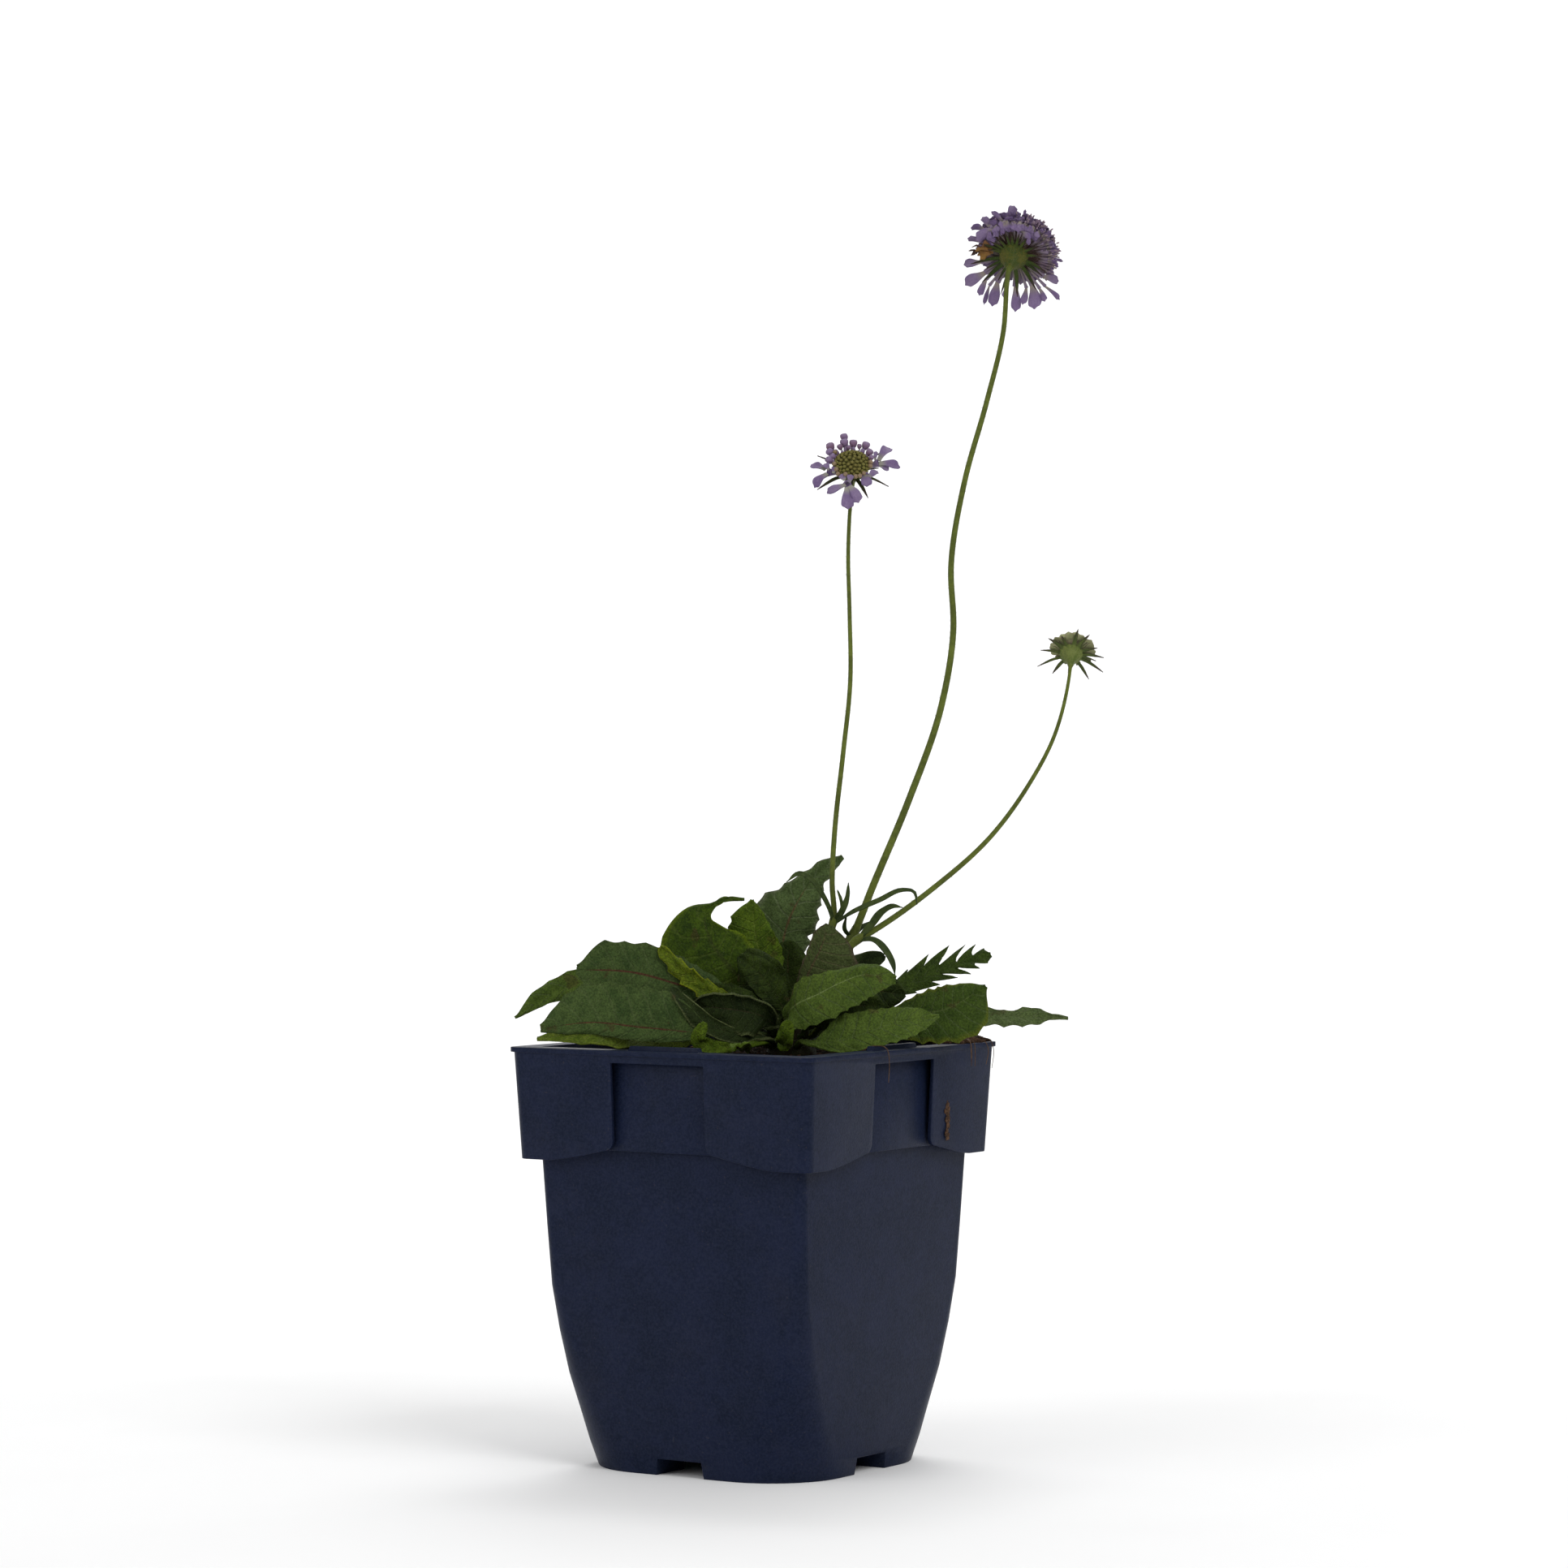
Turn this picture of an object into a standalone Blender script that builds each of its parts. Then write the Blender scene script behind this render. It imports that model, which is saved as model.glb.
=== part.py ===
"""A pincushion flower (scabious) growing in a square nursery pot.

The pot stands on the ground plane with its faces along X and Y and its axis on the origin.
The plant is laid out in its own frame: x runs to the right across the show side, y runs away
from it and z runs up. That frame is turned on the pot, so that a corner of the pot points at
the show side. Everything is worked out in millimetres and brought to metres at the end.
"""
import math
import random

import bmesh
import bpy
from mathutils import Matrix, Vector, noise

MM = 0.001
CLEARANCE = 0.3
SHOW_TURN = math.radians(33.0)
UP = Vector((0.0, 0.0, 1.0))

# Pot
RIM_TOP = 128.5
WALL = 1.2
FLOOR_TOP = 6.5
CORNER_STEPS = 3
# Half width across the faces, corner radius and height of the wall's outside
WALL_LEVELS = (
    (41.4, 24.0, 0.0),
    (42.4, 20.4, 8.0),
    (43.2, 17.0, 16.3),
    (44.5, 12.0, 28.7),
    (45.5, 8.0, 42.2),
    (46.3, 5.0, 55.7),
    (47.0, 3.9, 73.4),
    (47.8, 3.0, 94.0),
    (48.7, 3.0, 127.0),
)
LIP_HALF = 55.0
LIP_TALL = 1.5
SKIRT_TOP_HALF = 54.2
SKIRT_FOOT_HALF = 52.5
SKIRT_FOOT = 94.4
SKIRT_WALL = 1.2
SKIRT_RADIUS = 3.8
SKIRT_RISE = 3.7
SKIRT_DROP = 4.2
SKIRT_DROP_END = 50.0
SKIRT_END_RADIUS = 3.0
BAND_TALL = 3.75
RECESS_HALF = 16.8
RECESS_FACE = 49.8
STRIP_HALF = 13.0
STRIP_TALL = 1.3
STRIP_FACES = (-50.4, -48.2)
STRIP_ROOT = 0.5
STRIP_BEVEL = 0.8
CHANNEL_FOOT_HALF = 8.95
CHANNEL_HEAD_HALF = 7.95
CHANNEL_TALL = 5.0
FLOOR_EASE = 0.3
CUT_PAST = 3.0
BASE_RECESS_RADIUS = 28.0
BOSS_RADIUS = 11.0
DRAIN_RADIUS = 4.5
DRAIN_REACH = 33.0

# Soil and crown
SOIL_EDGE = 124.2
SOIL_MOUND = 1.4
SOIL_LUMP = 0.9
SOIL_LUMP_SIZE = 9.0
SOIL_RINGS = (1.0, 0.82, 0.58, 0.28)
SOIL_CORNERS = (2.0, 20.0)
CROWN = Vector((11.0, -5.0, 0.0))
CROWN_FOOT = 118.0
CROWN_SHOULDER = 126.4
CROWN_TOP = 138.2
CROWN_ROUND = 1.4
CROWN_RADIUS = 7.6
CROWN_TAPER = 0.392
WHORLS = (128.0, 130.8, 133.6, 136.0)

# Leaves
RIB_THICK = 1.5
BLADE_THICK = 0.7
STALK_HALF = 1.15
TIP_HALF = 0.45
SEAT_RUN = 2.5
SEAT_ROW = 2.4
STALK_ROWS = 4
ROUTE_STEPS = 12
STEM_SPACING = 10.5
STEM_ENDS = (1.2, 2.7)
HEAD_RUN = 2.8
GOLDEN_ANGLE = 137.5

NAVY = (0.012, 0.02, 0.06)
COMPOST = (0.035, 0.02, 0.012)
LEAF_GREEN = (0.04, 0.1, 0.025)
STEM_GREEN = (0.11, 0.17, 0.04)
LILAC = (0.24, 0.18, 0.42)
BUD_GREEN = (0.2, 0.22, 0.07)


def clear_scene():
    """Remove whatever the open file holds."""
    for thing in list(bpy.data.objects):
        bpy.data.objects.remove(thing)


def material(name, colour, roughness, metallic=0.0):
    """A plain finish."""
    finish = bpy.data.materials.new(name)
    finish.use_nodes = True
    shader = finish.node_tree.nodes["Principled BSDF"]
    shader.inputs["Base Color"].default_value = (*colour, 1.0)
    shader.inputs["Roughness"].default_value = roughness
    shader.inputs["Metallic"].default_value = metallic
    return finish


def add_object(name, bm):
    """Put a finished bmesh in the scene as an object."""
    mesh = bpy.data.meshes.new(name)
    bm.to_mesh(mesh)
    bm.free()
    thing = bpy.data.objects.new(name, mesh)
    bpy.context.scene.collection.objects.link(thing)
    return thing


def apply_modifiers(thing):
    """Keep what the modifiers make and drop them."""
    graph = bpy.context.evaluated_depsgraph_get()
    mesh = bpy.data.meshes.new_from_object(thing.evaluated_get(graph))
    thing.modifiers.clear()
    thing.data = mesh


def combine(base, others, operation, solver="EXACT"):
    """One Boolean of a whole group on the base, after which the group is gone."""
    group = bpy.data.collections.new("group")
    bpy.context.scene.collection.children.link(group)
    for other in others:
        bpy.context.scene.collection.objects.unlink(other)
        group.objects.link(other)
    boolean = base.modifiers.new("combine", "BOOLEAN")
    boolean.operation = operation
    boolean.operand_type = "COLLECTION"
    boolean.collection = group
    boolean.solver = solver
    apply_modifiers(base)
    for other in others:
        bpy.data.objects.remove(other)
    bpy.data.collections.remove(group)
    return base


def fuse(name, pieces):
    """Join pieces that grow from one another into one solid."""
    base = combine(pieces[0], pieces[1:], "UNION", "MANIFOLD")
    base.name = name
    return base


def place(thing, finish, parent, collection):
    """Give a solid its finish, bring it to metres and hang it in its frame."""
    thing.data.transform(Matrix.Scale(MM, 4))
    thing.data.materials.clear()
    thing.data.materials.append(finish)
    thing.parent = parent
    bpy.context.scene.collection.objects.unlink(thing)
    collection.objects.link(thing)


def rounded_square(half, radius, height):
    """One level loop of a square with round corners."""
    points = []
    for corner in range(4):
        turn = math.radians(90.0 * corner)
        centre = Matrix.Rotation(turn, 3, "Z") @ Vector((half - radius, half - radius, height))
        for step in range(CORNER_STEPS + 1):
            angle = turn + math.radians(90.0 * step / CORNER_STEPS)
            points.append(centre + radius * Vector((math.cos(angle), math.sin(angle), 0.0)))
    return points


def loft(name, loops):
    """A closed solid through loops of one count, capped at both ends."""
    bm = bmesh.new()
    rings = [[bm.verts.new(point) for point in loop] for loop in loops]
    for near, far in zip(rings, rings[1:]):
        for this, after in zip(range(len(near)), [*range(1, len(near)), 0]):
            bm.faces.new((near[this], near[after], far[after], far[this]))
    bm.faces.new(reversed(rings[0]))
    bm.faces.new(rings[-1])
    bmesh.ops.recalc_face_normals(bm, faces=bm.faces)
    return add_object(name, bm)


def prism(name, outline, near, far, turn=0.0):
    """An outline in x and z, drawn out along y from near to far and turned about the axis."""
    bm = bmesh.new()
    face = bm.faces.new([bm.verts.new((x, near, z)) for x, z in outline])
    drawn = bmesh.ops.extrude_face_region(bm, geom=[face])
    moved = [item for item in drawn["geom"] if isinstance(item, bmesh.types.BMVert)]
    bmesh.ops.translate(bm, verts=moved, vec=(0.0, far - near, 0.0))
    bmesh.ops.recalc_face_normals(bm, faces=bm.faces)
    bmesh.ops.rotate(bm, verts=bm.verts, cent=(0.0, 0.0, 0.0), matrix=Matrix.Rotation(turn, 3, "Z"))
    return add_object(name, bm)


def post(name, centre, radius, low, high, sides):
    """An upright cylinder between two heights."""
    bm = bmesh.new()
    middle = Matrix.Translation((centre[0], centre[1], (low + high) / 2))
    bmesh.ops.create_cone(
        bm, cap_ends=True, segments=sides, radius1=radius, radius2=radius, depth=high - low, matrix=middle
    )
    return add_object(name, bm)


def turned(name, profile, sides):
    """A turned solid from its profile of radius and height, listed from the top down."""
    bm = bmesh.new()
    verts = [bm.verts.new((radius, 0.0, height)) for radius, height in profile]
    for upper, lower in zip(verts, verts[1:]):
        bm.edges.new((upper, lower))
    thing = add_object(name, bm)
    screw = thing.modifiers.new("turn", "SCREW")
    screw.steps = sides
    screw.render_steps = sides
    screw.use_merge_vertices = True
    screw.merge_threshold = 0.0001
    apply_modifiers(thing)
    return thing


def wall_loops(inset, lowest):
    """Loops of the wall from its lowest height up, moved in by a thickness."""
    loops = []
    for half, radius, height in WALL_LEVELS:
        if height > lowest:
            loops.append(rounded_square(half - inset, max(radius - inset, 1.0), height))
    return loops


def skirt_window():
    """The opening between two skirts, with the rising lower edge of the skirts beside it."""
    right = [(RECESS_HALF, RIM_TOP - BAND_TALL)]
    edge_height = SKIRT_FOOT + SKIRT_RISE
    for step in range(4):
        angle = math.radians(180.0 + 30.0 * step)
        right.append(
            (
                RECESS_HALF + SKIRT_END_RADIUS * (1.0 + math.cos(angle)),
                edge_height + SKIRT_END_RADIUS * (1.0 + math.sin(angle)),
            )
        )
    for reach in (30.0, 40.0, 50.0):
        fall = (reach - RECESS_HALF) / (SKIRT_DROP_END - RECESS_HALF)
        right.append((reach, edge_height - SKIRT_DROP * math.sin(fall * math.pi / 2)))
    right.append((LIP_HALF + CUT_PAST, SKIRT_FOOT - 0.6))
    right.append((LIP_HALF + CUT_PAST, SKIRT_FOOT - 2.0 * CUT_PAST))
    left = [(-x, z) for x, z in reversed(right)]
    return right + left


def make_pot():
    """The pot in one piece: wall, rim, skirts, strips, feet, channels and drain holes."""
    flange = RIM_TOP - LIP_TALL
    loops = [rounded_square(*level) for level in WALL_LEVELS]
    loops.append(rounded_square(SKIRT_TOP_HALF - SKIRT_WALL, SKIRT_RADIUS - SKIRT_WALL, flange))
    loops.append(rounded_square(SKIRT_FOOT_HALF - SKIRT_WALL, SKIRT_RADIUS - SKIRT_WALL, SKIRT_FOOT))
    loops.append(rounded_square(SKIRT_FOOT_HALF, SKIRT_RADIUS, SKIRT_FOOT))
    loops.append(rounded_square(SKIRT_TOP_HALF, SKIRT_RADIUS, flange))
    loops.append(rounded_square(LIP_HALF, SKIRT_RADIUS, flange))
    loops.append(rounded_square(LIP_HALF, SKIRT_RADIUS, RIM_TOP))
    inner = wall_loops(WALL, FLOOR_TOP)
    top_half, top_radius, _ = WALL_LEVELS[-1]
    inner.append(rounded_square(top_half - WALL, top_radius - WALL, RIM_TOP))
    loops.extend(reversed(inner))
    foot_half, foot_radius, _ = WALL_LEVELS[1]
    loops.append(rounded_square(foot_half - WALL - FLOOR_EASE, foot_radius - WALL, FLOOR_TOP))
    pot = loft("pot", loops)

    cutters = []
    window = skirt_window()
    notch = (
        (-CHANNEL_FOOT_HALF, -CUT_PAST),
        (CHANNEL_FOOT_HALF, -CUT_PAST),
        (CHANNEL_HEAD_HALF, CHANNEL_TALL),
        (-CHANNEL_HEAD_HALF, CHANNEL_TALL),
    )
    for side in range(4):
        turn = math.radians(90.0 * side)
        cutters.append(prism("window", window, -LIP_HALF - CUT_PAST, -RECESS_FACE, turn))
        hole = (DRAIN_REACH * math.cos(turn), DRAIN_REACH * math.sin(turn))
        cutters.append(post("drain", hole, DRAIN_RADIUS, 1.0, FLOOR_TOP + CUT_PAST, 12))
    for side in range(2):
        cutters.append(prism("channel", notch, -LIP_HALF, LIP_HALF, math.radians(90.0 * side)))
    cutters.append(post("recess", (0.0, 0.0), BASE_RECESS_RADIUS, -CUT_PAST, CHANNEL_TALL, 24))
    combine(pot, cutters, "DIFFERENCE")

    added = [post("boss", (0.0, 0.0), BOSS_RADIUS, 0.0, CHANNEL_TALL + 0.8, 20)]
    strip = (
        (-STRIP_HALF, RIM_TOP - STRIP_ROOT),
        (STRIP_HALF, RIM_TOP - STRIP_ROOT),
        (STRIP_HALF - STRIP_BEVEL, RIM_TOP + STRIP_TALL),
        (-STRIP_HALF + STRIP_BEVEL, RIM_TOP + STRIP_TALL),
    )
    for side in range(4):
        added.append(prism("strip", strip, *STRIP_FACES, math.radians(90.0 * side)))
    return combine(pot, added, "UNION")


def soil_height(x, y, share):
    """Height of the soil where a ring of the given share of the pot's width passes."""
    lump = SOIL_LUMP * noise.noise(Vector((x, y, 0.0)) / SOIL_LUMP_SIZE)
    return SOIL_EDGE + SOIL_MOUND * (1.0 - share * share) + lump * (1.0 - share ** 6)


def make_soil():
    """Soil that fills the pot, low and lumpy on top, with a plain hole for the crown."""
    inset = WALL + CLEARANCE
    foot_half, foot_radius, _ = WALL_LEVELS[1]
    loops = [rounded_square(foot_half - inset - FLOOR_EASE, foot_radius - inset, FLOOR_TOP + CLEARANCE)]
    loops.extend(wall_loops(inset, FLOOR_TOP + CLEARANCE)[:-1])
    edge_half = WALL_LEVELS[-1][0] - inset - 0.1
    edge_radius, rounding = SOIL_CORNERS
    for share in SOIL_RINGS:
        radius = edge_radius + rounding * (1.0 - share)
        ring = rounded_square(edge_half * share, min(radius, edge_half * share - 0.5), 0.0)
        loops.append([Vector((p.x, p.y, soil_height(p.x, p.y, share))) for p in ring])
    soil = loft("soil", loops)
    centre = Matrix.Rotation(SHOW_TURN, 3, "Z") @ CROWN
    hole = post("hole", centre, CROWN_RADIUS + CLEARANCE, CROWN_FOOT - CLEARANCE, CROWN_TOP, 20)
    return combine(soil, [hole], "DIFFERENCE")


def crown_radius(height):
    """Radius of the crown's cone at a height."""
    return CROWN_RADIUS - CROWN_TAPER * (height - CROWN_SHOULDER)


def make_crown():
    """The rootstock that the leaves and stalks stand round."""
    shoulder = CROWN_TOP - CROWN_ROUND
    profile = (
        (0.0, CROWN_TOP),
        (crown_radius(shoulder) * 0.6, CROWN_TOP - 0.3 * CROWN_ROUND),
        (crown_radius(shoulder), shoulder),
        (CROWN_RADIUS, CROWN_SHOULDER),
        (CROWN_RADIUS, CROWN_FOOT),
        (0.0, CROWN_FOOT),
    )
    crown = turned("crown", profile, 20)
    crown.data.transform(Matrix.Translation(CROWN))
    return crown


def crown_seat(whorl, azimuth):
    """Where a leaf or stalk leaves the crown, and the way out from there."""
    angle = math.radians(azimuth)
    lean = math.atan(CROWN_TAPER)
    out = Vector((math.cos(angle) * math.cos(lean), math.sin(angle) * math.cos(lean), math.sin(lean)))
    height = WHORLS[whorl]
    ring = crown_radius(height)
    surface = CROWN + Vector((ring * math.cos(angle), ring * math.sin(angle), height))
    return surface + CLEARANCE * out, out


def smooth_route(points, shares):
    """Places and directions at shares of the length of a smooth curve through points."""
    points = [Vector(point) for point in points]
    runs = [after - before for before, after in zip(points, points[1:])]
    slopes = [runs[0].normalized()]
    for back, ahead in zip(runs, runs[1:]):
        slopes.append((back.normalized() * ahead.length + ahead.normalized() * back.length).normalized())
    slopes.append(runs[-1].normalized())
    dense = []
    for start, run, leave, arrive in zip(points, runs, slopes, slopes[1:]):
        for step in range(ROUTE_STEPS):
            t = step / ROUTE_STEPS
            swell = (t - 2 * t * t + t * t * t) * run.length
            settle = (t * t * t - t * t) * run.length
            dense.append(start + run * (3 * t * t - 2 * t * t * t) + leave * swell + arrive * settle)
    dense.append(points[-1])
    lengths = [0.0]
    for start, stop in zip(dense, dense[1:]):
        lengths.append(lengths[-1] + (stop - start).length)
    places = []
    for share in shares:
        target = share * lengths[-1]
        index = 0
        while index < len(dense) - 2 and lengths[index + 1] < target:
            index += 1
        span = lengths[index + 1] - lengths[index]
        t = (target - lengths[index]) / span
        before = dense[max(index - 1, 0)]
        after = dense[min(index + 2, len(dense) - 1)]
        places.append((dense[index].lerp(dense[index + 1], t), (after - before).normalized()))
    return places


def route_length(points):
    """Length of the straight runs between points."""
    return sum((Vector(after) - Vector(before)).length for before, after in zip(points, points[1:]))


def ease(value, low, high):
    """Nought below low, one above high, and a smooth rise between."""
    t = min(max((value - low) / (high - low), 0.0), 1.0)
    return t * t * (3.0 - 2.0 * t)


def sheet(name, rows, weights):
    """A closed blade about rows of points, its thickness weighted point by point."""
    bm = bmesh.new()
    bmesh.ops.create_grid(bm, x_segments=len(rows[0]) - 1, y_segments=len(rows) - 1, size=1.0)
    bm.verts.ensure_lookup_table()
    flat = [point for row in rows for point in row]
    for vert, point in zip(bm.verts, flat):
        vert.co = point
    bmesh.ops.triangulate(bm, faces=bm.faces)
    thing = add_object(name, bm)
    thickness = thing.vertex_groups.new(name="thickness")
    for index, weight in enumerate(weight for row in weights for weight in row):
        thickness.add([index], weight, "REPLACE")
    solid = thing.modifiers.new("thickness", "SOLIDIFY")
    solid.thickness = RIB_THICK
    solid.offset = 0.0
    solid.vertex_group = "thickness"
    apply_modifiers(thing)
    return thing


def blade_width(t, peak):
    """Share of the full width at a share of the blade's length."""
    t = min(max(t, 0.0), 1.0)
    rise = (t / peak) ** (1.7 * peak)
    fall = ((1.0 - t) / (1.0 - peak)) ** (1.7 * (1.0 - peak))
    return rise * fall


def leaf(
    name,
    whorl,
    azimuth,
    route,
    half,
    facing=(0.0, -1.0, 0.2),
    stalk=0.3,
    peak=0.5,
    teeth=7,
    depth=0.16,
    sweep=0.0,
    fold=0.12,
    wave=0.8,
    waves=1.5,
    columns=3,
):
    """One basal leaf.

    route: points from the crown to the tip; half: widths to the left and right of the rib, seen
    with the upper face near and the tip ahead; facing: the way that the blade's face looks;
    stalk: share of the length that is leaf stalk; peak: where along the blade it is widest;
    teeth, depth and sweep: scallops on each side, how deep they cut and how far they lean on;
    fold, wave and waves: lift of the margins, and their undulation.
    """
    seat, out = crown_seat(whorl, azimuth)
    points = [seat, seat + SEAT_RUN * out, *[Vector(point) for point in route]]
    blade_rows = 2 * teeth + 1
    shares = [0.0, SEAT_ROW / route_length(points), stalk * 0.4, stalk * 0.7]
    shares += [stalk + (1.0 - stalk) * row / (blade_rows - 1) for row in range(blade_rows)]
    base_facing = Vector((-out.x, -out.y, 1.0)).normalized()
    blade_facing = Vector(facing).normalized()
    across = [2.0 * column / (columns - 1) - 1.0 for column in range(columns)]
    rows = []
    weights = []
    for index, (place_, along) in enumerate(smooth_route(points, shares)):
        share = shares[index]
        t = (share - stalk) / (1.0 - stalk)
        notch = index >= STALK_ROWS and (index - STALK_ROWS) % 2 == 0
        look = base_facing.lerp(blade_facing, ease(share, stalk * 0.4, stalk * 1.2))
        look = (look - along * look.dot(along)).normalized()
        side = along.cross(look)
        width = blade_width(t, peak)
        cut = 1.0 - depth if notch else 1.0
        row = []
        for position in across:
            reach = half[0] if position < 0 else half[1]
            spread = STALK_HALF + max(reach - STALK_HALF, 0.0) * width * cut
            if index == len(shares) - 1:
                spread = TIP_HALF
            edge = abs(position)
            ripple = wave * width * edge * edge * math.sin(math.tau * (waves * t + 0.3 * position))
            lift = fold * spread * edge - 0.35 * fold * spread * edge * edge + ripple
            lean = 0.0 if notch else sweep * spread * width * edge
            row.append(place_ + side * spread * position + look * lift + along * lean)
        rows.append(row)
        slim = ease(share, stalk * 0.5, stalk * 1.3)
        margin = 1.0 + (BLADE_THICK / RIB_THICK - 1.0) * slim
        rib = 1.0 - 0.5 * ease(share, stalk, 1.0)
        weights.append([margin if abs(position) > 0.1 else max(rib, margin) for position in across])
    return sheet(name, rows, weights)


SHOW_LEAVES = (
    dict(name="leaf_front", whorl=0, azimuth=-75, half=(8.5, 4.9), facing=(-0.1, -1, 0.45), stalk=0.3,
         wave=0.4,
         route=((14.5, -18, 130), (17, -26, 129.8), (27.5, -31, 131.3), (35, -31, 134),
                (45, -29, 137.2), (55, -26, 139))),
    dict(name="leaf_young_front", whorl=0, azimuth=-101, half=(2.8, 2.6), stalk=0.55, teeth=3,
         route=((8.3, -20, 130.2), (8.6, -31, 130), (9.3, -36, 133), (10, -37, 137.6))),
    dict(name="leaf_young_rim", whorl=0, azimuth=-125, half=(3.2, 3.2), stalk=0.65, teeth=3,
         route=((0, -24, 129.6), (-4, -42, 129.6), (-4, -54, 131.2))),
    dict(name="leaf_rim_left", whorl=0, azimuth=-158, half=(5.4, 5), facing=(0, -0.35, 1), stalk=0.42,
         wave=0.4,
         route=((-12, -14, 129.6), (-30, -21, 130.2), (-50, -26, 131.8), (-66, -25, 130.6))),
    dict(name="leaf_red_rib", whorl=1, azimuth=-142, half=(4.4, 13), facing=(0, -1, 0.15), stalk=0.4,
         teeth=8, wave=0.5,
         route=((0, -15, 132), (-9, -27, 133), (-20, -31, 133.6), (-34, -31, 134.9),
                (-50, -28, 136.3), (-64, -25, 135))),
    dict(name="leaf_shaded", whorl=1, azimuth=-112, half=(5.7, 5.7), facing=(0, -1, -0.05), stalk=0.3,
         teeth=5,
         route=((6, -17, 134.8), (2, -24, 138.4), (-7, -26, 140.4), (-18.5, -25, 141.5))),
    dict(name="leaf_centre", whorl=2, azimuth=-88, half=(6.5, 9.5), facing=(0, -1, 0.5), stalk=0.25,
         route=((10.5, -15, 137), (13, -24, 142), (18.6, -27, 144.8), (25.2, -27.5, 148.3), (33, -27.5, 151),
                (42.6, -27, 149.5))),
    dict(name="leaf_broad_left", whorl=2, azimuth=-150, half=(11.5, 9.5), facing=(0, -1, 0.3), stalk=0.25,
         teeth=8, columns=5,
         route=((-1, -12, 139), (-11, -16, 144), (-22, -18.5, 147.2), (-37, -19, 151.3), (-54, -16, 152))),
    dict(name="leaf_left_tip", whorl=2, azimuth=170, half=(5.5, 5.5), facing=(0, -0.8, 0.6), stalk=0.4,
         route=((-8, -1, 139.5), (-25, 4, 145), (-45, 6, 148.5), (-60, 5, 145), (-74, 3, 137))),
    dict(name="leaf_arched", whorl=3, azimuth=-165, half=(15, 7), facing=(-0.1, -1, 0.1), stalk=0.2,
         peak=0.42, teeth=8, columns=5,
         route=((3, -7.5, 142), (-7, -9, 152), (-14, -8, 162), (-15, -6.5, 169), (-10, -5.5, 173.3),
                         (-4, -5.5, 173.6))),
    dict(name="leaf_upright", whorl=3, azimuth=160, half=(8, 7), facing=(0.1, -1, 0.1), stalk=0.3, teeth=6,
         route=((5, -2.5, 143), (2.5, 0, 152), (0, 1, 162), (-2, 1, 172.7))),
    dict(name="leaf_tall", whorl=3, azimuth=120, half=(11, 8.5), facing=(0, -1, 0.05), stalk=0.28, peak=0.4,
         teeth=7, depth=0.28, columns=5,
         route=((8.5, 3, 143), (8, 9, 152), (9, 12, 162), (12.5, 12, 171), (18, 12, 179.4), (27, 11, 186))),
    dict(name="leaf_purple", whorl=3, azimuth=-65, half=(6, 11), facing=(0.15, -1, 0.15), stalk=0.3,
         teeth=5,
         route=((13.5, -9, 142), (15.5, -11, 150), (20, -11.5, 159), (22.5, -10.5, 165.6))),
    dict(name="leaf_right_fold", whorl=1, azimuth=-32, half=(7.5, 9), facing=(0.1, -1, 0.4), stalk=0.45,
         route=((20, -10.5, 134.5), (35, -13, 137), (48, -15, 138.2), (58, -15, 140), (69.7, -13, 146.9))),
    dict(name="leaf_feathered", whorl=2, azimuth=12, half=(6.2, 5.8), facing=(-0.2, -0.9, 0.5), stalk=0.42,
         teeth=6, depth=0.74, sweep=0.75, fold=0.05, wave=0.3,
         route=((20, -2, 138), (32, 0, 141.5), (43.5, 2, 145), (54, 3, 150), (72.3, 3, 155.5))),
    dict(name="leaf_far_right", whorl=1, azimuth=15, half=(2.9, 4.4), facing=(0, -0.8, 0.6), stalk=0.45,
         depth=0.4, wave=0.4,
         route=((22, 0, 133.3), (42, 5, 136), (60, 8, 137.4), (75, 8, 137), (96.5, 8, 136.2))),
    dict(name="leaf_small_dark", whorl=2, azimuth=50, half=(4, 4), facing=(0, -1, 0.4), stalk=0.45,
         teeth=4, route=((19, 6, 141), (28, 12, 150), (40, 14, 155.3))),
)

# Leaves behind the flower stalks: whorl, azimuth, length and height of the arch
BACK_LEAVES = (
    (0, 38, 50, 6),
    (0, 72, 58, 7),
    (0, 104, 60, 8),
    (0, 138, 58, 7),
    (1, 56, 44, 13),
    (1, 88, 42, 12),
    (1, 124, 48, 15),
    (1, 160, 50, 10),
    (2, 106, 34, 24),
)


def back_leaf(index, whorl, azimuth, length, arch):
    """A leaf of the hidden side, arched out from the crown by a rule."""
    draw = random.Random(40 + index)
    angle = math.radians(azimuth)
    out = Vector((math.cos(angle), math.sin(angle), 0.0))
    aside = Vector((-out.y, out.x, 0.0)) * draw.uniform(-3.0, 3.0)
    start = CROWN + UP * WHORLS[whorl]
    route = (
        start + out * (9 + 0.16 * length) + UP * arch * 0.5,
        start + out * (9 + 0.45 * length) + UP * arch + aside * 0.5,
        start + out * (9 + 0.75 * length) + UP * arch * 0.95 + aside,
        start + out * (7 + length) + UP * arch * draw.uniform(0.5, 0.75) + aside * 1.4,
    )
    wide = draw.uniform(6.5, 8.5)
    return leaf(
        f"leaf_back_{index + 1}",
        whorl,
        azimuth,
        route,
        (wide, wide),
        facing=(-0.3 * out.x, -0.3 * out.y, 1.0),
        stalk=0.3,
        peak=0.55,
        teeth=5,
        wave=draw.uniform(0.4, 0.9),
    )


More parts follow.
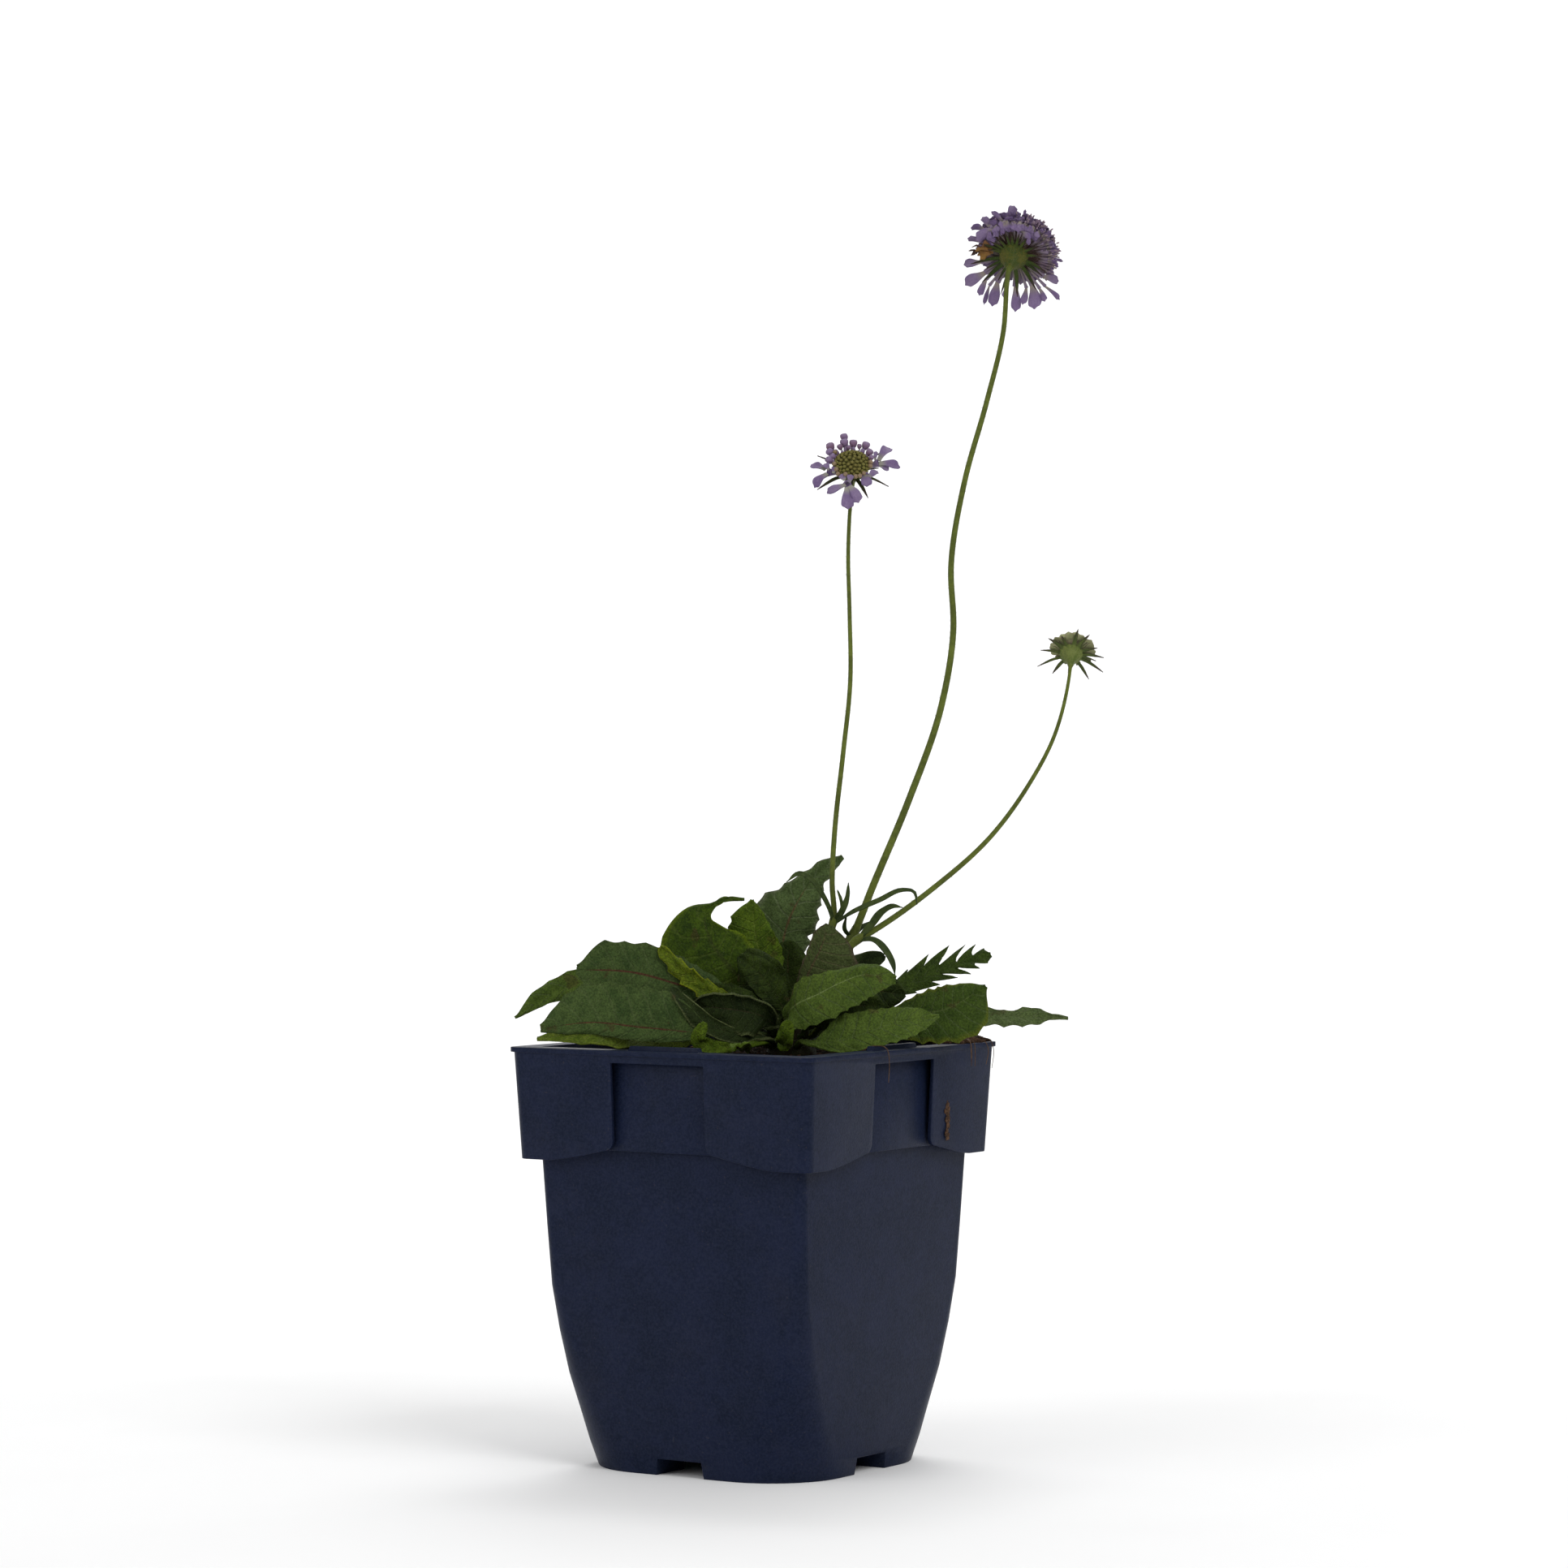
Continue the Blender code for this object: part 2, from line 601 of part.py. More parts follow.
def strap(name, route, halves, facing, thick=BLADE_THICK):
    """A narrow flat blade: a bract, a stem leaf or the lobe of a floret."""
    shares = [index / (len(halves) - 1) for index in range(len(halves))]
    look = Vector(facing).normalized()
    rows = []
    for (place_, along), half in zip(smooth_route(route, shares), halves):
        level = (look - along * look.dot(along)).normalized()
        side = along.cross(level)
        rows.append([place_ - side * half, place_ + side * half])
    weight = thick / RIB_THICK
    return sheet(name, rows, [[weight, weight]] * len(rows))


def stem(name, points, radii):
    """A round stem along a smooth route, as a closed mesh."""
    length = route_length(points)
    count = int(length / STEM_SPACING)
    shares = [0.0, *[run / length for run in STEM_ENDS]]
    shares += [index / count for index in range(1, count)]
    shares += [1.0 - run / length for run in reversed(STEM_ENDS)] + [1.0]
    curve = bpy.data.curves.new(name, "CURVE")
    curve.dimensions = "3D"
    curve.bevel_depth = 1.0
    curve.bevel_resolution = 1
    curve.use_fill_caps = True
    spline = curve.splines.new("POLY")
    spline.points.add(len(shares) - 1)
    for point, share, (place_, _) in zip(spline.points, shares, smooth_route(points, shares)):
        point.co = (*place_, 1.0)
        point.radius = radii[0] + (radii[1] - radii[0]) * share
    guide = bpy.data.objects.new(name, curve)
    bpy.context.scene.collection.objects.link(guide)
    mesh = bpy.data.meshes.new_from_object(guide.evaluated_get(bpy.context.evaluated_depsgraph_get()))
    bpy.data.objects.remove(guide)
    bm = bmesh.new()
    bm.from_mesh(mesh)
    bmesh.ops.remove_doubles(bm, verts=bm.verts, dist=0.001)
    return add_object(name, bm)


HEAD_1_JOINT = Vector((78.9, 6.8, 369.3))
HEAD_2_JOINT = Vector((29.8, 5.4, 302.5))
HEAD_3_JOINT = Vector((97.3, 3.0, 246.6))
HEAD_1_AXIS = Vector((0.22, 0.76, 0.61)).normalized()
HEAD_2_AXIS = Vector((-0.02, -0.74, 0.67)).normalized()
HEAD_3_AXIS = Vector((0.08, 0.8, 0.6)).normalized()

# Each stalk: its seat on the crown, radii, route and the straps at its lowest node
STALKS = (
    dict(name="stalk_1", azimuth=80, radii=(1.0, 0.7), joint=HEAD_2_JOINT, axis=HEAD_2_AXIS,
         route=((13.5, 2.5, 142), (18.5, 3, 154), (24, 3, 166.3), (23.6, 3, 178), (24.4, 3, 194),
                (27, 3, 218), (29.2, 3.5, 240), (29, 4, 262), (28.6, 4.5, 280), (29.2, 5, 294)),
         straps=(
             dict(route=((24, 3, 165.5), (22.8, 1, 169.9), (20.6, 0, 174.4), (17.6, -1, 178.8),
                         (13.4, -2, 181.1), (9.5, -2, 178.4)),
                  halves=(0.7, 0.9, 1.0, 1.0, 0.9, 0.3), facing=(0.3, -1, 0.2)),
             dict(route=((24, 3, 165.5), (26.6, 1, 169.4), (28.2, 0, 173.6), (28.6, -1, 178.2)),
                  halves=(0.7, 1.2, 1.2, 0.8, 0.3), facing=(0, -1, 0)),
             dict(route=((26.6, 1, 169.6), (26.4, 0.5, 172.5), (25.2, 0, 176)),
                  halves=(0.5, 0.6, 0.3), facing=(0, -1, 0)),
             dict(route=((24, 3, 165.2), (30, -1.5, 169.2), (38, -4, 172.8), (45.5, -4.5, 176),
                         (48.5, -4.5, 175.6), (49.6, -4.5, 171.5)),
                  halves=(0.6, 0.7, 1.0, 1.1, 1.1, 1.0, 0.7, 0.3), facing=(0, -1, 0.6)),
         )),
    dict(name="stalk_2", azimuth=38, radii=(1.25, 0.9), joint=HEAD_1_JOINT, axis=HEAD_1_AXIS,
         route=((17, 2, 141), (24, 5, 151), (29.8, 5.5, 161.2), (36.1, 5, 176.7), (47.4, 5, 203.8),
                (57.4, 5, 232.7), (61.1, 5, 256), (60.4, 5, 276), (64.5, 5.5, 301.7), (71.5, 6, 327),
                (76.6, 6.2, 348.4)),
         straps=(
             dict(route=((29.8, 5.5, 161), (27.6, 3, 164), (28, 1.6, 168)), halves=(0.7, 1.0, 0.3),
                  facing=(-0.6, -1, 0)),
             dict(route=((29.8, 5.5, 161), (33, 6.5, 164.5), (35.6, 8, 166)), halves=(0.7, 0.9, 0.3),
                  facing=(0.3, -1, 0.4)),
         )),
    dict(name="stalk_3", azimuth=-2, radii=(1.15, 0.65), joint=HEAD_3_JOINT, axis=HEAD_3_AXIS,
         route=((18.5, -4, 140), (25, -2.5, 150), (30.5, -0.5, 160), (36, 0, 163.2), (54.8, 1, 176.5),
                (72.9, 2, 192.8), (84.4, 2, 208.6), (92, 2.4, 223), (96, 2.8, 237)),
         straps=(
             dict(route=((31.5, -0.3, 160.6), (35.6, -1.6, 165), (39.5, -2, 169.6), (42.2, -2, 171),
                         (45.3, -2, 170.6)),
                  halves=(0.8, 1.4, 1.7, 1.2, 0.3), facing=(-0.5, -1, 0.3)),
             dict(route=((31.5, -0.3, 160.4), (36.5, -3.5, 160.6), (40, -5.5, 157.4), (42.3, -6.5, 152.9),
                         (42.8, -7, 149.9)),
                  halves=(0.7, 1.1, 1.4, 1.2, 0.3), facing=(0, -1, 0.5)),
         )),
)


def make_stalk(name, azimuth, radii, joint, axis, route, straps):
    """A flower stalk with the leaves of its lowest node, fused; its end bends into its head."""
    seat, out = crown_seat(3, azimuth)
    points = [seat, seat + SEAT_RUN * out, *route, joint - HEAD_RUN * axis, joint]
    pieces = [stem(name, points, radii)]
    for index, spec in enumerate(straps):
        pieces.append(strap(f"{name}_strap_{index}", **spec))
    return fuse(name, pieces)


# Turned profiles of the heads: radius, and height above the stalk
FULL_RECEPTACLE = ((0.0, 5.6), (2.8, 5.1), (3.9, 3.9), (3.8, 2.6), (2.8, 1.0), (1.2, 0.0), (0.0, 0.0))
FULL_CORE = ((0.0, 12.2), (3.8, 11.7), (6.3, 10.2), (7.2, 8.2), (6.4, 6.7), (3.6, 5.9), (0.0, 5.9))
OPEN_RECEPTACLE = ((0.0, 4.3), (2.6, 4.0), (3.7, 3.2), (3.5, 2.2), (2.5, 0.9), (1.0, 0.0), (0.0, 0.0))
OPEN_DISC = ((0.0, 8.3), (2.2, 8.0), (3.9, 7.2), (4.7, 6.2), (4.2, 5.2), (2.8, 4.6), (0.0, 4.6))
BUD_RECEPTACLE = ((0.0, 4.2), (3.4, 3.9), (4.3, 3.0), (3.9, 2.0), (2.6, 0.8), (1.0, 0.0), (0.0, 0.0))
BUD_CORE = ((0.0, 8.6), (2.6, 8.2), (4.5, 7.2), (5.2, 6.0), (4.8, 5.1), (3.2, 4.5), (0.0, 4.5))
BRACT_HALVES = (0.8, 1.05, 0.25)

# Counts of florets, pins and buds, and where those of the opening head stand and how large
FULL_OUTER = 10
FULL_MIDDLE = 8
FULL_INNER = 6
FULL_PINS = 10
DISC_BUDS = 21
OPEN_FLORETS = ((-14, 1.0), (-52, 0.72), (-96, 1.0), (-152, 0.95), (-178, 0.6))
INNER_LOBES_FROM = 0.8
CLOSED_BUDS = (14, 36, 60, 84, 106, 128, 152)
RING_BUDS = 11
DOME_BUDS = 7


def polar(radius, azimuth, height):
    """A point of a head's own frame."""
    angle = math.radians(azimuth)
    return Vector((radius * math.cos(angle), radius * math.sin(angle), height))


def bracts(count, routes, halves):
    """A ring of narrow bracts, long and short in turn."""
    pieces = []
    for index in range(count):
        azimuth = 360.0 * index / count + 7.0 * math.sin(2.6 * index)
        route = [polar(radius, azimuth, height) for radius, height in routes[index % len(routes)]]
        pieces.append(strap("bract", route, halves, UP))
    return pieces


def lobe(azimuth, twist, start, stop, half, thick=BLADE_THICK):
    """A spatulate lobe of a floret between two places of radius and height."""
    near = polar(start[0], azimuth, start[1])
    far = polar(stop[0], azimuth, stop[1])
    way = far - near
    aside = Vector((-math.sin(math.radians(azimuth)), math.cos(math.radians(azimuth)), 0.0))
    turn = Matrix.Rotation(math.radians(twist), 3, way.cross(aside).normalized())
    way = turn @ way
    middle = near + way * 0.55 + way.cross(aside).normalized() * way.length * 0.06
    route = (near, middle, near + way)
    return strap("lobe", route, (0.4 * half, half, 0.45 * half), way.cross(aside), thick)


def floret(azimuth, places, halves):
    """The tube of a floret and its outer lobe, in one strap along places of radius and height."""
    return strap("floret", [polar(radius, azimuth, height) for radius, height in places], halves, UP)


def knob(radius, azimuth, height, size):
    """A closed bud."""
    bm = bmesh.new()
    bmesh.ops.create_icosphere(
        bm, subdivisions=1, radius=size, matrix=Matrix.Translation(polar(radius, azimuth, height))
    )
    return add_object("knob", bm)


def pin(azimuth, lean, centre, start, stop, thick):
    """A three-sided style or stamen that stands out of a head."""
    way = polar(math.sin(math.radians(lean)), azimuth, math.cos(math.radians(lean)))
    bm = bmesh.new()
    middle = Vector((0.0, 0.0, centre)) + way * (start + stop) / 2
    matrix = Matrix.Translation(middle) @ UP.rotation_difference(way).to_matrix().to_4x4()
    bmesh.ops.create_cone(
        bm, cap_ends=True, segments=3, radius1=thick * 0.8, radius2=thick, depth=stop - start, matrix=matrix
    )
    return add_object("pin", bm)


def head_frame(joint, axis):
    """Matrix of a head's own frame: z along the way it faces, x to the right of the show side."""
    aside = (Vector((1.0, 0.0, 0.0)) - axis * axis.x).normalized()
    matrix = Matrix((aside, axis.cross(aside), axis)).transposed().to_4x4()
    matrix.translation = joint + CLEARANCE * axis
    return matrix


def make_full_head():
    """The full head, which faces away from the show side: green parts and lilac parts."""
    long_bract = ((2.4, 2.7), (6.0, 2.7), (10.0, 1.7), (13.4, -0.2))
    short_bract = ((2.4, 3.3), (5.5, 3.5), (8.4, 2.9), (10.6, 2.0))
    green = [turned("receptacle", FULL_RECEPTACLE, 10)]
    green += bracts(16, (long_bract, short_bract), BRACT_HALVES)
    lilac = [turned("core", FULL_CORE, 12)]
    for index in range(FULL_OUTER):
        azimuth = 360.0 / FULL_OUTER * index + 5.0 * math.sin(1.9 * index)
        lilac.append(floret(azimuth, ((5.5, 7.6), (9.2, 7.0), (12.8, 5.6), (16.0, 3.4)), (0.6, 0.7, 1.9, 0.8)))
        lilac.append(lobe(azimuth, 40, (9.4, 6.75), (14.6, 4.9), 1.6, 0.76))
        lilac.append(lobe(azimuth, -43, (9.1, 7.2), (14.4, 5.4), 1.6, 0.82))
    for index in range(FULL_MIDDLE):
        azimuth = 360.0 / FULL_MIDDLE * index + 16.0 + 6.0 * math.sin(2.3 * index)
        lilac.append(lobe(azimuth, 24, (6.0, 9.3), (13.2, 10.4), 1.8))
        lilac.append(lobe(azimuth, -24, (6.0, 9.3), (12.4, 11.2), 1.6))
    for index in range(FULL_INNER):
        azimuth = 360.0 / FULL_INNER * index + 9.0 * math.sin(1.7 * index)
        lilac.append(lobe(azimuth, 18, (3.6, 11.0), (8.8, 14.4), 1.6))
        lilac.append(lobe(azimuth, -30, (2.6, 11.4), (5.4, 15.6), 1.3))
    for index in range(FULL_PINS):
        lean = 14.0 + 58.0 * math.sqrt((index + 0.5) / FULL_PINS)
        lilac.append(pin(GOLDEN_ANGLE * index, lean, 5.5, 4.5, 14.2, 0.42))
    matrix = head_frame(HEAD_1_JOINT, HEAD_1_AXIS)
    heads = [fuse("head_1_green", green), fuse("head_1_florets", lilac)]
    for head in heads:
        head.data.transform(matrix)
    return heads


def make_open_head():
    """The opening head: a disc of buds in a ring of florets, turned up and to the show side."""
    long_bract = ((2.2, 2.4), (5.0, 1.6), (8.0, 1.4), (11.4, 2.2))
    short_bract = ((2.2, 2.4), (4.6, 1.6), (7.0, 1.4), (9.2, 2.0))
    green = [turned("receptacle", OPEN_RECEPTACLE, 10)]
    green += bracts(9, (long_bract, short_bract), BRACT_HALVES)
    disc = [turned("disc", OPEN_DISC, 14)]
    for index in range(DISC_BUDS):
        lean = math.radians(78.0) * math.sqrt((index + 0.5) / DISC_BUDS)
        disc.append(knob(4.35 * math.sin(lean), GOLDEN_ANGLE * index, 5.9 + 2.7 * math.cos(lean), 0.95))
    eye = post("eye", (0.0, 0.0), 4.15, 2.0, 6.0, 14)
    lilac = [combine(post("ring", (0.0, 0.0), 5.4, 3.55, 4.45, 14), [eye], "DIFFERENCE")]
    for azimuth, size in OPEN_FLORETS:
        reach = 7.6 * size
        places = ((4.8, 4.0), (6.8, 4.7), (6.0 + 0.6 * reach, 5.3), (7.0 + reach, 4.6))
        lilac.append(floret(azimuth, places, (0.9, 1.1, 1.8 * size, 0.8)))
        lilac.append(lobe(azimuth, 47, (6.5, 4.55), (6.4 + reach, 5.2), 1.7 * size, 0.76))
        lilac.append(lobe(azimuth, -49, (6.3, 4.8), (6.2 + reach, 5.5), 1.7 * size, 0.82))
        if size > INNER_LOBES_FROM:
            lilac.append(lobe(azimuth + 10, 112, (6.7, 4.9), (9.6, 6.3), 1.0))
            lilac.append(lobe(azimuth - 11, -116, (6.8, 5.0), (9.5, 6.5), 1.0, 0.76))
    for index, azimuth in enumerate(CLOSED_BUDS):
        radius = 6.7 if index % 2 else 6.5
        lilac.append(knob(5.7, azimuth, 4.3, 0.95))
        lilac.append(knob(radius, azimuth + 1.0, 5.6, 1.25))
    matrix = head_frame(HEAD_2_JOINT, HEAD_2_AXIS)
    heads = [fuse("head_2_green", green), fuse("head_2_florets", lilac), fuse("head_2_buds", disc)]
    for head in heads:
        head.data.transform(matrix)
    return heads


def make_bud_head():
    """The green head still in bud, which faces away from the show side."""
    long_bract = ((2.8, 2.4), (5.6, 2.2), (8.2, 1.5), (10.4, 0.5))
    short_bract = ((2.8, 2.7), (5.2, 2.7), (7.2, 2.3), (9.0, 1.7))
    green = [turned("receptacle", BUD_RECEPTACLE, 10)]
    green += bracts(13, (long_bract, long_bract, short_bract), (0.65, 0.8, 0.25))
    pale = [turned("core", BUD_CORE, 12)]
    for index in range(RING_BUDS):
        pale.append(knob(5.2, 360.0 / RING_BUDS * index, 6.2, 1.45))
    for index in range(DOME_BUDS):
        lean = math.radians(52.0) * math.sqrt((index + 0.5) / DOME_BUDS)
        pale.append(knob(4.6 * math.sin(lean), GOLDEN_ANGLE * index, 5.4 + 3.2 * math.cos(lean), 1.05))
    matrix = head_frame(HEAD_3_JOINT, HEAD_3_AXIS)
    heads = [fuse("head_3_green", green), fuse("head_3_buds", pale)]
    for head in heads:
        head.data.transform(matrix)
    return heads


def main():
    clear_scene()
    collection = bpy.data.collections.new("potted_pincushion_flower")
    bpy.context.scene.collection.children.link(collection)
    plant = bpy.data.objects.new("plant", None)
    plant.rotation_euler = (0.0, 0.0, SHOW_TURN)
    collection.objects.link(plant)

    navy = material("navy_plastic", NAVY, 0.45)
    compost = material("compost", COMPOST, 1.0)
    leaf_green = material("leaf", LEAF_GREEN, 0.6)
    stem_green = material("stem", STEM_GREEN, 0.6)
    lilac = material("petal", LILAC, 0.6)
    bud_green = material("bud", BUD_GREEN, 0.6)

    place(make_pot(), navy, None, collection)
    place(make_soil(), compost, None, collection)
    place(make_crown(), stem_green, plant, collection)
    for spec in SHOW_LEAVES:
        place(leaf(**spec), leaf_green, plant, collection)
    for index, spec in enumerate(BACK_LEAVES):
        place(back_leaf(index, *spec), leaf_green, plant, collection)
    for spec in STALKS:
        place(make_stalk(**spec), stem_green, plant, collection)
    finishes = {"green": stem_green, "florets": lilac, "buds": bud_green}
    for head in [*make_full_head(), *make_open_head(), *make_bud_head()]:
        place(head, finishes[head.name.split("_")[-1]], plant, collection)


main()
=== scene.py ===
"""A potted pincushion flower: its finishes and fine surfaces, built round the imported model.

The plant is laid out in millimetres in its own frame: x runs right across the show side, y away
from it and z up. A finished piece is turned onto the pot and brought to metres. The pot and the
soil are laid out square to the pot.
"""

import math
import random

import bmesh
import bpy
from mathutils import Matrix, Vector, noise


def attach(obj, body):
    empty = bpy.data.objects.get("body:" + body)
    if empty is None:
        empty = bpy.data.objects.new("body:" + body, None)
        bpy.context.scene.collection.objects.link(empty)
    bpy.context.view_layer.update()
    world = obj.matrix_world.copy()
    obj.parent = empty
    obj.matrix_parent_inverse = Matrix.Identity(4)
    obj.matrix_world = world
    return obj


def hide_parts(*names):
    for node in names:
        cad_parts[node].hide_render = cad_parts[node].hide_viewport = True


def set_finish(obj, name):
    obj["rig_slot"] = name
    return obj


bl_info = {
    "name": "Potted pincushion flower",
    "version": (1, 0, 0),
    "blender": (4, 5, 0),
    "location": "View3D > Sidebar > Pincushion flower",
    "description": "Builds a pincushion flower in its nursery pot, leaf by leaf and floret by floret",
    "category": "Add Mesh",
}

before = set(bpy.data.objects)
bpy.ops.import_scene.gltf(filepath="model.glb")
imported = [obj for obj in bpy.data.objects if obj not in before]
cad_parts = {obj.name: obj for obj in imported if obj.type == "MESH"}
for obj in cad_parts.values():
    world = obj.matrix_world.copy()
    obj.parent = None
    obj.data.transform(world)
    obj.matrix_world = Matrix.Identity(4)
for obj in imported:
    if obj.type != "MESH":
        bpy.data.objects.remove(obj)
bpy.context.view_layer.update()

MM = 0.001
CLEARANCE = 0.3
UP = Vector((0.0, 0.0, 1.0))
SHOW_TURN = math.radians(33.0)
POT_TO_ROW = Matrix.Scale(MM, 4)
PLANT_TO_ROW = Matrix.Rotation(SHOW_TURN, 4, "Z") @ Matrix.Scale(MM, 4)

# Camera, in the plant's frame
CAMERA_AT = (8.75, -1475.0, 208.6)
CAMERA_LENS = 109.9
SENSOR_WIDTH = 36.0

# Pot
RIM_TOP = 128.5
WALL = 1.2
FLOOR_TOP = 6.5
CORNER_STEPS = 12
LEVEL_STEPS = 4
# Half width across the faces, corner radius and height of the wall's outside
WALL_LEVELS = (
    (41.4, 24.0, 0.0),
    (42.4, 20.4, 8.0),
    (43.2, 17.0, 16.3),
    (44.5, 12.0, 28.7),
    (45.5, 8.0, 42.2),
    (46.3, 5.0, 55.7),
    (47.0, 3.9, 73.4),
    (47.8, 3.0, 94.0),
    (48.7, 3.0, 127.0),
)
LIP_HALF = 55.0
LIP_TALL = 1.5
SKIRT_TOP_HALF = 54.2
SKIRT_FOOT_HALF = 52.5
SKIRT_FOOT = 94.4
SKIRT_WALL = 1.2
SKIRT_RADIUS = 3.8
SKIRT_RISE = 3.7
SKIRT_DROP = 4.2
SKIRT_DROP_END = 50.0
SKIRT_END_RADIUS = 3.0
BAND_TALL = 3.75
RECESS_HALF = 16.8
RECESS_FACE = 49.8
PANEL_HALF = 21.0
PANEL_FACE = 50.6
STRIP_HALF = 13.0
STRIP_TALL = 1.3
STRIP_FACES = (-50.4, -48.2)
STRIP_ROOT = 0.5
STRIP_BEVEL = 0.8
PANEL_DROP = 2.0
PANEL_THICK = 2.0
CHANNEL_FOOT_HALF = 8.95
CHANNEL_HEAD_HALF = 7.95
CHANNEL_TALL = 5.0
BASE_RECESS_RADIUS = 28.0
BOSS_RADIUS = 11.0
DRAIN_RADIUS = 4.5
DRAIN_REACH = 33.0
FLOOR_EASE = 0.3
CUT_PAST = 3.0
SKIRT_END_STEPS = 8
SKIRT_DROP_STEPS = 14
SKIRT_CORNER_DROP = 0.6
INNER_RADIUS = 1.0
DRAIN_START = 1.0
BOSS_ROOT = 0.8
EDGE_ROUND = 0.28
EDGE_ANGLE = 50.0

# Soil and crown
SOIL_EDGE = 124.2
SOIL_MOUND = 1.4
SOIL_CELLS = 110
# Height and width of the soil's lumps
LUMPS = ((0.9, 9.0), (0.8, 3.4), (0.45, 1.4))
CRUMBS = 520
CRUMB_REACH = 45.5
# The heap of crumbs at the right corner of the rim, and the dried streak on the right skirt's face
HEAP_CRUMBS = 260
HEAP_ACROSS = (40.0, 53.0)
HEAP_ALONG = (34.0, 53.0)
HEAP_TALL = 2.6
HEAP_SHIFT = 700
STREAK_CRUMBS = 70
STREAK_TOP = (53.3, 26.0, 111.5)
STREAK_DROP = 12.0
ROOTLETS = 6
ROOTLET_STEPS = 16
CROWN = Vector((11.0, -5.0, 0.0))
CROWN_FOOT = 118.0
CROWN_SHOULDER = 126.4
CROWN_TOP = 138.2
CROWN_RADIUS = 7.6
CROWN_TAPER = 0.392
WHORLS = (128.0, 130.8, 133.6, 136.0)

# Leaves
RIB_THICK = 1.5
MARGIN_THICK = 0.4
STALK_HALF = 1.15
TIP_HALF = 0.45
SEAT_RUN = 2.5
STALK_ROWS = 12
ROWS_PER_TOOTH = 8
LEAF_COLUMNS = 24
ROUTE_STEPS = 24
VEIN_LEAN = 1.1
VEIN_PAIRS = 9.0
WAVES = 1.5
BLISTER = 0.45
TIP_START = 0.97
GOLDEN_ANGLE = 137.5


def deselect():
    """Leave nothing selected, so that an operator acts on its own piece only."""
    bpy.ops.object.select_all(action="DESELECT")


def activate(thing):
    """Make one object the only selected one."""
    deselect()
    thing.select_set(True)
    bpy.context.view_layer.objects.active = thing


def modify(thing, kind, **values):
    """Add one modifier with its values and apply it."""
    modifier = thing.modifiers.new(kind.lower(), kind)
    for name, value in values.items():
        setattr(modifier, name, value)
    activate(thing)
    bpy.ops.object.modifier_apply(modifier=modifier.name)


def join(things, name):
    """Join several meshes in one piece."""
    deselect()
    for thing in things:
        thing.select_set(True)
    bpy.context.view_layer.objects.active = things[0]
    bpy.ops.object.join()
    things[0].name = name
    return things[0]


def finish_piece(thing, name, slot, finish, nodes=(), to_row=PLANT_TO_ROW, angle=45.0):
    """Name a piece, bring it to the row frame, give it its finish and hang it on the part's body."""
    thing.name = name
    thing.data.name = name
    thing.data.transform(to_row)
    thing.data.materials.clear()
    thing.data.materials.append(finish)
    activate(thing)
    bpy.ops.object.shade_smooth_by_angle(angle=math.radians(angle))
    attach(thing, "root")
    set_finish(thing, slot)
    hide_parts(*nodes)
    return thing


def set_uvs(thing, spots):
    """Give each vertex its place on the piece's own map."""
    layer = thing.data.uv_layers.active or thing.data.uv_layers.new(name="UVMap")
    flat = []
    for loop in thing.data.loops:
        flat.extend(spots[loop.vertex_index])
    layer.data.foreach_set("uv", flat)


def add_grid(name, rows, spots):
    """A grid primitive laid on rows of points, with a map place for each point."""
    columns = len(rows[0]) - 1
    bpy.ops.mesh.primitive_grid_add(x_subdivisions=columns, y_subdivisions=len(rows) - 1, size=2.0)
    thing = bpy.context.object
    thing.name = name
    flat = [value for row in rows for point in row for value in point]
    thing.data.vertices.foreach_set("co", flat)
    thing.data.update()
    set_uvs(thing, [spot for row in spots for spot in row])
    return thing


def solidify(thing, weights):
    """Give a sheet its thickness, weighted point by point."""
    group = thing.vertex_groups.new(name="thickness")
    for index, weight in enumerate(weights):
        group.add([index], weight, "REPLACE")
    modify(thing, "SOLIDIFY", thickness=RIB_THICK, offset=0.0, vertex_group="thickness")


def put_in_order(thing):
    """Number a piece's corners and faces by their places, so that every run gives the same mesh."""
    mesh = thing.data
    places = [tuple(vert.co) for vert in mesh.vertices]
    order = sorted(range(len(places)), key=places.__getitem__)
    rank = {index: number for number, index in enumerate(order)}
    spots = mesh.uv_layers.active.data
    faces = []
    for face in mesh.polygons:
        corners = [rank[index] for index in face.vertices]
        faces.append((sorted(corners), corners, [tuple(spots[loop].uv) for loop in face.loop_indices]))
    faces.sort()
    mesh.clear_geometry()
    mesh.from_pydata([places[index] for index in order], [], [corners for _, corners, _ in faces])
    flat = [value for _, _, kept in faces for spot in kept for value in spot]
    mesh.uv_layers.new(name="UVMap").data.foreach_set("uv", flat)


def edit_extrude(thing, rings):
    """Extrude the piece's open or capped end from ring to ring; each ring is a list of places."""
    activate(thing)
    bpy.ops.object.mode_set(mode="EDIT")
    bpy.ops.mesh.select_all(action="SELECT")
    for before, after in zip(rings, rings[1:]):
        bpy.ops.mesh.extrude_region()
        skin = bmesh.from_edit_mesh(thing.data)
        for vert in [vert for vert in skin.verts if vert.select]:
            nearest = min(range(len(before)), key=lambda index: (before[index] - vert.co).length_squared)
            vert.co = after[nearest]
        bmesh.update_edit_mesh(thing.data)
    bpy.ops.mesh.select_all(action="SELECT")
    bpy.ops.mesh.normals_make_consistent(inside=False)
    bpy.ops.object.mode_set(mode="OBJECT")
    put_in_order(thing)


def stacked(name, rings):
    """A closed skin through rings of one count, extruded from a filled circle."""
    bpy.ops.mesh.primitive_circle_add(vertices=len(rings[0]), fill_type="NGON")
    thing = bpy.context.object
    thing.name = name
    for vert, point in zip(thing.data.vertices, rings[0]):
        vert.co = point
    edit_extrude(thing, rings)
    return thing


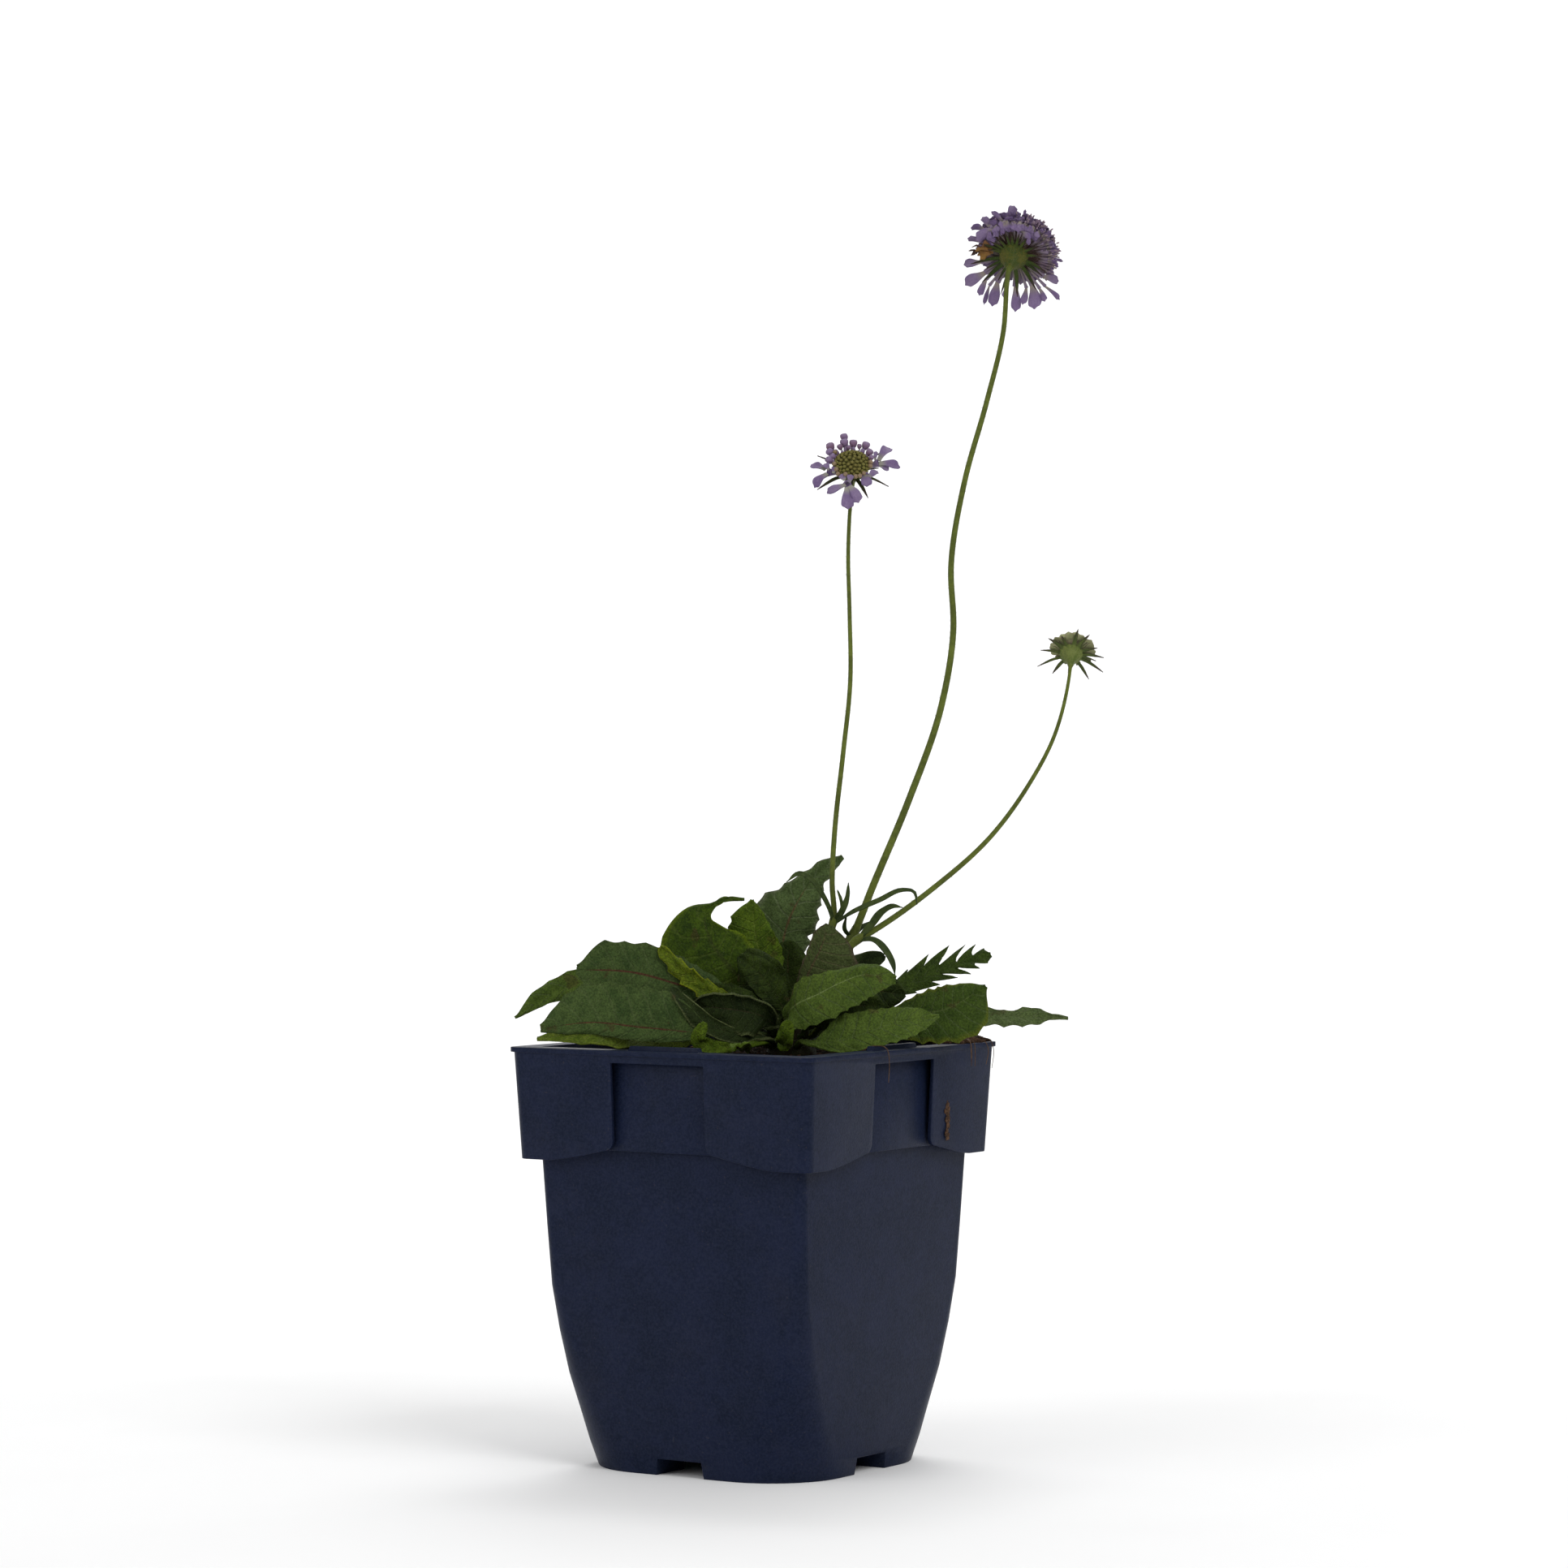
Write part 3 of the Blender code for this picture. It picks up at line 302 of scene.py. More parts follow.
def prism(name, outline, near, far, turn=0.0):
    """An outline in x and z, drawn out along y from near to far and turned about the axis."""
    spin = Matrix.Rotation(turn, 3, "Z")
    ends = [[spin @ Vector((x, y, z)) for x, z in outline] for y in (near, far)]
    return stacked(name, ends)


def post(name, centre, radius, low, high, sides=40):
    """An upright cylinder between two heights."""
    bpy.ops.mesh.primitive_cylinder_add(
        vertices=sides, radius=radius, depth=high - low, location=(centre[0], centre[1], (low + high) / 2)
    )
    thing = bpy.context.object
    thing.name = name
    bpy.ops.object.transform_apply(location=True)
    return thing


def turned(name, profile, sides):
    """A turned solid from its profile of radius and height, listed from the top down."""
    rings = []
    for radius, height in profile[1:-1]:
        angles = [math.tau * side / sides for side in range(sides)]
        rings.append([Vector((radius * math.cos(a), radius * math.sin(a), height)) for a in angles])
    return stacked(name, rings)


def combine(base, others, operation):
    """One Boolean of a whole group on the base, after which the group is gone."""
    group = bpy.data.collections.new("group")
    bpy.context.scene.collection.children.link(group)
    for other in others:
        for home in list(other.users_collection):
            home.objects.unlink(other)
        group.objects.link(other)
    modify(base, "BOOLEAN", operation=operation, operand_type="COLLECTION", collection=group, solver="EXACT")
    for other in others:
        bpy.data.objects.remove(other)
    bpy.data.collections.remove(group)


# Node trees

GRAIN_NAVY = (0.019, 0.025, 0.05)
SPECK_BROWN = (0.05, 0.03, 0.012)
GRAIN_GREEN = (0.006, 0.01, 0.002)


def feed(tree, socket, value):
    """Link another socket's value to an input, or set the input; a colour is made opaque."""
    if isinstance(value, bpy.types.NodeSocket):
        tree.links.new(value, socket)
    elif socket.type == "RGBA":
        socket.default_value = (*value[:3], 1.0)
    else:
        socket.default_value = value


def add_node(tree, kind, inputs=None, **settings):
    """One shader node with its settings, its inputs linked or set."""
    made = tree.nodes.new("ShaderNode" + kind)
    for name, value in settings.items():
        setattr(made, name, value)
    for name, value in (inputs or {}).items():
        feed(tree, made.inputs[name], value)
    return made


def maths(tree, operation, *values):
    """A Math node's result."""
    return add_node(tree, "Math", dict(enumerate(values)), operation=operation).outputs[0]


def times(tree, first, second):
    """The product of two values."""
    return maths(tree, "MULTIPLY", first, second)


def between(tree, value, low, high):
    """Nought below low and one above high."""
    made = add_node(tree, "MapRange", {0: value, 1: low, 2: high}, interpolation_type="SMOOTHSTEP")
    return made.outputs[0]


def blend(tree, share, first, second):
    """Two colours mixed by a share."""
    return add_node(tree, "Mix", {0: share, 6: first, 7: second}, data_type="RGBA").outputs[2]


def layered(tree, colour, *layers):
    """A colour with others laid over it in turn, each by its share."""
    for share, over in layers:
        colour = blend(tree, share, colour, over)
    return colour


def map_places(tree):
    """Places on the piece's own map, across it and along it."""
    spot = add_node(tree, "UVMap", uv_map="UVMap").outputs[0]
    return add_node(tree, "SeparateXYZ", {0: spot}).outputs


def off_middle(tree, across):
    """How far a place across lies from the middle: nought there and one at either edge."""
    return maths(tree, "ABSOLUTE", maths(tree, "MULTIPLY_ADD", across, 2.0, -1.0))


def object_coordinates(tree):
    """Places on the piece in metres."""
    return add_node(tree, "TexCoord").outputs["Object"]


def noise_at(tree, scale, detail=3.0, roughness=0.55, vector=None):
    """Noise of a scale, from nought to one."""
    vector = vector or object_coordinates(tree)
    inputs = {"Vector": vector, "Scale": scale, "Detail": detail, "Roughness": roughness}
    return add_node(tree, "TexNoise", inputs).outputs[0]


def new_group(name, inputs, outputs):
    """An empty node group with its sockets, and its two end nodes."""
    tree = bpy.data.node_groups.new(name, "ShaderNodeTree")
    kinds = {"float": "NodeSocketFloat", "colour": "NodeSocketColor", "vector": "NodeSocketVector"}
    for label, kind in inputs:
        tree.interface.new_socket(name=label, in_out="INPUT", socket_type=kinds[kind])
    for label, kind in outputs:
        tree.interface.new_socket(name=label, in_out="OUTPUT", socket_type=kinds[kind])
    return tree, tree.nodes.new("NodeGroupInput").outputs, tree.nodes.new("NodeGroupOutput").inputs


def mottle_group():
    """Two colours mixed in soft patches, with finer speckles over them."""
    inputs = (("First", "colour"), ("Second", "colour"), ("Scale", "float"))
    tree, given, out = new_group("mottle", inputs, (("Color", "colour"), ("Mask", "float")))
    broad = noise_at(tree, given["Scale"])
    fine = noise_at(tree, times(tree, given["Scale"], 7.0), 2.0)
    mixed = maths(tree, "ADD", times(tree, broad, 0.62), times(tree, fine, 0.38))
    mask = between(tree, mixed, 0.36, 0.64)
    tree.links.new(blend(tree, mask, given["First"], given["Second"]), out["Color"])
    tree.links.new(mask, out["Mask"])


def dust_group():
    """Pale specks and smears of dry soil."""
    inputs = (("Color", "colour"), ("Dust", "colour"), ("Amount", "float"))
    tree, given, out = new_group("dust", inputs, (("Color", "colour"), ("Mask", "float")))
    smear = between(tree, noise_at(tree, 38.0, 5.0, 0.7), 0.5, 0.85)
    speck = between(tree, noise_at(tree, 900.0, 1.0), 0.7, 0.78)
    both = maths(tree, "MAXIMUM", times(tree, smear, 0.45), speck)
    mask = times(tree, both, given["Amount"])
    tree.links.new(blend(tree, mask, given["Color"], given["Dust"]), out["Color"])
    tree.links.new(mask, out["Mask"])


def vein_group():
    """The midrib, the side veins, the net and the margin of a leaf, read from its own map."""
    tree, given, out = new_group(
        "veins",
        (("Teeth", "float"), ("Lean", "float")),
        (("Rib", "float"), ("Veins", "float"), ("Net", "float"), ("Edge", "float")),
    )
    parts = map_places(tree)
    aside = off_middle(tree, parts[0])
    lean = times(tree, given["Lean"], maths(tree, "SUBTRACT", 1.0, aside))
    phase = maths(tree, "MULTIPLY_ADD", parts[1], given["Teeth"], maths(tree, "ADD", lean, 0.5))
    wander = times(tree, noise_at(tree, 160.0, 2.0), 0.35)
    turn = maths(tree, "FRACT", maths(tree, "ADD", phase, wander))
    away = maths(tree, "ABSOLUTE", maths(tree, "SUBTRACT", turn, 0.5))
    side_vein = between(tree, away, 0.1, 0.015)
    on_blade = between(tree, parts[1], 0.0, 0.06)
    wide = maths(tree, "SUBTRACT", 0.1, times(tree, parts[1], 0.055))
    inputs = {"Vector": object_coordinates(tree), "Scale": 900.0}
    cells = add_node(tree, "TexVoronoi", inputs, feature="DISTANCE_TO_EDGE").outputs["Distance"]
    tree.links.new(between(tree, aside, wide, times(tree, wide, 0.3)), out["Rib"])
    tree.links.new(times(tree, side_vein, on_blade), out["Veins"])
    tree.links.new(between(tree, cells, 0.14, 0.0), out["Net"])
    tree.links.new(between(tree, aside, 0.8, 1.0), out["Edge"])


def placed_group(tree, group, inputs):
    """A group placed in a material with its own values."""
    made = tree.nodes.new("ShaderNodeGroup")
    made.node_tree = bpy.data.node_groups[group]
    for name, value in inputs.items():
        feed(tree, made.inputs[name], value)
    return made.outputs


def new_finish(name, roughness, specular=0.5, **sockets):
    """A new material's tree and its shader."""
    finish = bpy.data.materials.new(name)
    finish.use_nodes = True
    shader = finish.node_tree.nodes["Principled BSDF"]
    shader.inputs["Roughness"].default_value = roughness
    shader.inputs["Specular IOR Level"].default_value = specular
    for label, value in sockets.items():
        shader.inputs[label.replace("_", " ")].default_value = value
    return finish.node_tree, shader


def bump(tree, shader, height, distance, strength=1.0):
    """Relief of a height in millimetres on a shader."""
    inputs = {"Height": height, "Distance": distance * MM, "Strength": strength}
    tree.links.new(add_node(tree, "Bump", inputs).outputs[0], shader.inputs["Normal"])


def plastic_finish(settings):
    """Dark navy moulded plastic with a fine grain and a little dry soil on it."""
    tree, shader = new_finish("navy_plastic", 0.42, settings.plastic_gloss)
    inputs = {"First": settings.plastic_deep, "Second": settings.plastic_light, "Scale": 60.0}
    mottled = placed_group(tree, "mottle", inputs)
    inputs = {"Color": mottled["Color"], "Dust": settings.dust_colour, "Amount": 0.28}
    dusty = placed_group(tree, "dust", inputs)
    grains = between(tree, noise_at(tree, 1300.0, 1.0), 0.3, 0.7)
    worn = blend(tree, times(tree, grains, 0.35), dusty["Color"], GRAIN_NAVY)
    tree.links.new(worn, shader.inputs["Base Color"])
    rough = maths(tree, "MULTIPLY_ADD", dusty["Mask"], 0.4, 0.4)
    tree.links.new(rough, shader.inputs["Roughness"])
    grain = maths(tree, "ADD", noise_at(tree, 1800.0, 2.0), times(tree, noise_at(tree, 240.0), 0.8))
    bump(tree, shader, grain, 0.08, 0.7)


def soil_finish(name, first, second, scale=500.0):
    """Crumbly compost in two mixed colours."""
    tree, shader = new_finish(name, 0.95, 0.15)
    mottled = placed_group(tree, "mottle", {"First": first, "Second": second, "Scale": scale})
    tree.links.new(mottled["Color"], shader.inputs["Base Color"])
    bump(tree, shader, noise_at(tree, 1400.0, 4.0), 0.5)


def leaf_finish(name, deep, light, vein, rib, edge, edge_share=0.25, rib_share=0.6):
    """A dull leaf, mottled coarse and fine, with paler veins, brown specks and dark grains."""
    tree, shader = new_finish(name, 0.65, 0.06)
    veins = placed_group(tree, "veins", {"Teeth": VEIN_PAIRS, "Lean": VEIN_LEAN})
    mottled = placed_group(tree, "mottle", {"First": deep, "Second": light, "Scale": 240.0})
    broad = between(tree, noise_at(tree, 75.0), 0.36, 0.66)
    shade = between(tree, noise_at(tree, 42.0, 4.0), 0.5, 0.68)
    speck = between(tree, noise_at(tree, 130.0, 4.0), 0.64, 0.7)
    grain = between(tree, noise_at(tree, 1700.0, 1.0), 0.3, 0.7)
    colour = layered(
        tree,
        mottled["Color"],
        (times(tree, broad, 0.45), light),
        (times(tree, veins["Net"], 0.12), vein),
        (times(tree, shade, 0.25), deep),
        (times(tree, veins["Veins"], 0.5), vein),
        (times(tree, veins["Edge"], edge_share), edge),
        (times(tree, veins["Rib"], rib_share), rib),
        (times(tree, speck, 0.5), SPECK_BROWN),
        (maths(tree, "MULTIPLY_ADD", grain, -0.42, 0.42), GRAIN_GREEN),
    )
    tree.links.new(colour, shader.inputs["Base Color"])
    rough = maths(tree, "MULTIPLY_ADD", mottled["Mask"], 0.12, 0.58)
    tree.links.new(rough, shader.inputs["Roughness"])
    sunk = maths(tree, "MULTIPLY_ADD", veins["Veins"], 0.5, times(tree, veins["Net"], 0.12))
    raised = maths(tree, "ADD", noise_at(tree, 1700.0, 2.0), times(tree, noise_at(tree, 260.0), 1.6))
    bump(tree, shader, maths(tree, "SUBTRACT", raised, sunk), 0.34)


def stem_finish(name, first, second):
    """A stem in two mixed colours with a fine grain."""
    tree, shader = new_finish(name, 0.55, 0.15, Sheen_Weight=0.03)
    mottled = placed_group(tree, "mottle", {"First": first, "Second": second, "Scale": 120.0})
    tree.links.new(mottled["Color"], shader.inputs["Base Color"])
    bump(tree, shader, noise_at(tree, 1600.0, 2.0), 0.12)


# Rings, routes and widths that the pieces share

def square_ring(half, radius, height):
    """One level ring of a square with round corners."""
    points = []
    for corner in range(4):
        turn = math.radians(90.0 * corner)
        centre = Matrix.Rotation(turn, 3, "Z") @ Vector((half - radius, half - radius, height))
        for step in range(CORNER_STEPS + 1):
            angle = turn + math.radians(90.0 * step / CORNER_STEPS)
            points.append(centre + radius * Vector((math.cos(angle), math.sin(angle), 0.0)))
    return points


def fine_levels(lowest=0.0):
    """The wall's levels with smooth steps between them."""
    levels = []
    for lower, upper in zip(WALL_LEVELS, WALL_LEVELS[1:]):
        for step in range(LEVEL_STEPS):
            share = step / LEVEL_STEPS
            levels.append(tuple(a + (b - a) * share for a, b in zip(lower, upper)))
    levels.append(WALL_LEVELS[-1])
    return [level for level in levels if level[2] >= lowest]


def ease(value, low, high):
    """Nought below low, one above high, and a smooth rise between."""
    t = min(max((value - low) / (high - low), 0.0), 1.0)
    return t * t * (3.0 - 2.0 * t)


def smooth_route(points, shares):
    """Places and directions at shares of the length of a smooth curve through points."""
    points = [Vector(point) for point in points]
    runs = [after - before for before, after in zip(points, points[1:])]
    slopes = [runs[0].normalized()]
    for back, ahead in zip(runs, runs[1:]):
        slopes.append((back.normalized() * ahead.length + ahead.normalized() * back.length).normalized())
    slopes.append(runs[-1].normalized())
    dense = []
    for start, run, leave, arrive in zip(points, runs, slopes, slopes[1:]):
        for step in range(ROUTE_STEPS):
            t = step / ROUTE_STEPS
            swell = (t - 2 * t * t + t * t * t) * run.length
            settle = (t * t * t - t * t) * run.length
            dense.append(start + run * (3 * t * t - 2 * t * t * t) + leave * swell + arrive * settle)
    dense.append(points[-1])
    lengths = [0.0]
    for start, stop in zip(dense, dense[1:]):
        lengths.append(lengths[-1] + (stop - start).length)
    places = []
    index = 0
    for share in shares:
        target = share * lengths[-1]
        while index < len(dense) - 2 and lengths[index + 1] < target:
            index += 1
        span = lengths[index + 1] - lengths[index]
        t = (target - lengths[index]) / span
        before = dense[max(index - 1, 0)]
        after = dense[min(index + 2, len(dense) - 1)]
        places.append((dense[index].lerp(dense[index + 1], t), (after - before).normalized()))
    return places


def crown_radius(height):
    """Radius of the crown's cone at a height."""
    return CROWN_RADIUS - CROWN_TAPER * (height - CROWN_SHOULDER)


def crown_seat(whorl, azimuth):
    """Where a leaf or stalk leaves the crown, and the way out from there."""
    angle = math.radians(azimuth)
    lean = math.atan(CROWN_TAPER)
    out = Vector((math.cos(angle) * math.cos(lean), math.sin(angle) * math.cos(lean), math.sin(lean)))
    height = WHORLS[whorl]
    ring = crown_radius(height)
    surface = CROWN + Vector((ring * math.cos(angle), ring * math.sin(angle), height))
    return surface + CLEARANCE * out, out


def blade_width(t, peak):
    """Share of the full width at a share of the blade's length."""
    t = min(max(t, 0.0), 1.0)
    rise = (t / peak) ** (1.7 * peak)
    fall = ((1.0 - t) / (1.0 - peak)) ** (1.7 * (1.0 - peak))
    return rise * fall


# Pot

def skirt_window():
    """The opening between two skirts, with the rising lower edge of the skirts beside it."""
    right = [(RECESS_HALF, RIM_TOP - BAND_TALL)]
    edge_height = SKIRT_FOOT + SKIRT_RISE
    for step in range(SKIRT_END_STEPS + 1):
        angle = math.radians(180.0 + 90.0 * step / SKIRT_END_STEPS)
        across = RECESS_HALF + SKIRT_END_RADIUS * (1.0 + math.cos(angle))
        right.append((across, edge_height + SKIRT_END_RADIUS * (1.0 + math.sin(angle))))
    for step in range(1, SKIRT_DROP_STEPS + 1):
        fall = step / SKIRT_DROP_STEPS
        reach = RECESS_HALF + SKIRT_END_RADIUS + (SKIRT_DROP_END - RECESS_HALF - SKIRT_END_RADIUS) * fall
        right.append((reach, edge_height - SKIRT_DROP * math.sin(fall * math.pi / 2)))
    right.append((LIP_HALF + CUT_PAST, SKIRT_FOOT - SKIRT_CORNER_DROP))
    right.append((LIP_HALF + CUT_PAST, SKIRT_FOOT - 2.0 * CUT_PAST))
    return right + [(-x, z) for x, z in reversed(right)]


def pot_body():
    """The pot's wall, floor, rim, lip and skirts in one stacked skin."""
    flange = RIM_TOP - LIP_TALL
    top_half, top_radius, _ = WALL_LEVELS[-1]
    foot_half, foot_radius, _ = WALL_LEVELS[1]
    levels = [
        *fine_levels(),
        (SKIRT_TOP_HALF - SKIRT_WALL, SKIRT_RADIUS - SKIRT_WALL, flange),
        (SKIRT_FOOT_HALF - SKIRT_WALL, SKIRT_RADIUS - SKIRT_WALL, SKIRT_FOOT),
        (SKIRT_FOOT_HALF, SKIRT_RADIUS, SKIRT_FOOT),
        (SKIRT_TOP_HALF, SKIRT_RADIUS, flange),
        (LIP_HALF, SKIRT_RADIUS, flange),
        (LIP_HALF, SKIRT_RADIUS, RIM_TOP),
        (top_half - WALL, top_radius - WALL, RIM_TOP),
    ]
    for half, radius, height in reversed(fine_levels(FLOOR_TOP + 1.0)):
        levels.append((half - WALL, max(radius - WALL, INNER_RADIUS), height))
    levels.append((foot_half - WALL - FLOOR_EASE, foot_radius - WALL, FLOOR_TOP))
    return stacked("pot_body", [square_ring(*level) for level in levels])


def make_pot(finish):
    """The pot: cut by windows, channels and drain holes, given its boss, strips and panels, and rounded."""
    quarters = [math.radians(90.0 * side) for side in range(4)]
    pot = pot_body()
    window = skirt_window()
    notch = (
        (-CHANNEL_FOOT_HALF, -CUT_PAST),
        (CHANNEL_FOOT_HALF, -CUT_PAST),
        (CHANNEL_HEAD_HALF, CHANNEL_TALL),
        (-CHANNEL_HEAD_HALF, CHANNEL_TALL),
    )
    cutters = []
    for turn in quarters:
        cutters.append(prism("window", window, -LIP_HALF - CUT_PAST, -RECESS_FACE, turn))
        hole = (DRAIN_REACH * math.cos(turn), DRAIN_REACH * math.sin(turn))
        cutters.append(post("drain", hole, DRAIN_RADIUS, DRAIN_START, FLOOR_TOP + CUT_PAST))
    for turn in quarters[:2]:
        cutters.append(prism("channel", notch, -LIP_HALF, LIP_HALF, turn))
    cutters.append(post("recess", (0.0, 0.0), BASE_RECESS_RADIUS, -CUT_PAST, CHANNEL_TALL, 64))
    combine(pot, cutters, "DIFFERENCE")
    added = [post("boss", (0.0, 0.0), BOSS_RADIUS, 0.0, CHANNEL_TALL + BOSS_ROOT)]
    strip = (
        (-STRIP_HALF, RIM_TOP - STRIP_ROOT),
        (STRIP_HALF, RIM_TOP - STRIP_ROOT),
        (STRIP_HALF - STRIP_BEVEL, RIM_TOP + STRIP_TALL),
        (-STRIP_HALF + STRIP_BEVEL, RIM_TOP + STRIP_TALL),
    )
    foot = SKIRT_FOOT + SKIRT_RISE
    head = RIM_TOP - PANEL_DROP
    panel = ((-PANEL_HALF, foot), (PANEL_HALF, foot), (PANEL_HALF, head), (-PANEL_HALF, head))
    for turn in quarters:
        added.append(prism("strip", strip, *STRIP_FACES, turn))
        added.append(prism("panel", panel, -PANEL_FACE, -PANEL_FACE + PANEL_THICK, turn))
    combine(pot, added, "UNION")
    modify(
        pot, "BEVEL", width=EDGE_ROUND, segments=2, limit_method="ANGLE", angle_limit=math.radians(EDGE_ANGLE)
    )
    return finish_piece(pot, "nursery_pot", "pot_plastic", finish, ["pot"], POT_TO_ROW, 35.0)


# Soil

def soil_height(x, y):
    """Height of the soil's lumpy top."""
    half = WALL_LEVELS[-1][0] - WALL
    share = min(max(abs(x), abs(y)) / half, 1.0)
    spot = Vector((x, y, 0.0))
    lumps = sum(tall * noise.noise(spot / wide) for tall, wide in LUMPS)
    return SOIL_EDGE + SOIL_MOUND * (1.0 - share * share) + lumps * (1.0 - 0.6 * share ** 6)


def square_place(u, v, half, radius):
    """A place of the unit square, moved into a square with round corners."""
    x = u * half
    y = v * half
    flat = half - radius
    if abs(x) > flat and abs(y) > flat:
        corner = Vector((math.copysign(flat, x), math.copysign(flat, y)))
        away = Vector((x, y)) - corner
        longest = max(abs(away.x), abs(away.y))
        away = away.normalized() * longest if away.length else away
        x, y = corner + away
    return x, y


def crumb_move(matrix, index):
    """How a crumb is laid, with a broken surface of its own."""
    drift = Vector((index * 3.1, 0.0, 0.0))

    def move(point):
        return matrix @ (point * (1.0 + 0.35 * noise.noise(point * 1.7 + drift)))

    return move


def soil_body():
    """The soil's lumpy grid, its edge extruded down inside the pot and closed underneath."""
    inset = WALL + CLEARANCE
    top_half, top_radius, _ = WALL_LEVELS[-1]
    steps = [step / SOIL_CELLS for step in range(SOIL_CELLS + 1)]
    rows = []
    for along in steps:
        line = []
        for across in steps:
            u, v = 2.0 * across - 1.0, 2.0 * along - 1.0
            x, y = square_place(u, v, top_half - inset, top_radius - inset)
            line.append((x, y, soil_height(x, y)))
        rows.append(line)
    soil = add_grid("soil_top", rows, [[(across, along) for across in steps] for along in steps])
    activate(soil)
    bpy.ops.object.mode_set(mode="EDIT")
    bpy.ops.mesh.select_all(action="SELECT")
    bpy.ops.mesh.region_to_loop()
    for half, radius, height in reversed(WALL_LEVELS[1:-1]):
        bpy.ops.mesh.extrude_region()
        skin = bmesh.from_edit_mesh(soil.data)
        half -= inset
        for vert in [vert for vert in skin.verts if vert.select]:
            reach = max(abs(vert.co.x), abs(vert.co.y))
            x, y = square_place(vert.co.x / reach, vert.co.y / reach, half, max(radius - inset, INNER_RADIUS))
            vert.co = (x, y, max(height, FLOOR_TOP + CLEARANCE))
        bmesh.update_edit_mesh(soil.data)
    bpy.ops.mesh.edge_face_add()
    bpy.ops.mesh.select_all(action="SELECT")
    bpy.ops.mesh.normals_make_consistent(inside=False)
    bpy.ops.object.mode_set(mode="OBJECT")
    put_in_order(soil)
    return soil


def hump(value, low, high):
    """A round hump: nought at low and at high, one halfway."""
    return math.sin(math.pi * (value - low) / (high - low))


def crumb_moves():
    """How the crumbs lie: loose on the soil, heaped at the right corner and dried on the skirt."""
    draw = random.Random(7)
    moves = []
    for index in range(CRUMBS):
        x = draw.uniform(-CRUMB_REACH, CRUMB_REACH)
        y = draw.uniform(-CRUMB_REACH, CRUMB_REACH)
        size = 0.35 + 1.0 * draw.random() ** 3
        stretch = [size * draw.uniform(low, high) for low, high in ((0.7, 1.5), (0.7, 1.2), (0.5, 0.9))]
        spin = Matrix.Rotation(draw.uniform(0.0, math.tau), 4, "Z")
        spin = spin @ Matrix.Rotation(draw.uniform(-0.6, 0.6), 4, "X")
        place = Matrix.Translation((x, y, soil_height(x, y) + 0.3 * size))
        moves.append(crumb_move(place @ spin @ Matrix.Diagonal((*stretch, 1.0)), index))
    for index in range(HEAP_CRUMBS):
        x = draw.uniform(*HEAP_ACROSS)
        y = draw.uniform(*HEAP_ALONG)
        size = 0.5 + 1.2 * draw.random() ** 2
        heap = HEAP_TALL * draw.random() * hump(x, *HEAP_ACROSS) * hump(y, *HEAP_ALONG)
        place = Matrix.Translation((x, y, RIM_TOP + heap + 0.3 * size))
        stretch = Matrix.Diagonal((size * 1.3, size, size * 0.7, 1.0))
        moves.append(crumb_move(place @ stretch, index + HEAP_SHIFT))
    x, y, z = STREAK_TOP
    for index in range(STREAK_CRUMBS):
        fall = draw.random()
        size = 0.25 + 0.45 * draw.random()
        place = Matrix.Translation((x + 0.05 * fall, y + draw.gauss(0.0, 0.5), z - STREAK_DROP * fall))
        moves.append(crumb_move(place @ Matrix.Diagonal((0.5 * size, size, size * 1.4, 1.0)), index))
    return moves


def make_soil(finish, crumb_finish):
    """The potting soil, and the crumbs on it, on the rim and on a skirt."""
    finish_piece(soil_body(), "potting_soil", "potting_soil", finish, ["soil"], POT_TO_ROW, 60.0)
    bpy.ops.mesh.primitive_ico_sphere_add(subdivisions=1, radius=1.0)
    crumbs = copies(bpy.context.object, crumb_moves())
    finish_piece(crumbs, "soil_crumbs", "potting_soil", crumb_finish, (), POT_TO_ROW, 180.0)


def make_rootlets(finish):
    """Fine dry roots that hang over the right side of the rim, all but one by its corner."""
    draw = random.Random(19)
    shares = [step / ROOTLET_STEPS for step in range(ROOTLET_STEPS + 1)]
    radii = [0.2 - 0.1 * share for share in shares]
    pieces = []
    for index in range(ROOTLETS):
        y = draw.uniform(36.0, 53.0) if index < ROOTLETS - 1 else -11.0
        lean = draw.uniform(-3.0, 3.0)
        drop = draw.uniform(3.0, 9.0)
        route = (
            (43.0, y - lean, RIM_TOP - 1.6),
            (50.0, y, RIM_TOP + draw.uniform(0.5, 1.6)),
            (LIP_HALF + 0.1, y + lean, RIM_TOP + 0.35),
            (LIP_HALF + 0.7, y + 1.3 * lean, RIM_TOP - 2.0),
            (LIP_HALF + 0.4, y + lean, RIM_TOP - 2.0 - drop),
        )
        pieces.append(tube("rootlet", [place for place, _ in smooth_route(route, shares)], radii, 1))
    finish_piece(join(pieces, "rootlets"), "dry_rootlets", "potting_soil", finish, (), POT_TO_ROW)


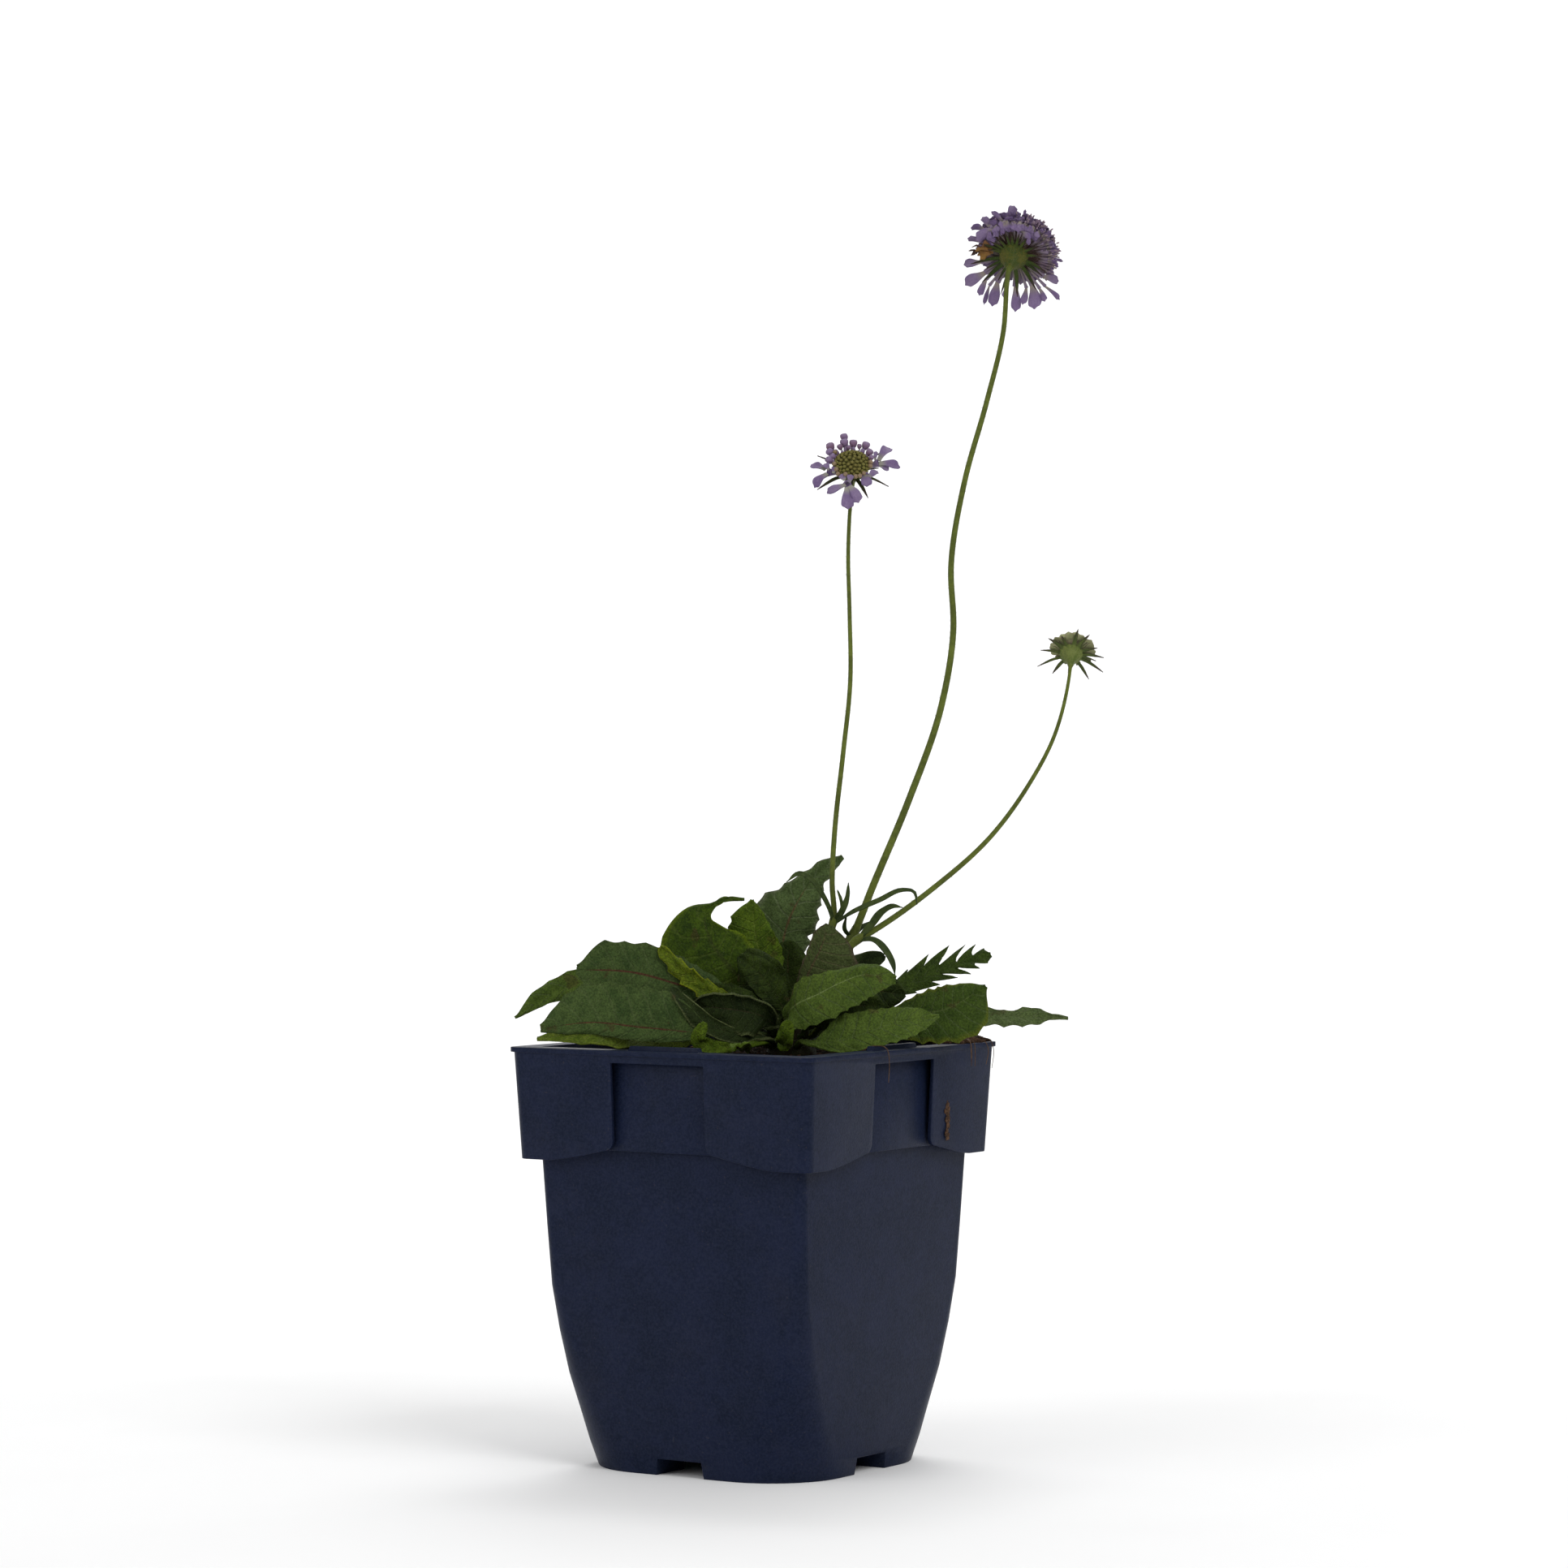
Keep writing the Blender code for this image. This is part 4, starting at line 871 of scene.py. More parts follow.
def copies(seed, moves):
    """One mesh of copies of a seed shape, each laid by its own move; the seed is then removed.

    The whole part of the map's first coordinate counts the copies, so that a finish can vary them.
    """
    plan = bmesh.new()
    shape = bmesh.new()
    shape.from_mesh(seed.data)
    shape.verts.ensure_lookup_table()
    uv_from = shape.loops.layers.uv.active
    uv_to = plan.loops.layers.uv.new("UVMap") if uv_from else None
    for index, move in enumerate(moves):
        verts = [plan.verts.new(move(vert.co)) for vert in shape.verts]
        for face in shape.faces:
            made = plan.faces.new([verts[vert.index] for vert in face.verts])
            if uv_from:
                for loop, source in zip(made.loops, face.loops):
                    loop[uv_to].uv = (source[uv_from].uv.x + index, source[uv_from].uv.y)
    bmesh.ops.recalc_face_normals(plan, faces=plan.faces)
    mesh = bpy.data.meshes.new(seed.name)
    plan.to_mesh(mesh)
    plan.free()
    shape.free()
    bpy.data.objects.remove(seed)
    thing = bpy.data.objects.new(mesh.name, mesh)
    bpy.context.scene.collection.objects.link(thing)
    return thing


def make_crown(finish):
    """The rootstock: a ribbed cone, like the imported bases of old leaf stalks."""
    shoulder = CROWN_TOP - 1.4
    profile = [(0.0, CROWN_TOP), (crown_radius(shoulder) * 0.6, CROWN_TOP - 0.42)]
    for step in range(16):
        height = shoulder - (shoulder - CROWN_SHOULDER) * step / 15.0
        profile.append((crown_radius(height) + 0.12 * math.sin(2.9 * step), height))
    profile += [(CROWN_RADIUS, CROWN_SHOULDER - 4.0), (CROWN_RADIUS, CROWN_FOOT), (0.0, CROWN_FOOT)]
    crown = turned("crown_body", profile, 48)
    for vert in crown.data.vertices:
        angle = math.atan2(vert.co.y, vert.co.x)
        swell = 0.25 * math.sin(9.0 * angle + vert.co.z) * (1.0 if vert.co.z < shoulder else 0.3)
        reach = Vector((vert.co.x, vert.co.y, 0.0))
        vert.co += reach.normalized() * swell if reach.length else reach
    crown.data.transform(Matrix.Translation(CROWN))
    finish_piece(crown, "rootstock", "stem", finish, ["crown"])


# Leaves

# The leaves of the show side. Widths are half widths at even steps along the blade, on one side of the
# rib and on the other; a leaf without them takes half, its greatest half width on either side.
SHOW_LEAVES = (
    dict(name="leaf_front", whorl=0, azimuth=-75, facing=(-0.1, -1, 0.45), stalk=0.3, teeth=11, wave=0.4,
         finish="fresh",
         widths=((1.5, 6, 8.3, 7.6, 6.6, 5.5, 4.3, 2.9, 0.3), (1.2, 3, 4.2, 5.2, 6.1, 6.6, 6, 4.1, 0.3)),
         route=((14.5, -18, 130), (17, -26, 129.8), (27.5, -31, 131.3), (35, -31, 134),
                (45, -29, 137.2), (55.6, -26, 138.4))),
    dict(name="leaf_young_front", whorl=0, azimuth=-101, half=(2.8, 2.6), stalk=0.55, teeth=3,
         finish="bright",
         route=((8.3, -20, 130.2), (8.6, -31, 130), (9.3, -36, 133), (10, -37, 137.6))),
    dict(name="leaf_young_rim", whorl=0, azimuth=-125, half=(3.2, 3.2), stalk=0.65, teeth=3,
         finish="bright",
         route=((0, -24, 129.6), (-4, -42, 129.6), (-4, -54, 131.2))),
    dict(name="leaf_rim_left", whorl=0, azimuth=-158, facing=(0, -0.8, 0.8), stalk=0.34,
         wave=0.5, teeth=9, finish="yellow",
         widths=((1.5, 4.5, 5.5, 5.6, 5.4, 5, 4.2, 2.6, 0.3), (1.5, 4.5, 6.5, 7, 6.6, 6, 5, 3.4, 0.6)),
         route=((-12, -14, 129.8), (-30, -22, 131), (-48, -27, 133.2), (-66, -26, 131.6))),
    dict(name="leaf_red_rib", whorl=1, azimuth=-142, facing=(0, -1, 0.15), stalk=0.36,
         teeth=9, wave=0.5, finish="red_rib",
         widths=((1, 2.6, 3.6, 4, 4, 3.6, 3.2, 2.6, 1), (1.5, 8, 11.6, 12.8, 13, 12.8, 11.8, 7.6, 1.4)),
         route=((0, -15, 132), (-9, -27, 133), (-20, -31, 133.6), (-34, -31, 134.9),
                (-50, -28, 136.3), (-65, -25, 134.4))),
    # leaf_shaded takes the dark finish: painted shade over its blade
    dict(name="leaf_shaded", whorl=1, azimuth=-112, facing=(0, -1, -0.05), stalk=0.26,
         teeth=6, curl=(0.0, 2.0), finish="dark",
         widths=((1.5, 5, 6.8, 7.4, 7.6, 7.2, 6.2, 4.6, 1.5), (1.5, 4, 5.6, 6.4, 6.8, 6.8, 6.2, 5, 1.5)),
         route=((6, -17, 134.8), (2, -24, 138.4), (-7, -26, 140.4), (-19.5, -25, 141.2))),
    dict(name="leaf_centre", whorl=2, azimuth=-88, facing=(0, -1, 0.5), stalk=0.14, teeth=10,
         finish="pale_rib",
         widths=((1.5, 4.5, 6.4, 6.8, 5.6, 4.4, 3.8, 3.4, 1), (1.5, 7, 9, 9.4, 9.8, 9.8, 9, 6.8, 1.5)),
         route=((10.5, -15, 137), (13, -24, 142), (18.6, -27, 144.8), (25.2, -27.5, 148.3), (33, -27.5, 151),
                (42.6, -27, 149.5))),
    dict(name="leaf_broad_left", whorl=2, azimuth=-150, facing=(0, -1, 0.3), stalk=0.25,
         teeth=9, finish="red_rib",
         widths=((1.5, 5, 8, 10.4, 11.4, 11.6, 11, 9, 1.5), (1.5, 4.4, 7, 8.8, 9.4, 9.4, 9.2, 8.6, 1.5)),
         route=((-1, -12, 139), (-11, -16, 144), (-22, -18.5, 147.2), (-37, -19, 151.3), (-54.5, -16, 152))),
    dict(name="leaf_left_tip", whorl=2, azimuth=170, facing=(0, -0.9, 0.5), stalk=0.4, teeth=9,
         finish="fresh",
         widths=((1.2, 3, 4, 4, 3.8, 3.3, 2.7, 1.7, 0.2), (1.2, 3, 4.6, 5.2, 5.2, 4.8, 4.3, 3, 0.2)),
         route=((-8, -1, 139.5), (-25, 4, 145), (-45, 6, 148.5), (-60, 5, 145), (-74.4, 3, 136.6))),
    dict(name="leaf_arched", whorl=3, azimuth=-165, facing=(-0.1, -1, 0.1), stalk=0.2,
         peak=0.42, teeth=9, finish="arched", fold=0.02, depth=0.05,
         widths=((1.5, 11, 18.5, 20.4, 19.4, 13, 1.7, 0.8, 0.15), (1.5, 6, 9, 9.6, 7.6, 2.6, 1.2, 0.7, 0.15)),
         route=((3, -7.5, 142), (-7, -9, 152), (-14, -8, 162), (-15, -6.5, 169), (-10, -5.5, 173),
                (-3.4, -5.5, 173.2))),
    dict(name="leaf_upright", whorl=3, azimuth=160, facing=(0.1, -1, 0.1), stalk=0.3, teeth=9,
         finish="bright",
         widths=((1.5, 5, 7.6, 8.6, 8.8, 8.6, 8, 6.4, 0.4), (1.5, 4.6, 6.8, 7.2, 6.6, 5.6, 4.4, 2.8, 0.4)),
         route=((5, -2.5, 143), (2.5, 0, 152), (0, 1, 162), (-1, 1, 172.9))),
    dict(name="leaf_tall", whorl=3, azimuth=120, facing=(0, -1, 0.05), stalk=0.28, peak=0.4,
         teeth=9, depth=0.2, finish="tall",
         widths=((1.5, 6, 10, 12.4, 10.4, 6, 3.6, 2.8, 0.8), (1.5, 5.4, 9, 9.2, 8.6, 6.8, 4.6, 2.8, 0.8)),
         route=((8.5, 3, 143), (8, 9, 152), (9, 12, 162), (12.5, 12, 171), (18, 12, 179.4), (27, 11, 186))),
    dict(name="leaf_purple", whorl=3, azimuth=-65, facing=(0.15, -1, 0.15), stalk=0.3,
         teeth=8, depth=0.06, finish="purple",
         widths=((1.5, 2, 2.4, 2.8, 3, 3.4, 3.6, 3.2, 1.2), (1.5, 8, 12.5, 15, 15.4, 14, 11, 7.6, 1.6)),
         route=((13.5, -9, 142), (15.5, -11, 150), (20, -11.5, 159), (22.5, -10.5, 165.6))),
    dict(name="leaf_right_fold", whorl=1, azimuth=-32, facing=(0.1, -1, 0.4), stalk=0.45, teeth=8,
         finish="yellow_edge",
         widths=((1.5, 3.6, 5.6, 7, 7.6, 7.4, 6, 3.8, 0.4),
                 (1.5, 6.4, 9.2, 10.2, 11.4, 12.2, 11.4, 7.6, 0.8)),
         route=((20, -10.5, 134.5), (35, -13, 137), (48, -15, 138.2), (58, -15, 140), (70.3, -13, 147))),
    dict(name="leaf_feathered", whorl=2, azimuth=12, half=(6.4, 5), facing=(-0.2, -0.9, 0.5), stalk=0.4,
         teeth=7, depth=0.7, sweep=1.3, keen=1.2, fold=0.05, wave=0.5, finish="deep",
         route=((20, -2, 138), (32, 0, 141.5), (43.5, 2, 145), (54, 3, 150), (72.6, 3, 156))),
    dict(name="leaf_far_right", whorl=1, azimuth=15, facing=(0, -0.8, 0.6), stalk=0.45,
         teeth=8, depth=0.22, wave=0.4, finish="grey",
         widths=((1, 2.6, 3.4, 3, 2.4, 2.2, 4, 1.3, 0.2), (1, 3, 4, 4.2, 4.6, 4.8, 4.4, 1.3, 0.2)),
         route=((22, 0, 133.3), (42, 5, 136), (60, 8, 137.4), (75, 8, 137), (96.8, 8, 136.2))),
    # leaf_small_dark takes the dark finish: painted shade
    dict(name="leaf_small_dark", whorl=2, azimuth=50, half=(4, 4), facing=(0, -1, 0.4), stalk=0.45,
         teeth=4, finish="dark",
         route=((19, 6, 141), (28, 12, 150), (40, 14, 155.3))),
)

# A frilled and a folded margin, a young leaf and a ribbed one among the leaves of the show side
INNER_LEAVES = (
    dict(name="frill", whorl=3, azimuth=-140, half=(3.6, 3), facing=(-0.3, -1, 0.2), stalk=0.3, teeth=6,
         depth=0.42, sweep=0.6, wave=1.0, finish="frill",
         route=((3, -13, 138), (-8, -18, 142.5), (-16, -20.5, 147), (-23, -20.5, 152.5), (-29, -18.5, 159))),
    # fold_left takes the dark finish: painted shade inside the fold
    dict(name="fold_left", whorl=0, azimuth=-118, half=(3.8, 2.4), facing=(0.7, -1, 0.1), stalk=0.3, teeth=4,
         curl=(0.0, 1.6), finish="dark",
         route=((0, -22, 132), (-9, -28, 134), (-16, -30.5, 138), (-21, -30.5, 142.5), (-25, -28, 147))),
    dict(name="stub", whorl=0, azimuth=-135, half=(2.5, 2.2), facing=(0, -1, 0.2), stalk=0.5, teeth=3,
         finish="bright", route=((-2, -22, 129.4), (-13, -33, 129.6), (-17, -37.5, 132), (-15, -38.5, 137))),
    # inner_rib takes the shade finish: painted shade
    dict(name="inner_rib", whorl=3, azimuth=-100, half=(5, 5), facing=(0, -1, 0.1), stalk=0.2, teeth=6,
         finish="shade", route=((8, -12, 141), (5, -13.5, 146), (1, -14, 151), (-5, -13.5, 156))),
)

# Shaded leaves deep in the rosette, whose finish is a painted shade: whorl, azimuth, half widths, share of
# the stalk and route
SHADED_LEAVES = (
    (1, -160, (9, 9), 0.2, ((-3, -7, 137), (-12, -9, 140), (-26, -10, 141), (-38, -10, 139))),
    (1, -128, (7, 8), 0.2, ((2, -13, 136), (-4, -17, 139), (-14, -18, 141), (-22, -17, 142))),
    (2, -120, (8, 8), 0.15, ((6, -10, 141), (3, -11, 147), (0, -11, 153), (-2, -10, 158))),
    (1, -62, (8, 7), 0.2, ((16, -14, 136), (21, -17, 139), (30, -18, 141), (39, -17, 141))),
    (2, -20, (8, 8), 0.15, ((19, -7, 140), (27, -7, 143), (36, -7, 145), (46, -7, 144))),
    (2, 100, (9, 9), 0.15, ((10, 3, 143), (10, 5, 149), (10, 6, 155), (11, 6, 160))),
)

# Leaves behind the flower stalks: whorl, azimuth, length and height of the arch
BACK_LEAVES = (
    (0, 38, 50, 6),
    (0, 72, 58, 7),
    (0, 104, 60, 8),
    (0, 138, 58, 7),
    (1, 56, 44, 13),
    (1, 88, 42, 12),
    (1, 124, 48, 15),
    (1, 160, 50, 10),
    (2, 106, 34, 24),
)


def along_profile(values, t):
    """A smooth value at a share of the way along a row of even steps."""
    spot = min(max(t, 0.0), 1.0) * (len(values) - 1)
    index = min(int(spot), len(values) - 2)
    u = spot - index
    last = len(values) - 1
    before, here, ahead, after = (values[min(max(index + step, 0), last)] for step in (-1, 0, 1, 2))
    bend = 2.0 * before - 5.0 * here + 4.0 * ahead - after + u * (3.0 * (here - ahead) + after - before)
    return max(here + 0.5 * u * (ahead - before + u * bend), 0.15)


def cross_section(position, curl):
    """Where a place across the blade goes when the margins curl: aside and up, as shares of the width."""
    edge = abs(position)
    flat = 0.5
    if not curl or edge <= flat:
        return position, 0.0
    turn = curl * (edge - flat) / (1.0 - flat)
    aside = flat + (1.0 - flat) * math.sin(turn) / curl
    return math.copysign(aside, position), (1.0 - flat) * (1.0 - math.cos(turn)) / curl


def make_leaf(
    name,
    whorl,
    azimuth,
    route,
    finish,
    half=None,
    widths=None,
    facing=(0.0, -1.0, 0.2),
    stalk=0.3,
    peak=0.5,
    teeth=7,
    depth=0.08,
    keen=1.5,
    sweep=0.0,
    fold=0.1,
    wave=0.8,
    curl=(0.0, 0.0),
):
    """One basal leaf: a stalk and a toothed, waved and wrinkled blade along a route from the crown."""
    seat, out = crown_seat(whorl, azimuth)
    points = [seat, seat + SEAT_RUN * out, *[Vector(point) for point in route]]
    blade_rows = ROWS_PER_TOOTH * teeth
    shares = [stalk * row / STALK_ROWS for row in range(STALK_ROWS)]
    shares += [stalk + (1.0 - stalk) * row / blade_rows for row in range(blade_rows + 1)]
    base_facing = Vector((-out.x, -out.y, 1.0)).normalized()
    blade_facing = Vector(facing).normalized()
    drift = Vector((whorl * 7.3, azimuth * 0.37, 0.0))
    rows = []
    spots = []
    weights = []
    for share, (place, along) in zip(shares, smooth_route(points, shares)):
        t = (share - stalk) / (1.0 - stalk)
        on_blade = ease(t, 0.0, 0.12)
        look = base_facing.lerp(blade_facing, ease(share, stalk * 0.4, stalk * 1.2))
        look = (look - along * look.dot(along)).normalized()
        side = along.cross(look)
        width = blade_width(t, peak)
        tooth = 1.0 - abs(2.0 * ((teeth * t) % 1.0) - 1.0) if t > 0 else 0.0
        uneven = 1.0 + 0.9 * noise.noise(drift + Vector((0.0, 0.0, teeth * t * 0.9)))
        slim = ease(share, stalk * 0.5, stalk * 1.3)
        rib_weight = 1.0 - 0.5 * ease(share, stalk, 1.0)
        row = []
        spot = []
        for column in range(LEAF_COLUMNS + 1):
            even = 2.0 * column / LEAF_COLUMNS - 1.0
            position = math.copysign(abs(even) ** 1.2, even)
            edge = abs(position)
            cut = 1.0 - depth * uneven * (1.0 - tooth ** keen) if t > 0 else 1.0
            if widths and t > 0:
                spread = along_profile(widths[position > 0], t) * cut
            elif widths:
                spread = STALK_HALF
            else:
                spread = STALK_HALF + max(half[position > 0] - STALK_HALF, 0.0) * width * cut
            if t > TIP_START and not widths:
                spread = TIP_HALF + (spread - TIP_HALF) * (1.0 - t) / (1.0 - TIP_START)
            aside, up = cross_section(position, curl[0] if position < 0 else curl[1])
            ripple = wave * width * edge * edge * math.sin(math.tau * (WAVES * t + 0.3 * position))
            ripple += 0.3 * on_blade * edge ** 3 * math.sin(math.tau * teeth * 0.5 * t + 3.0 * position)
            phase = teeth * t + VEIN_LEAN * (1.0 - edge) - 0.5
            swell = abs(math.sin(math.pi * phase)) ** 0.8
            quilt = BLISTER * on_blade * swell * math.sqrt(edge) * (1.0 - edge ** 4)
            groove = 0.4 * on_blade * math.exp(-((edge * spread / 0.9) ** 2))
            gutter = 0.5 * spread * edge * edge * (1.0 - on_blade)
            rumple = 0.9 * on_blade * edge * noise.noise(drift + Vector((5.0 * t, 1.8 * position, 0.0)))
            lift = fold * spread * edge - 0.35 * fold * spread * edge * edge
            lift += ripple + quilt - groove + gutter + rumple + up * spread
            lean = sweep * spread * width * edge * tooth
            row.append(place + side * spread * aside + look * lift + along * lean)
            spot.append(((position + 1.0) / 2.0, t))
            margin = math.sqrt(1.0 - 0.7 * edge * edge) * (1.0 - slim) + MARGIN_THICK / RIB_THICK * slim
            rib = max(rib_weight - margin, 0.0) * math.exp(-((edge * spread / 0.7) ** 2))
            weights.append(min(margin + rib, 1.0))
        rows.append(row)
        spots.append(spot)
    blade = add_grid(name, rows, spots)
    solidify(blade, weights)
    nodes = [name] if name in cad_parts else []
    return finish_piece(blade, f"{name}_blade", "leaf", bpy.data.materials[f"leaf_{finish}"], nodes)


def shaded_leaf(index, whorl, azimuth, half, stalk, route):
    """A plain leaf in the shade of the others, given the shade finish, which is painted shade."""
    name = f"inner_{index + 1}"
    return make_leaf(name, whorl, azimuth, route, "shade", half, facing=(0, -1, 0.1), stalk=stalk, teeth=5)


def back_leaf(index, whorl, azimuth, length, arch):
    """A leaf of the hidden side, arched out from the crown by a rule."""
    draw = random.Random(40 + index)
    angle = math.radians(azimuth)
    out = Vector((math.cos(angle), math.sin(angle), 0.0))
    aside = Vector((-out.y, out.x, 0.0)) * draw.uniform(-3.0, 3.0)
    start = CROWN + UP * WHORLS[whorl]
    route = (
        start + out * (9 + 0.16 * length) + UP * arch * 0.5,
        start + out * (9 + 0.45 * length) + UP * arch + aside * 0.5,
        start + out * (9 + 0.75 * length) + UP * arch * 0.95 + aside,
        start + out * (7 + length) + UP * arch * draw.uniform(0.5, 0.75) + aside * 1.4,
    )
    wide = draw.uniform(6.5, 8.5)
    return make_leaf(
        f"leaf_back_{index + 1}",
        whorl,
        azimuth,
        route,
        # every third leaf takes the dark finish, a painted shade
        ("fresh", "pale_rib", "dark")[index % 3],
        (wide, wide),
        facing=(-0.3 * out.x, -0.3 * out.y, 1.0),
        stalk=0.3,
        peak=0.55,
        teeth=8,
        wave=draw.uniform(0.4, 0.9),
    )


# Stalks

STRAP_SLIM = 0.78
STRAP_THICK = 0.45
STRAP_COLUMNS = 6
STEM_SPACING = 2.0
HEAD_RUN = 2.8
HEAD_1_JOINT = Vector((78.9, 6.8, 369.3))
HEAD_2_JOINT = Vector((29.8, 5.4, 302.5))
HEAD_3_JOINT = Vector((97.3, 3.0, 246.6))
HEAD_1_AXIS = Vector((0.22, 0.76, 0.61)).normalized()
HEAD_2_AXIS = Vector((-0.02, -0.74, 0.67)).normalized()
HEAD_3_AXIS = Vector((0.08, 0.8, 0.6)).normalized()

# Each stalk: its seat on the crown, radii, route and the straps at its lowest node
STALKS = (
    dict(name="stalk_1", azimuth=80, radii=(0.95, 0.58), joint=HEAD_2_JOINT, axis=HEAD_2_AXIS,
         route=((13.5, 2.5, 142), (18.5, 3, 154), (24, 3, 166.3), (23.6, 3, 178), (24.4, 3, 194),
                (27, 3, 218), (29.2, 3.5, 240), (29, 4, 262), (28.6, 4.5, 280), (29.2, 5, 294)),
         straps=(
             dict(route=((24, 3, 165.5), (22.8, 1, 169.9), (20.6, 0, 174.4), (17.6, -1, 178.8),
                         (13.4, -2, 181.1), (9.5, -2, 178.4)),
                  halves=(0.7, 0.9, 1.0, 1.0, 0.9, 0.3), facing=(0.3, -1, 0.2)),
             dict(route=((24, 3, 165.5), (26.6, 1, 169.4), (28.2, 0, 173.6), (28.6, -1, 178.2)),
                  halves=(0.7, 1.2, 1.2, 0.8, 0.3), facing=(0, -1, 0)),
             dict(route=((26.6, 1, 169.6), (26.4, 0.5, 172.5), (25.2, 0, 176)),
                  halves=(0.5, 0.6, 0.3), facing=(0, -1, 0)),
             dict(route=((24, 3, 165.2), (30, -1.5, 169.2), (38, -4, 172.8), (45.5, -4.5, 176),
                         (48.5, -4.5, 175.6), (49.6, -4.5, 171.5)),
                  halves=(0.6, 0.7, 1.0, 1.1, 1.1, 1.0, 0.7, 0.3), facing=(0, -1, 0.6)),
         )),
    dict(name="stalk_2", azimuth=38, radii=(1.25, 0.74), joint=HEAD_1_JOINT, axis=HEAD_1_AXIS,
         route=((17, 2, 141), (24, 5, 151), (29.8, 5.5, 161.2), (36.1, 5, 176.7), (47.4, 5, 203.8),
                (57.4, 5, 232.7), (61.1, 5, 256), (60.4, 5, 276), (64.5, 5.5, 301.7), (71.5, 6, 327),
                (76.6, 6.2, 348.4)),
         straps=(
             dict(route=((29.8, 5.5, 161), (27.6, 3, 164), (28, 1.6, 168)), halves=(0.7, 1.0, 0.3),
                  facing=(-0.6, -1, 0)),
             dict(route=((29.8, 5.5, 161), (33, 6.5, 164.5), (35.6, 8, 166)), halves=(0.7, 0.9, 0.3),
                  facing=(0.3, -1, 0.4)),
         )),
    dict(name="stalk_3", azimuth=-2, radii=(1.1, 0.5), joint=HEAD_3_JOINT, axis=HEAD_3_AXIS,
         route=((18.5, -4, 140), (25, -2.5, 150), (30.5, -0.5, 160), (36, 0, 163.2), (54.8, 1, 176.5),
                (72.9, 2, 192.8), (84.4, 2, 208.6), (92, 2.4, 223), (96, 2.8, 237)),
         straps=(
             dict(route=((31.5, -0.3, 160.6), (35.6, -1.6, 165), (39.5, -2, 169.6), (42.2, -2, 171),
                         (45.3, -2, 170.6)),
                  halves=(0.8, 1.4, 1.7, 1.2, 0.3), facing=(-0.5, -1, 0.3)),
             dict(route=((31.5, -0.3, 160.4), (36.5, -3.5, 160.6), (40, -5.5, 157.4), (42.3, -6.5, 152.9),
                         (42.8, -7, 149.9)),
                  halves=(0.7, 1.1, 1.4, 1.2, 0.3), facing=(0, -1, 0.5)),
         )),
)


def tube(name, places, radii, resolution=4):
    """A round tube along places, its radius given place by place, made a mesh with welded caps."""
    curve = bpy.data.curves.new(name, "CURVE")
    curve.dimensions = "3D"
    curve.bevel_depth = 1.0
    curve.bevel_resolution = resolution
    curve.use_fill_caps = True
    spline = curve.splines.new("POLY")
    spline.points.add(len(places) - 1)
    for point, place, radius in zip(spline.points, places, radii):
        point.co = (*place, 1.0)
        point.radius = radius
    thing = bpy.data.objects.new(name, curve)
    bpy.context.scene.collection.objects.link(thing)
    activate(thing)
    bpy.ops.object.convert(target="MESH")
    thing = bpy.context.object
    bpy.ops.object.mode_set(mode="EDIT")
    bpy.ops.mesh.select_all(action="SELECT")
    bpy.ops.mesh.remove_doubles(threshold=0.001)
    bpy.ops.mesh.normals_make_consistent(inside=False)
    bpy.ops.object.mode_set(mode="OBJECT")
    return thing


def strap(name, route, halves, facing, rows=26, fold=0.45):
    """A narrow blade along a route: a bract or the leaf of a stalk, folded along its rib."""
    shares = [row / rows for row in range(rows + 1)]
    look = Vector(facing).normalized()
    grid = []
    spots = []
    weights = []
    for share, (place, along) in zip(shares, smooth_route(route, shares)):
        level = (look - along * look.dot(along)).normalized()
        side = along.cross(level)
        step = min(share * (len(halves) - 1), len(halves) - 1.001)
        index = int(step)
        half = halves[index] + (halves[index + 1] - halves[index]) * ease(step - index, 0.0, 1.0)
        half *= 1.0 - 0.6 * ease(share, 0.9, 1.0)
        line = []
        spot = []
        for column in range(STRAP_COLUMNS + 1):
            position = 2.0 * column / STRAP_COLUMNS - 1.0
            line.append(place + side * half * position + level * fold * half * abs(position))
            spot.append(((position + 1.0) / 2.0, share))
            weights.append((STRAP_THICK - 0.45 * STRAP_THICK * abs(position)) / RIB_THICK)
        grid.append(line)
        spots.append(spot)
    blade = add_grid(name, grid, spots)
    solidify(blade, weights)
    return blade


def make_stalk(name, azimuth, radii, joint, axis, route, straps, finish):
    """A flower stalk: a ribbed tube that swells at its node, with the leaves that grow there."""
    seat, out = crown_seat(3, azimuth)
    points = [seat, seat + SEAT_RUN * out, *route, joint - HEAD_RUN * axis, joint]
    length = sum((Vector(b) - Vector(a)).length for a, b in zip(points, points[1:]))
    count = int(length / STEM_SPACING)
    shares = [index / count for index in range(count + 1)]
    places = [place for place, _ in smooth_route(points, shares)]
    node_place = Vector(straps[0]["route"][0])
    swelling = []
    for share, place in zip(shares, places):
        plain = radii[0] + (radii[1] - radii[0]) * share
        near = math.exp(-(((place - node_place).length / 2.6) ** 2))
        head = ease(share, 1.0 - 5.0 / length, 1.0)
        swelling.append(plain * (1.0 + 0.55 * near + 0.9 * head * head))
    finish_piece(tube(name, places, swelling), f"flower_{name}", "stem", finish, [name])
    blades = []
    for index, spec in enumerate(straps):
        halves = [STRAP_SLIM * half for half in spec["halves"]]
        blades.append(strap(f"{name}_strap_{index}", spec["route"], halves, spec["facing"]))
    leaves = join(blades, f"{name}_leaves")
    finish_piece(leaves, f"{name}_leaves", "stem", bpy.data.materials["strap_green"], [name])


# Flower heads, each worked out in its own frame with z along the way it faces

PROFILE_STEPS = 26
PETAL_THICK = 0.3
PETAL_ROWS = 12
PETAL_COLUMNS = 6
BRACT_ARCH = 0.09
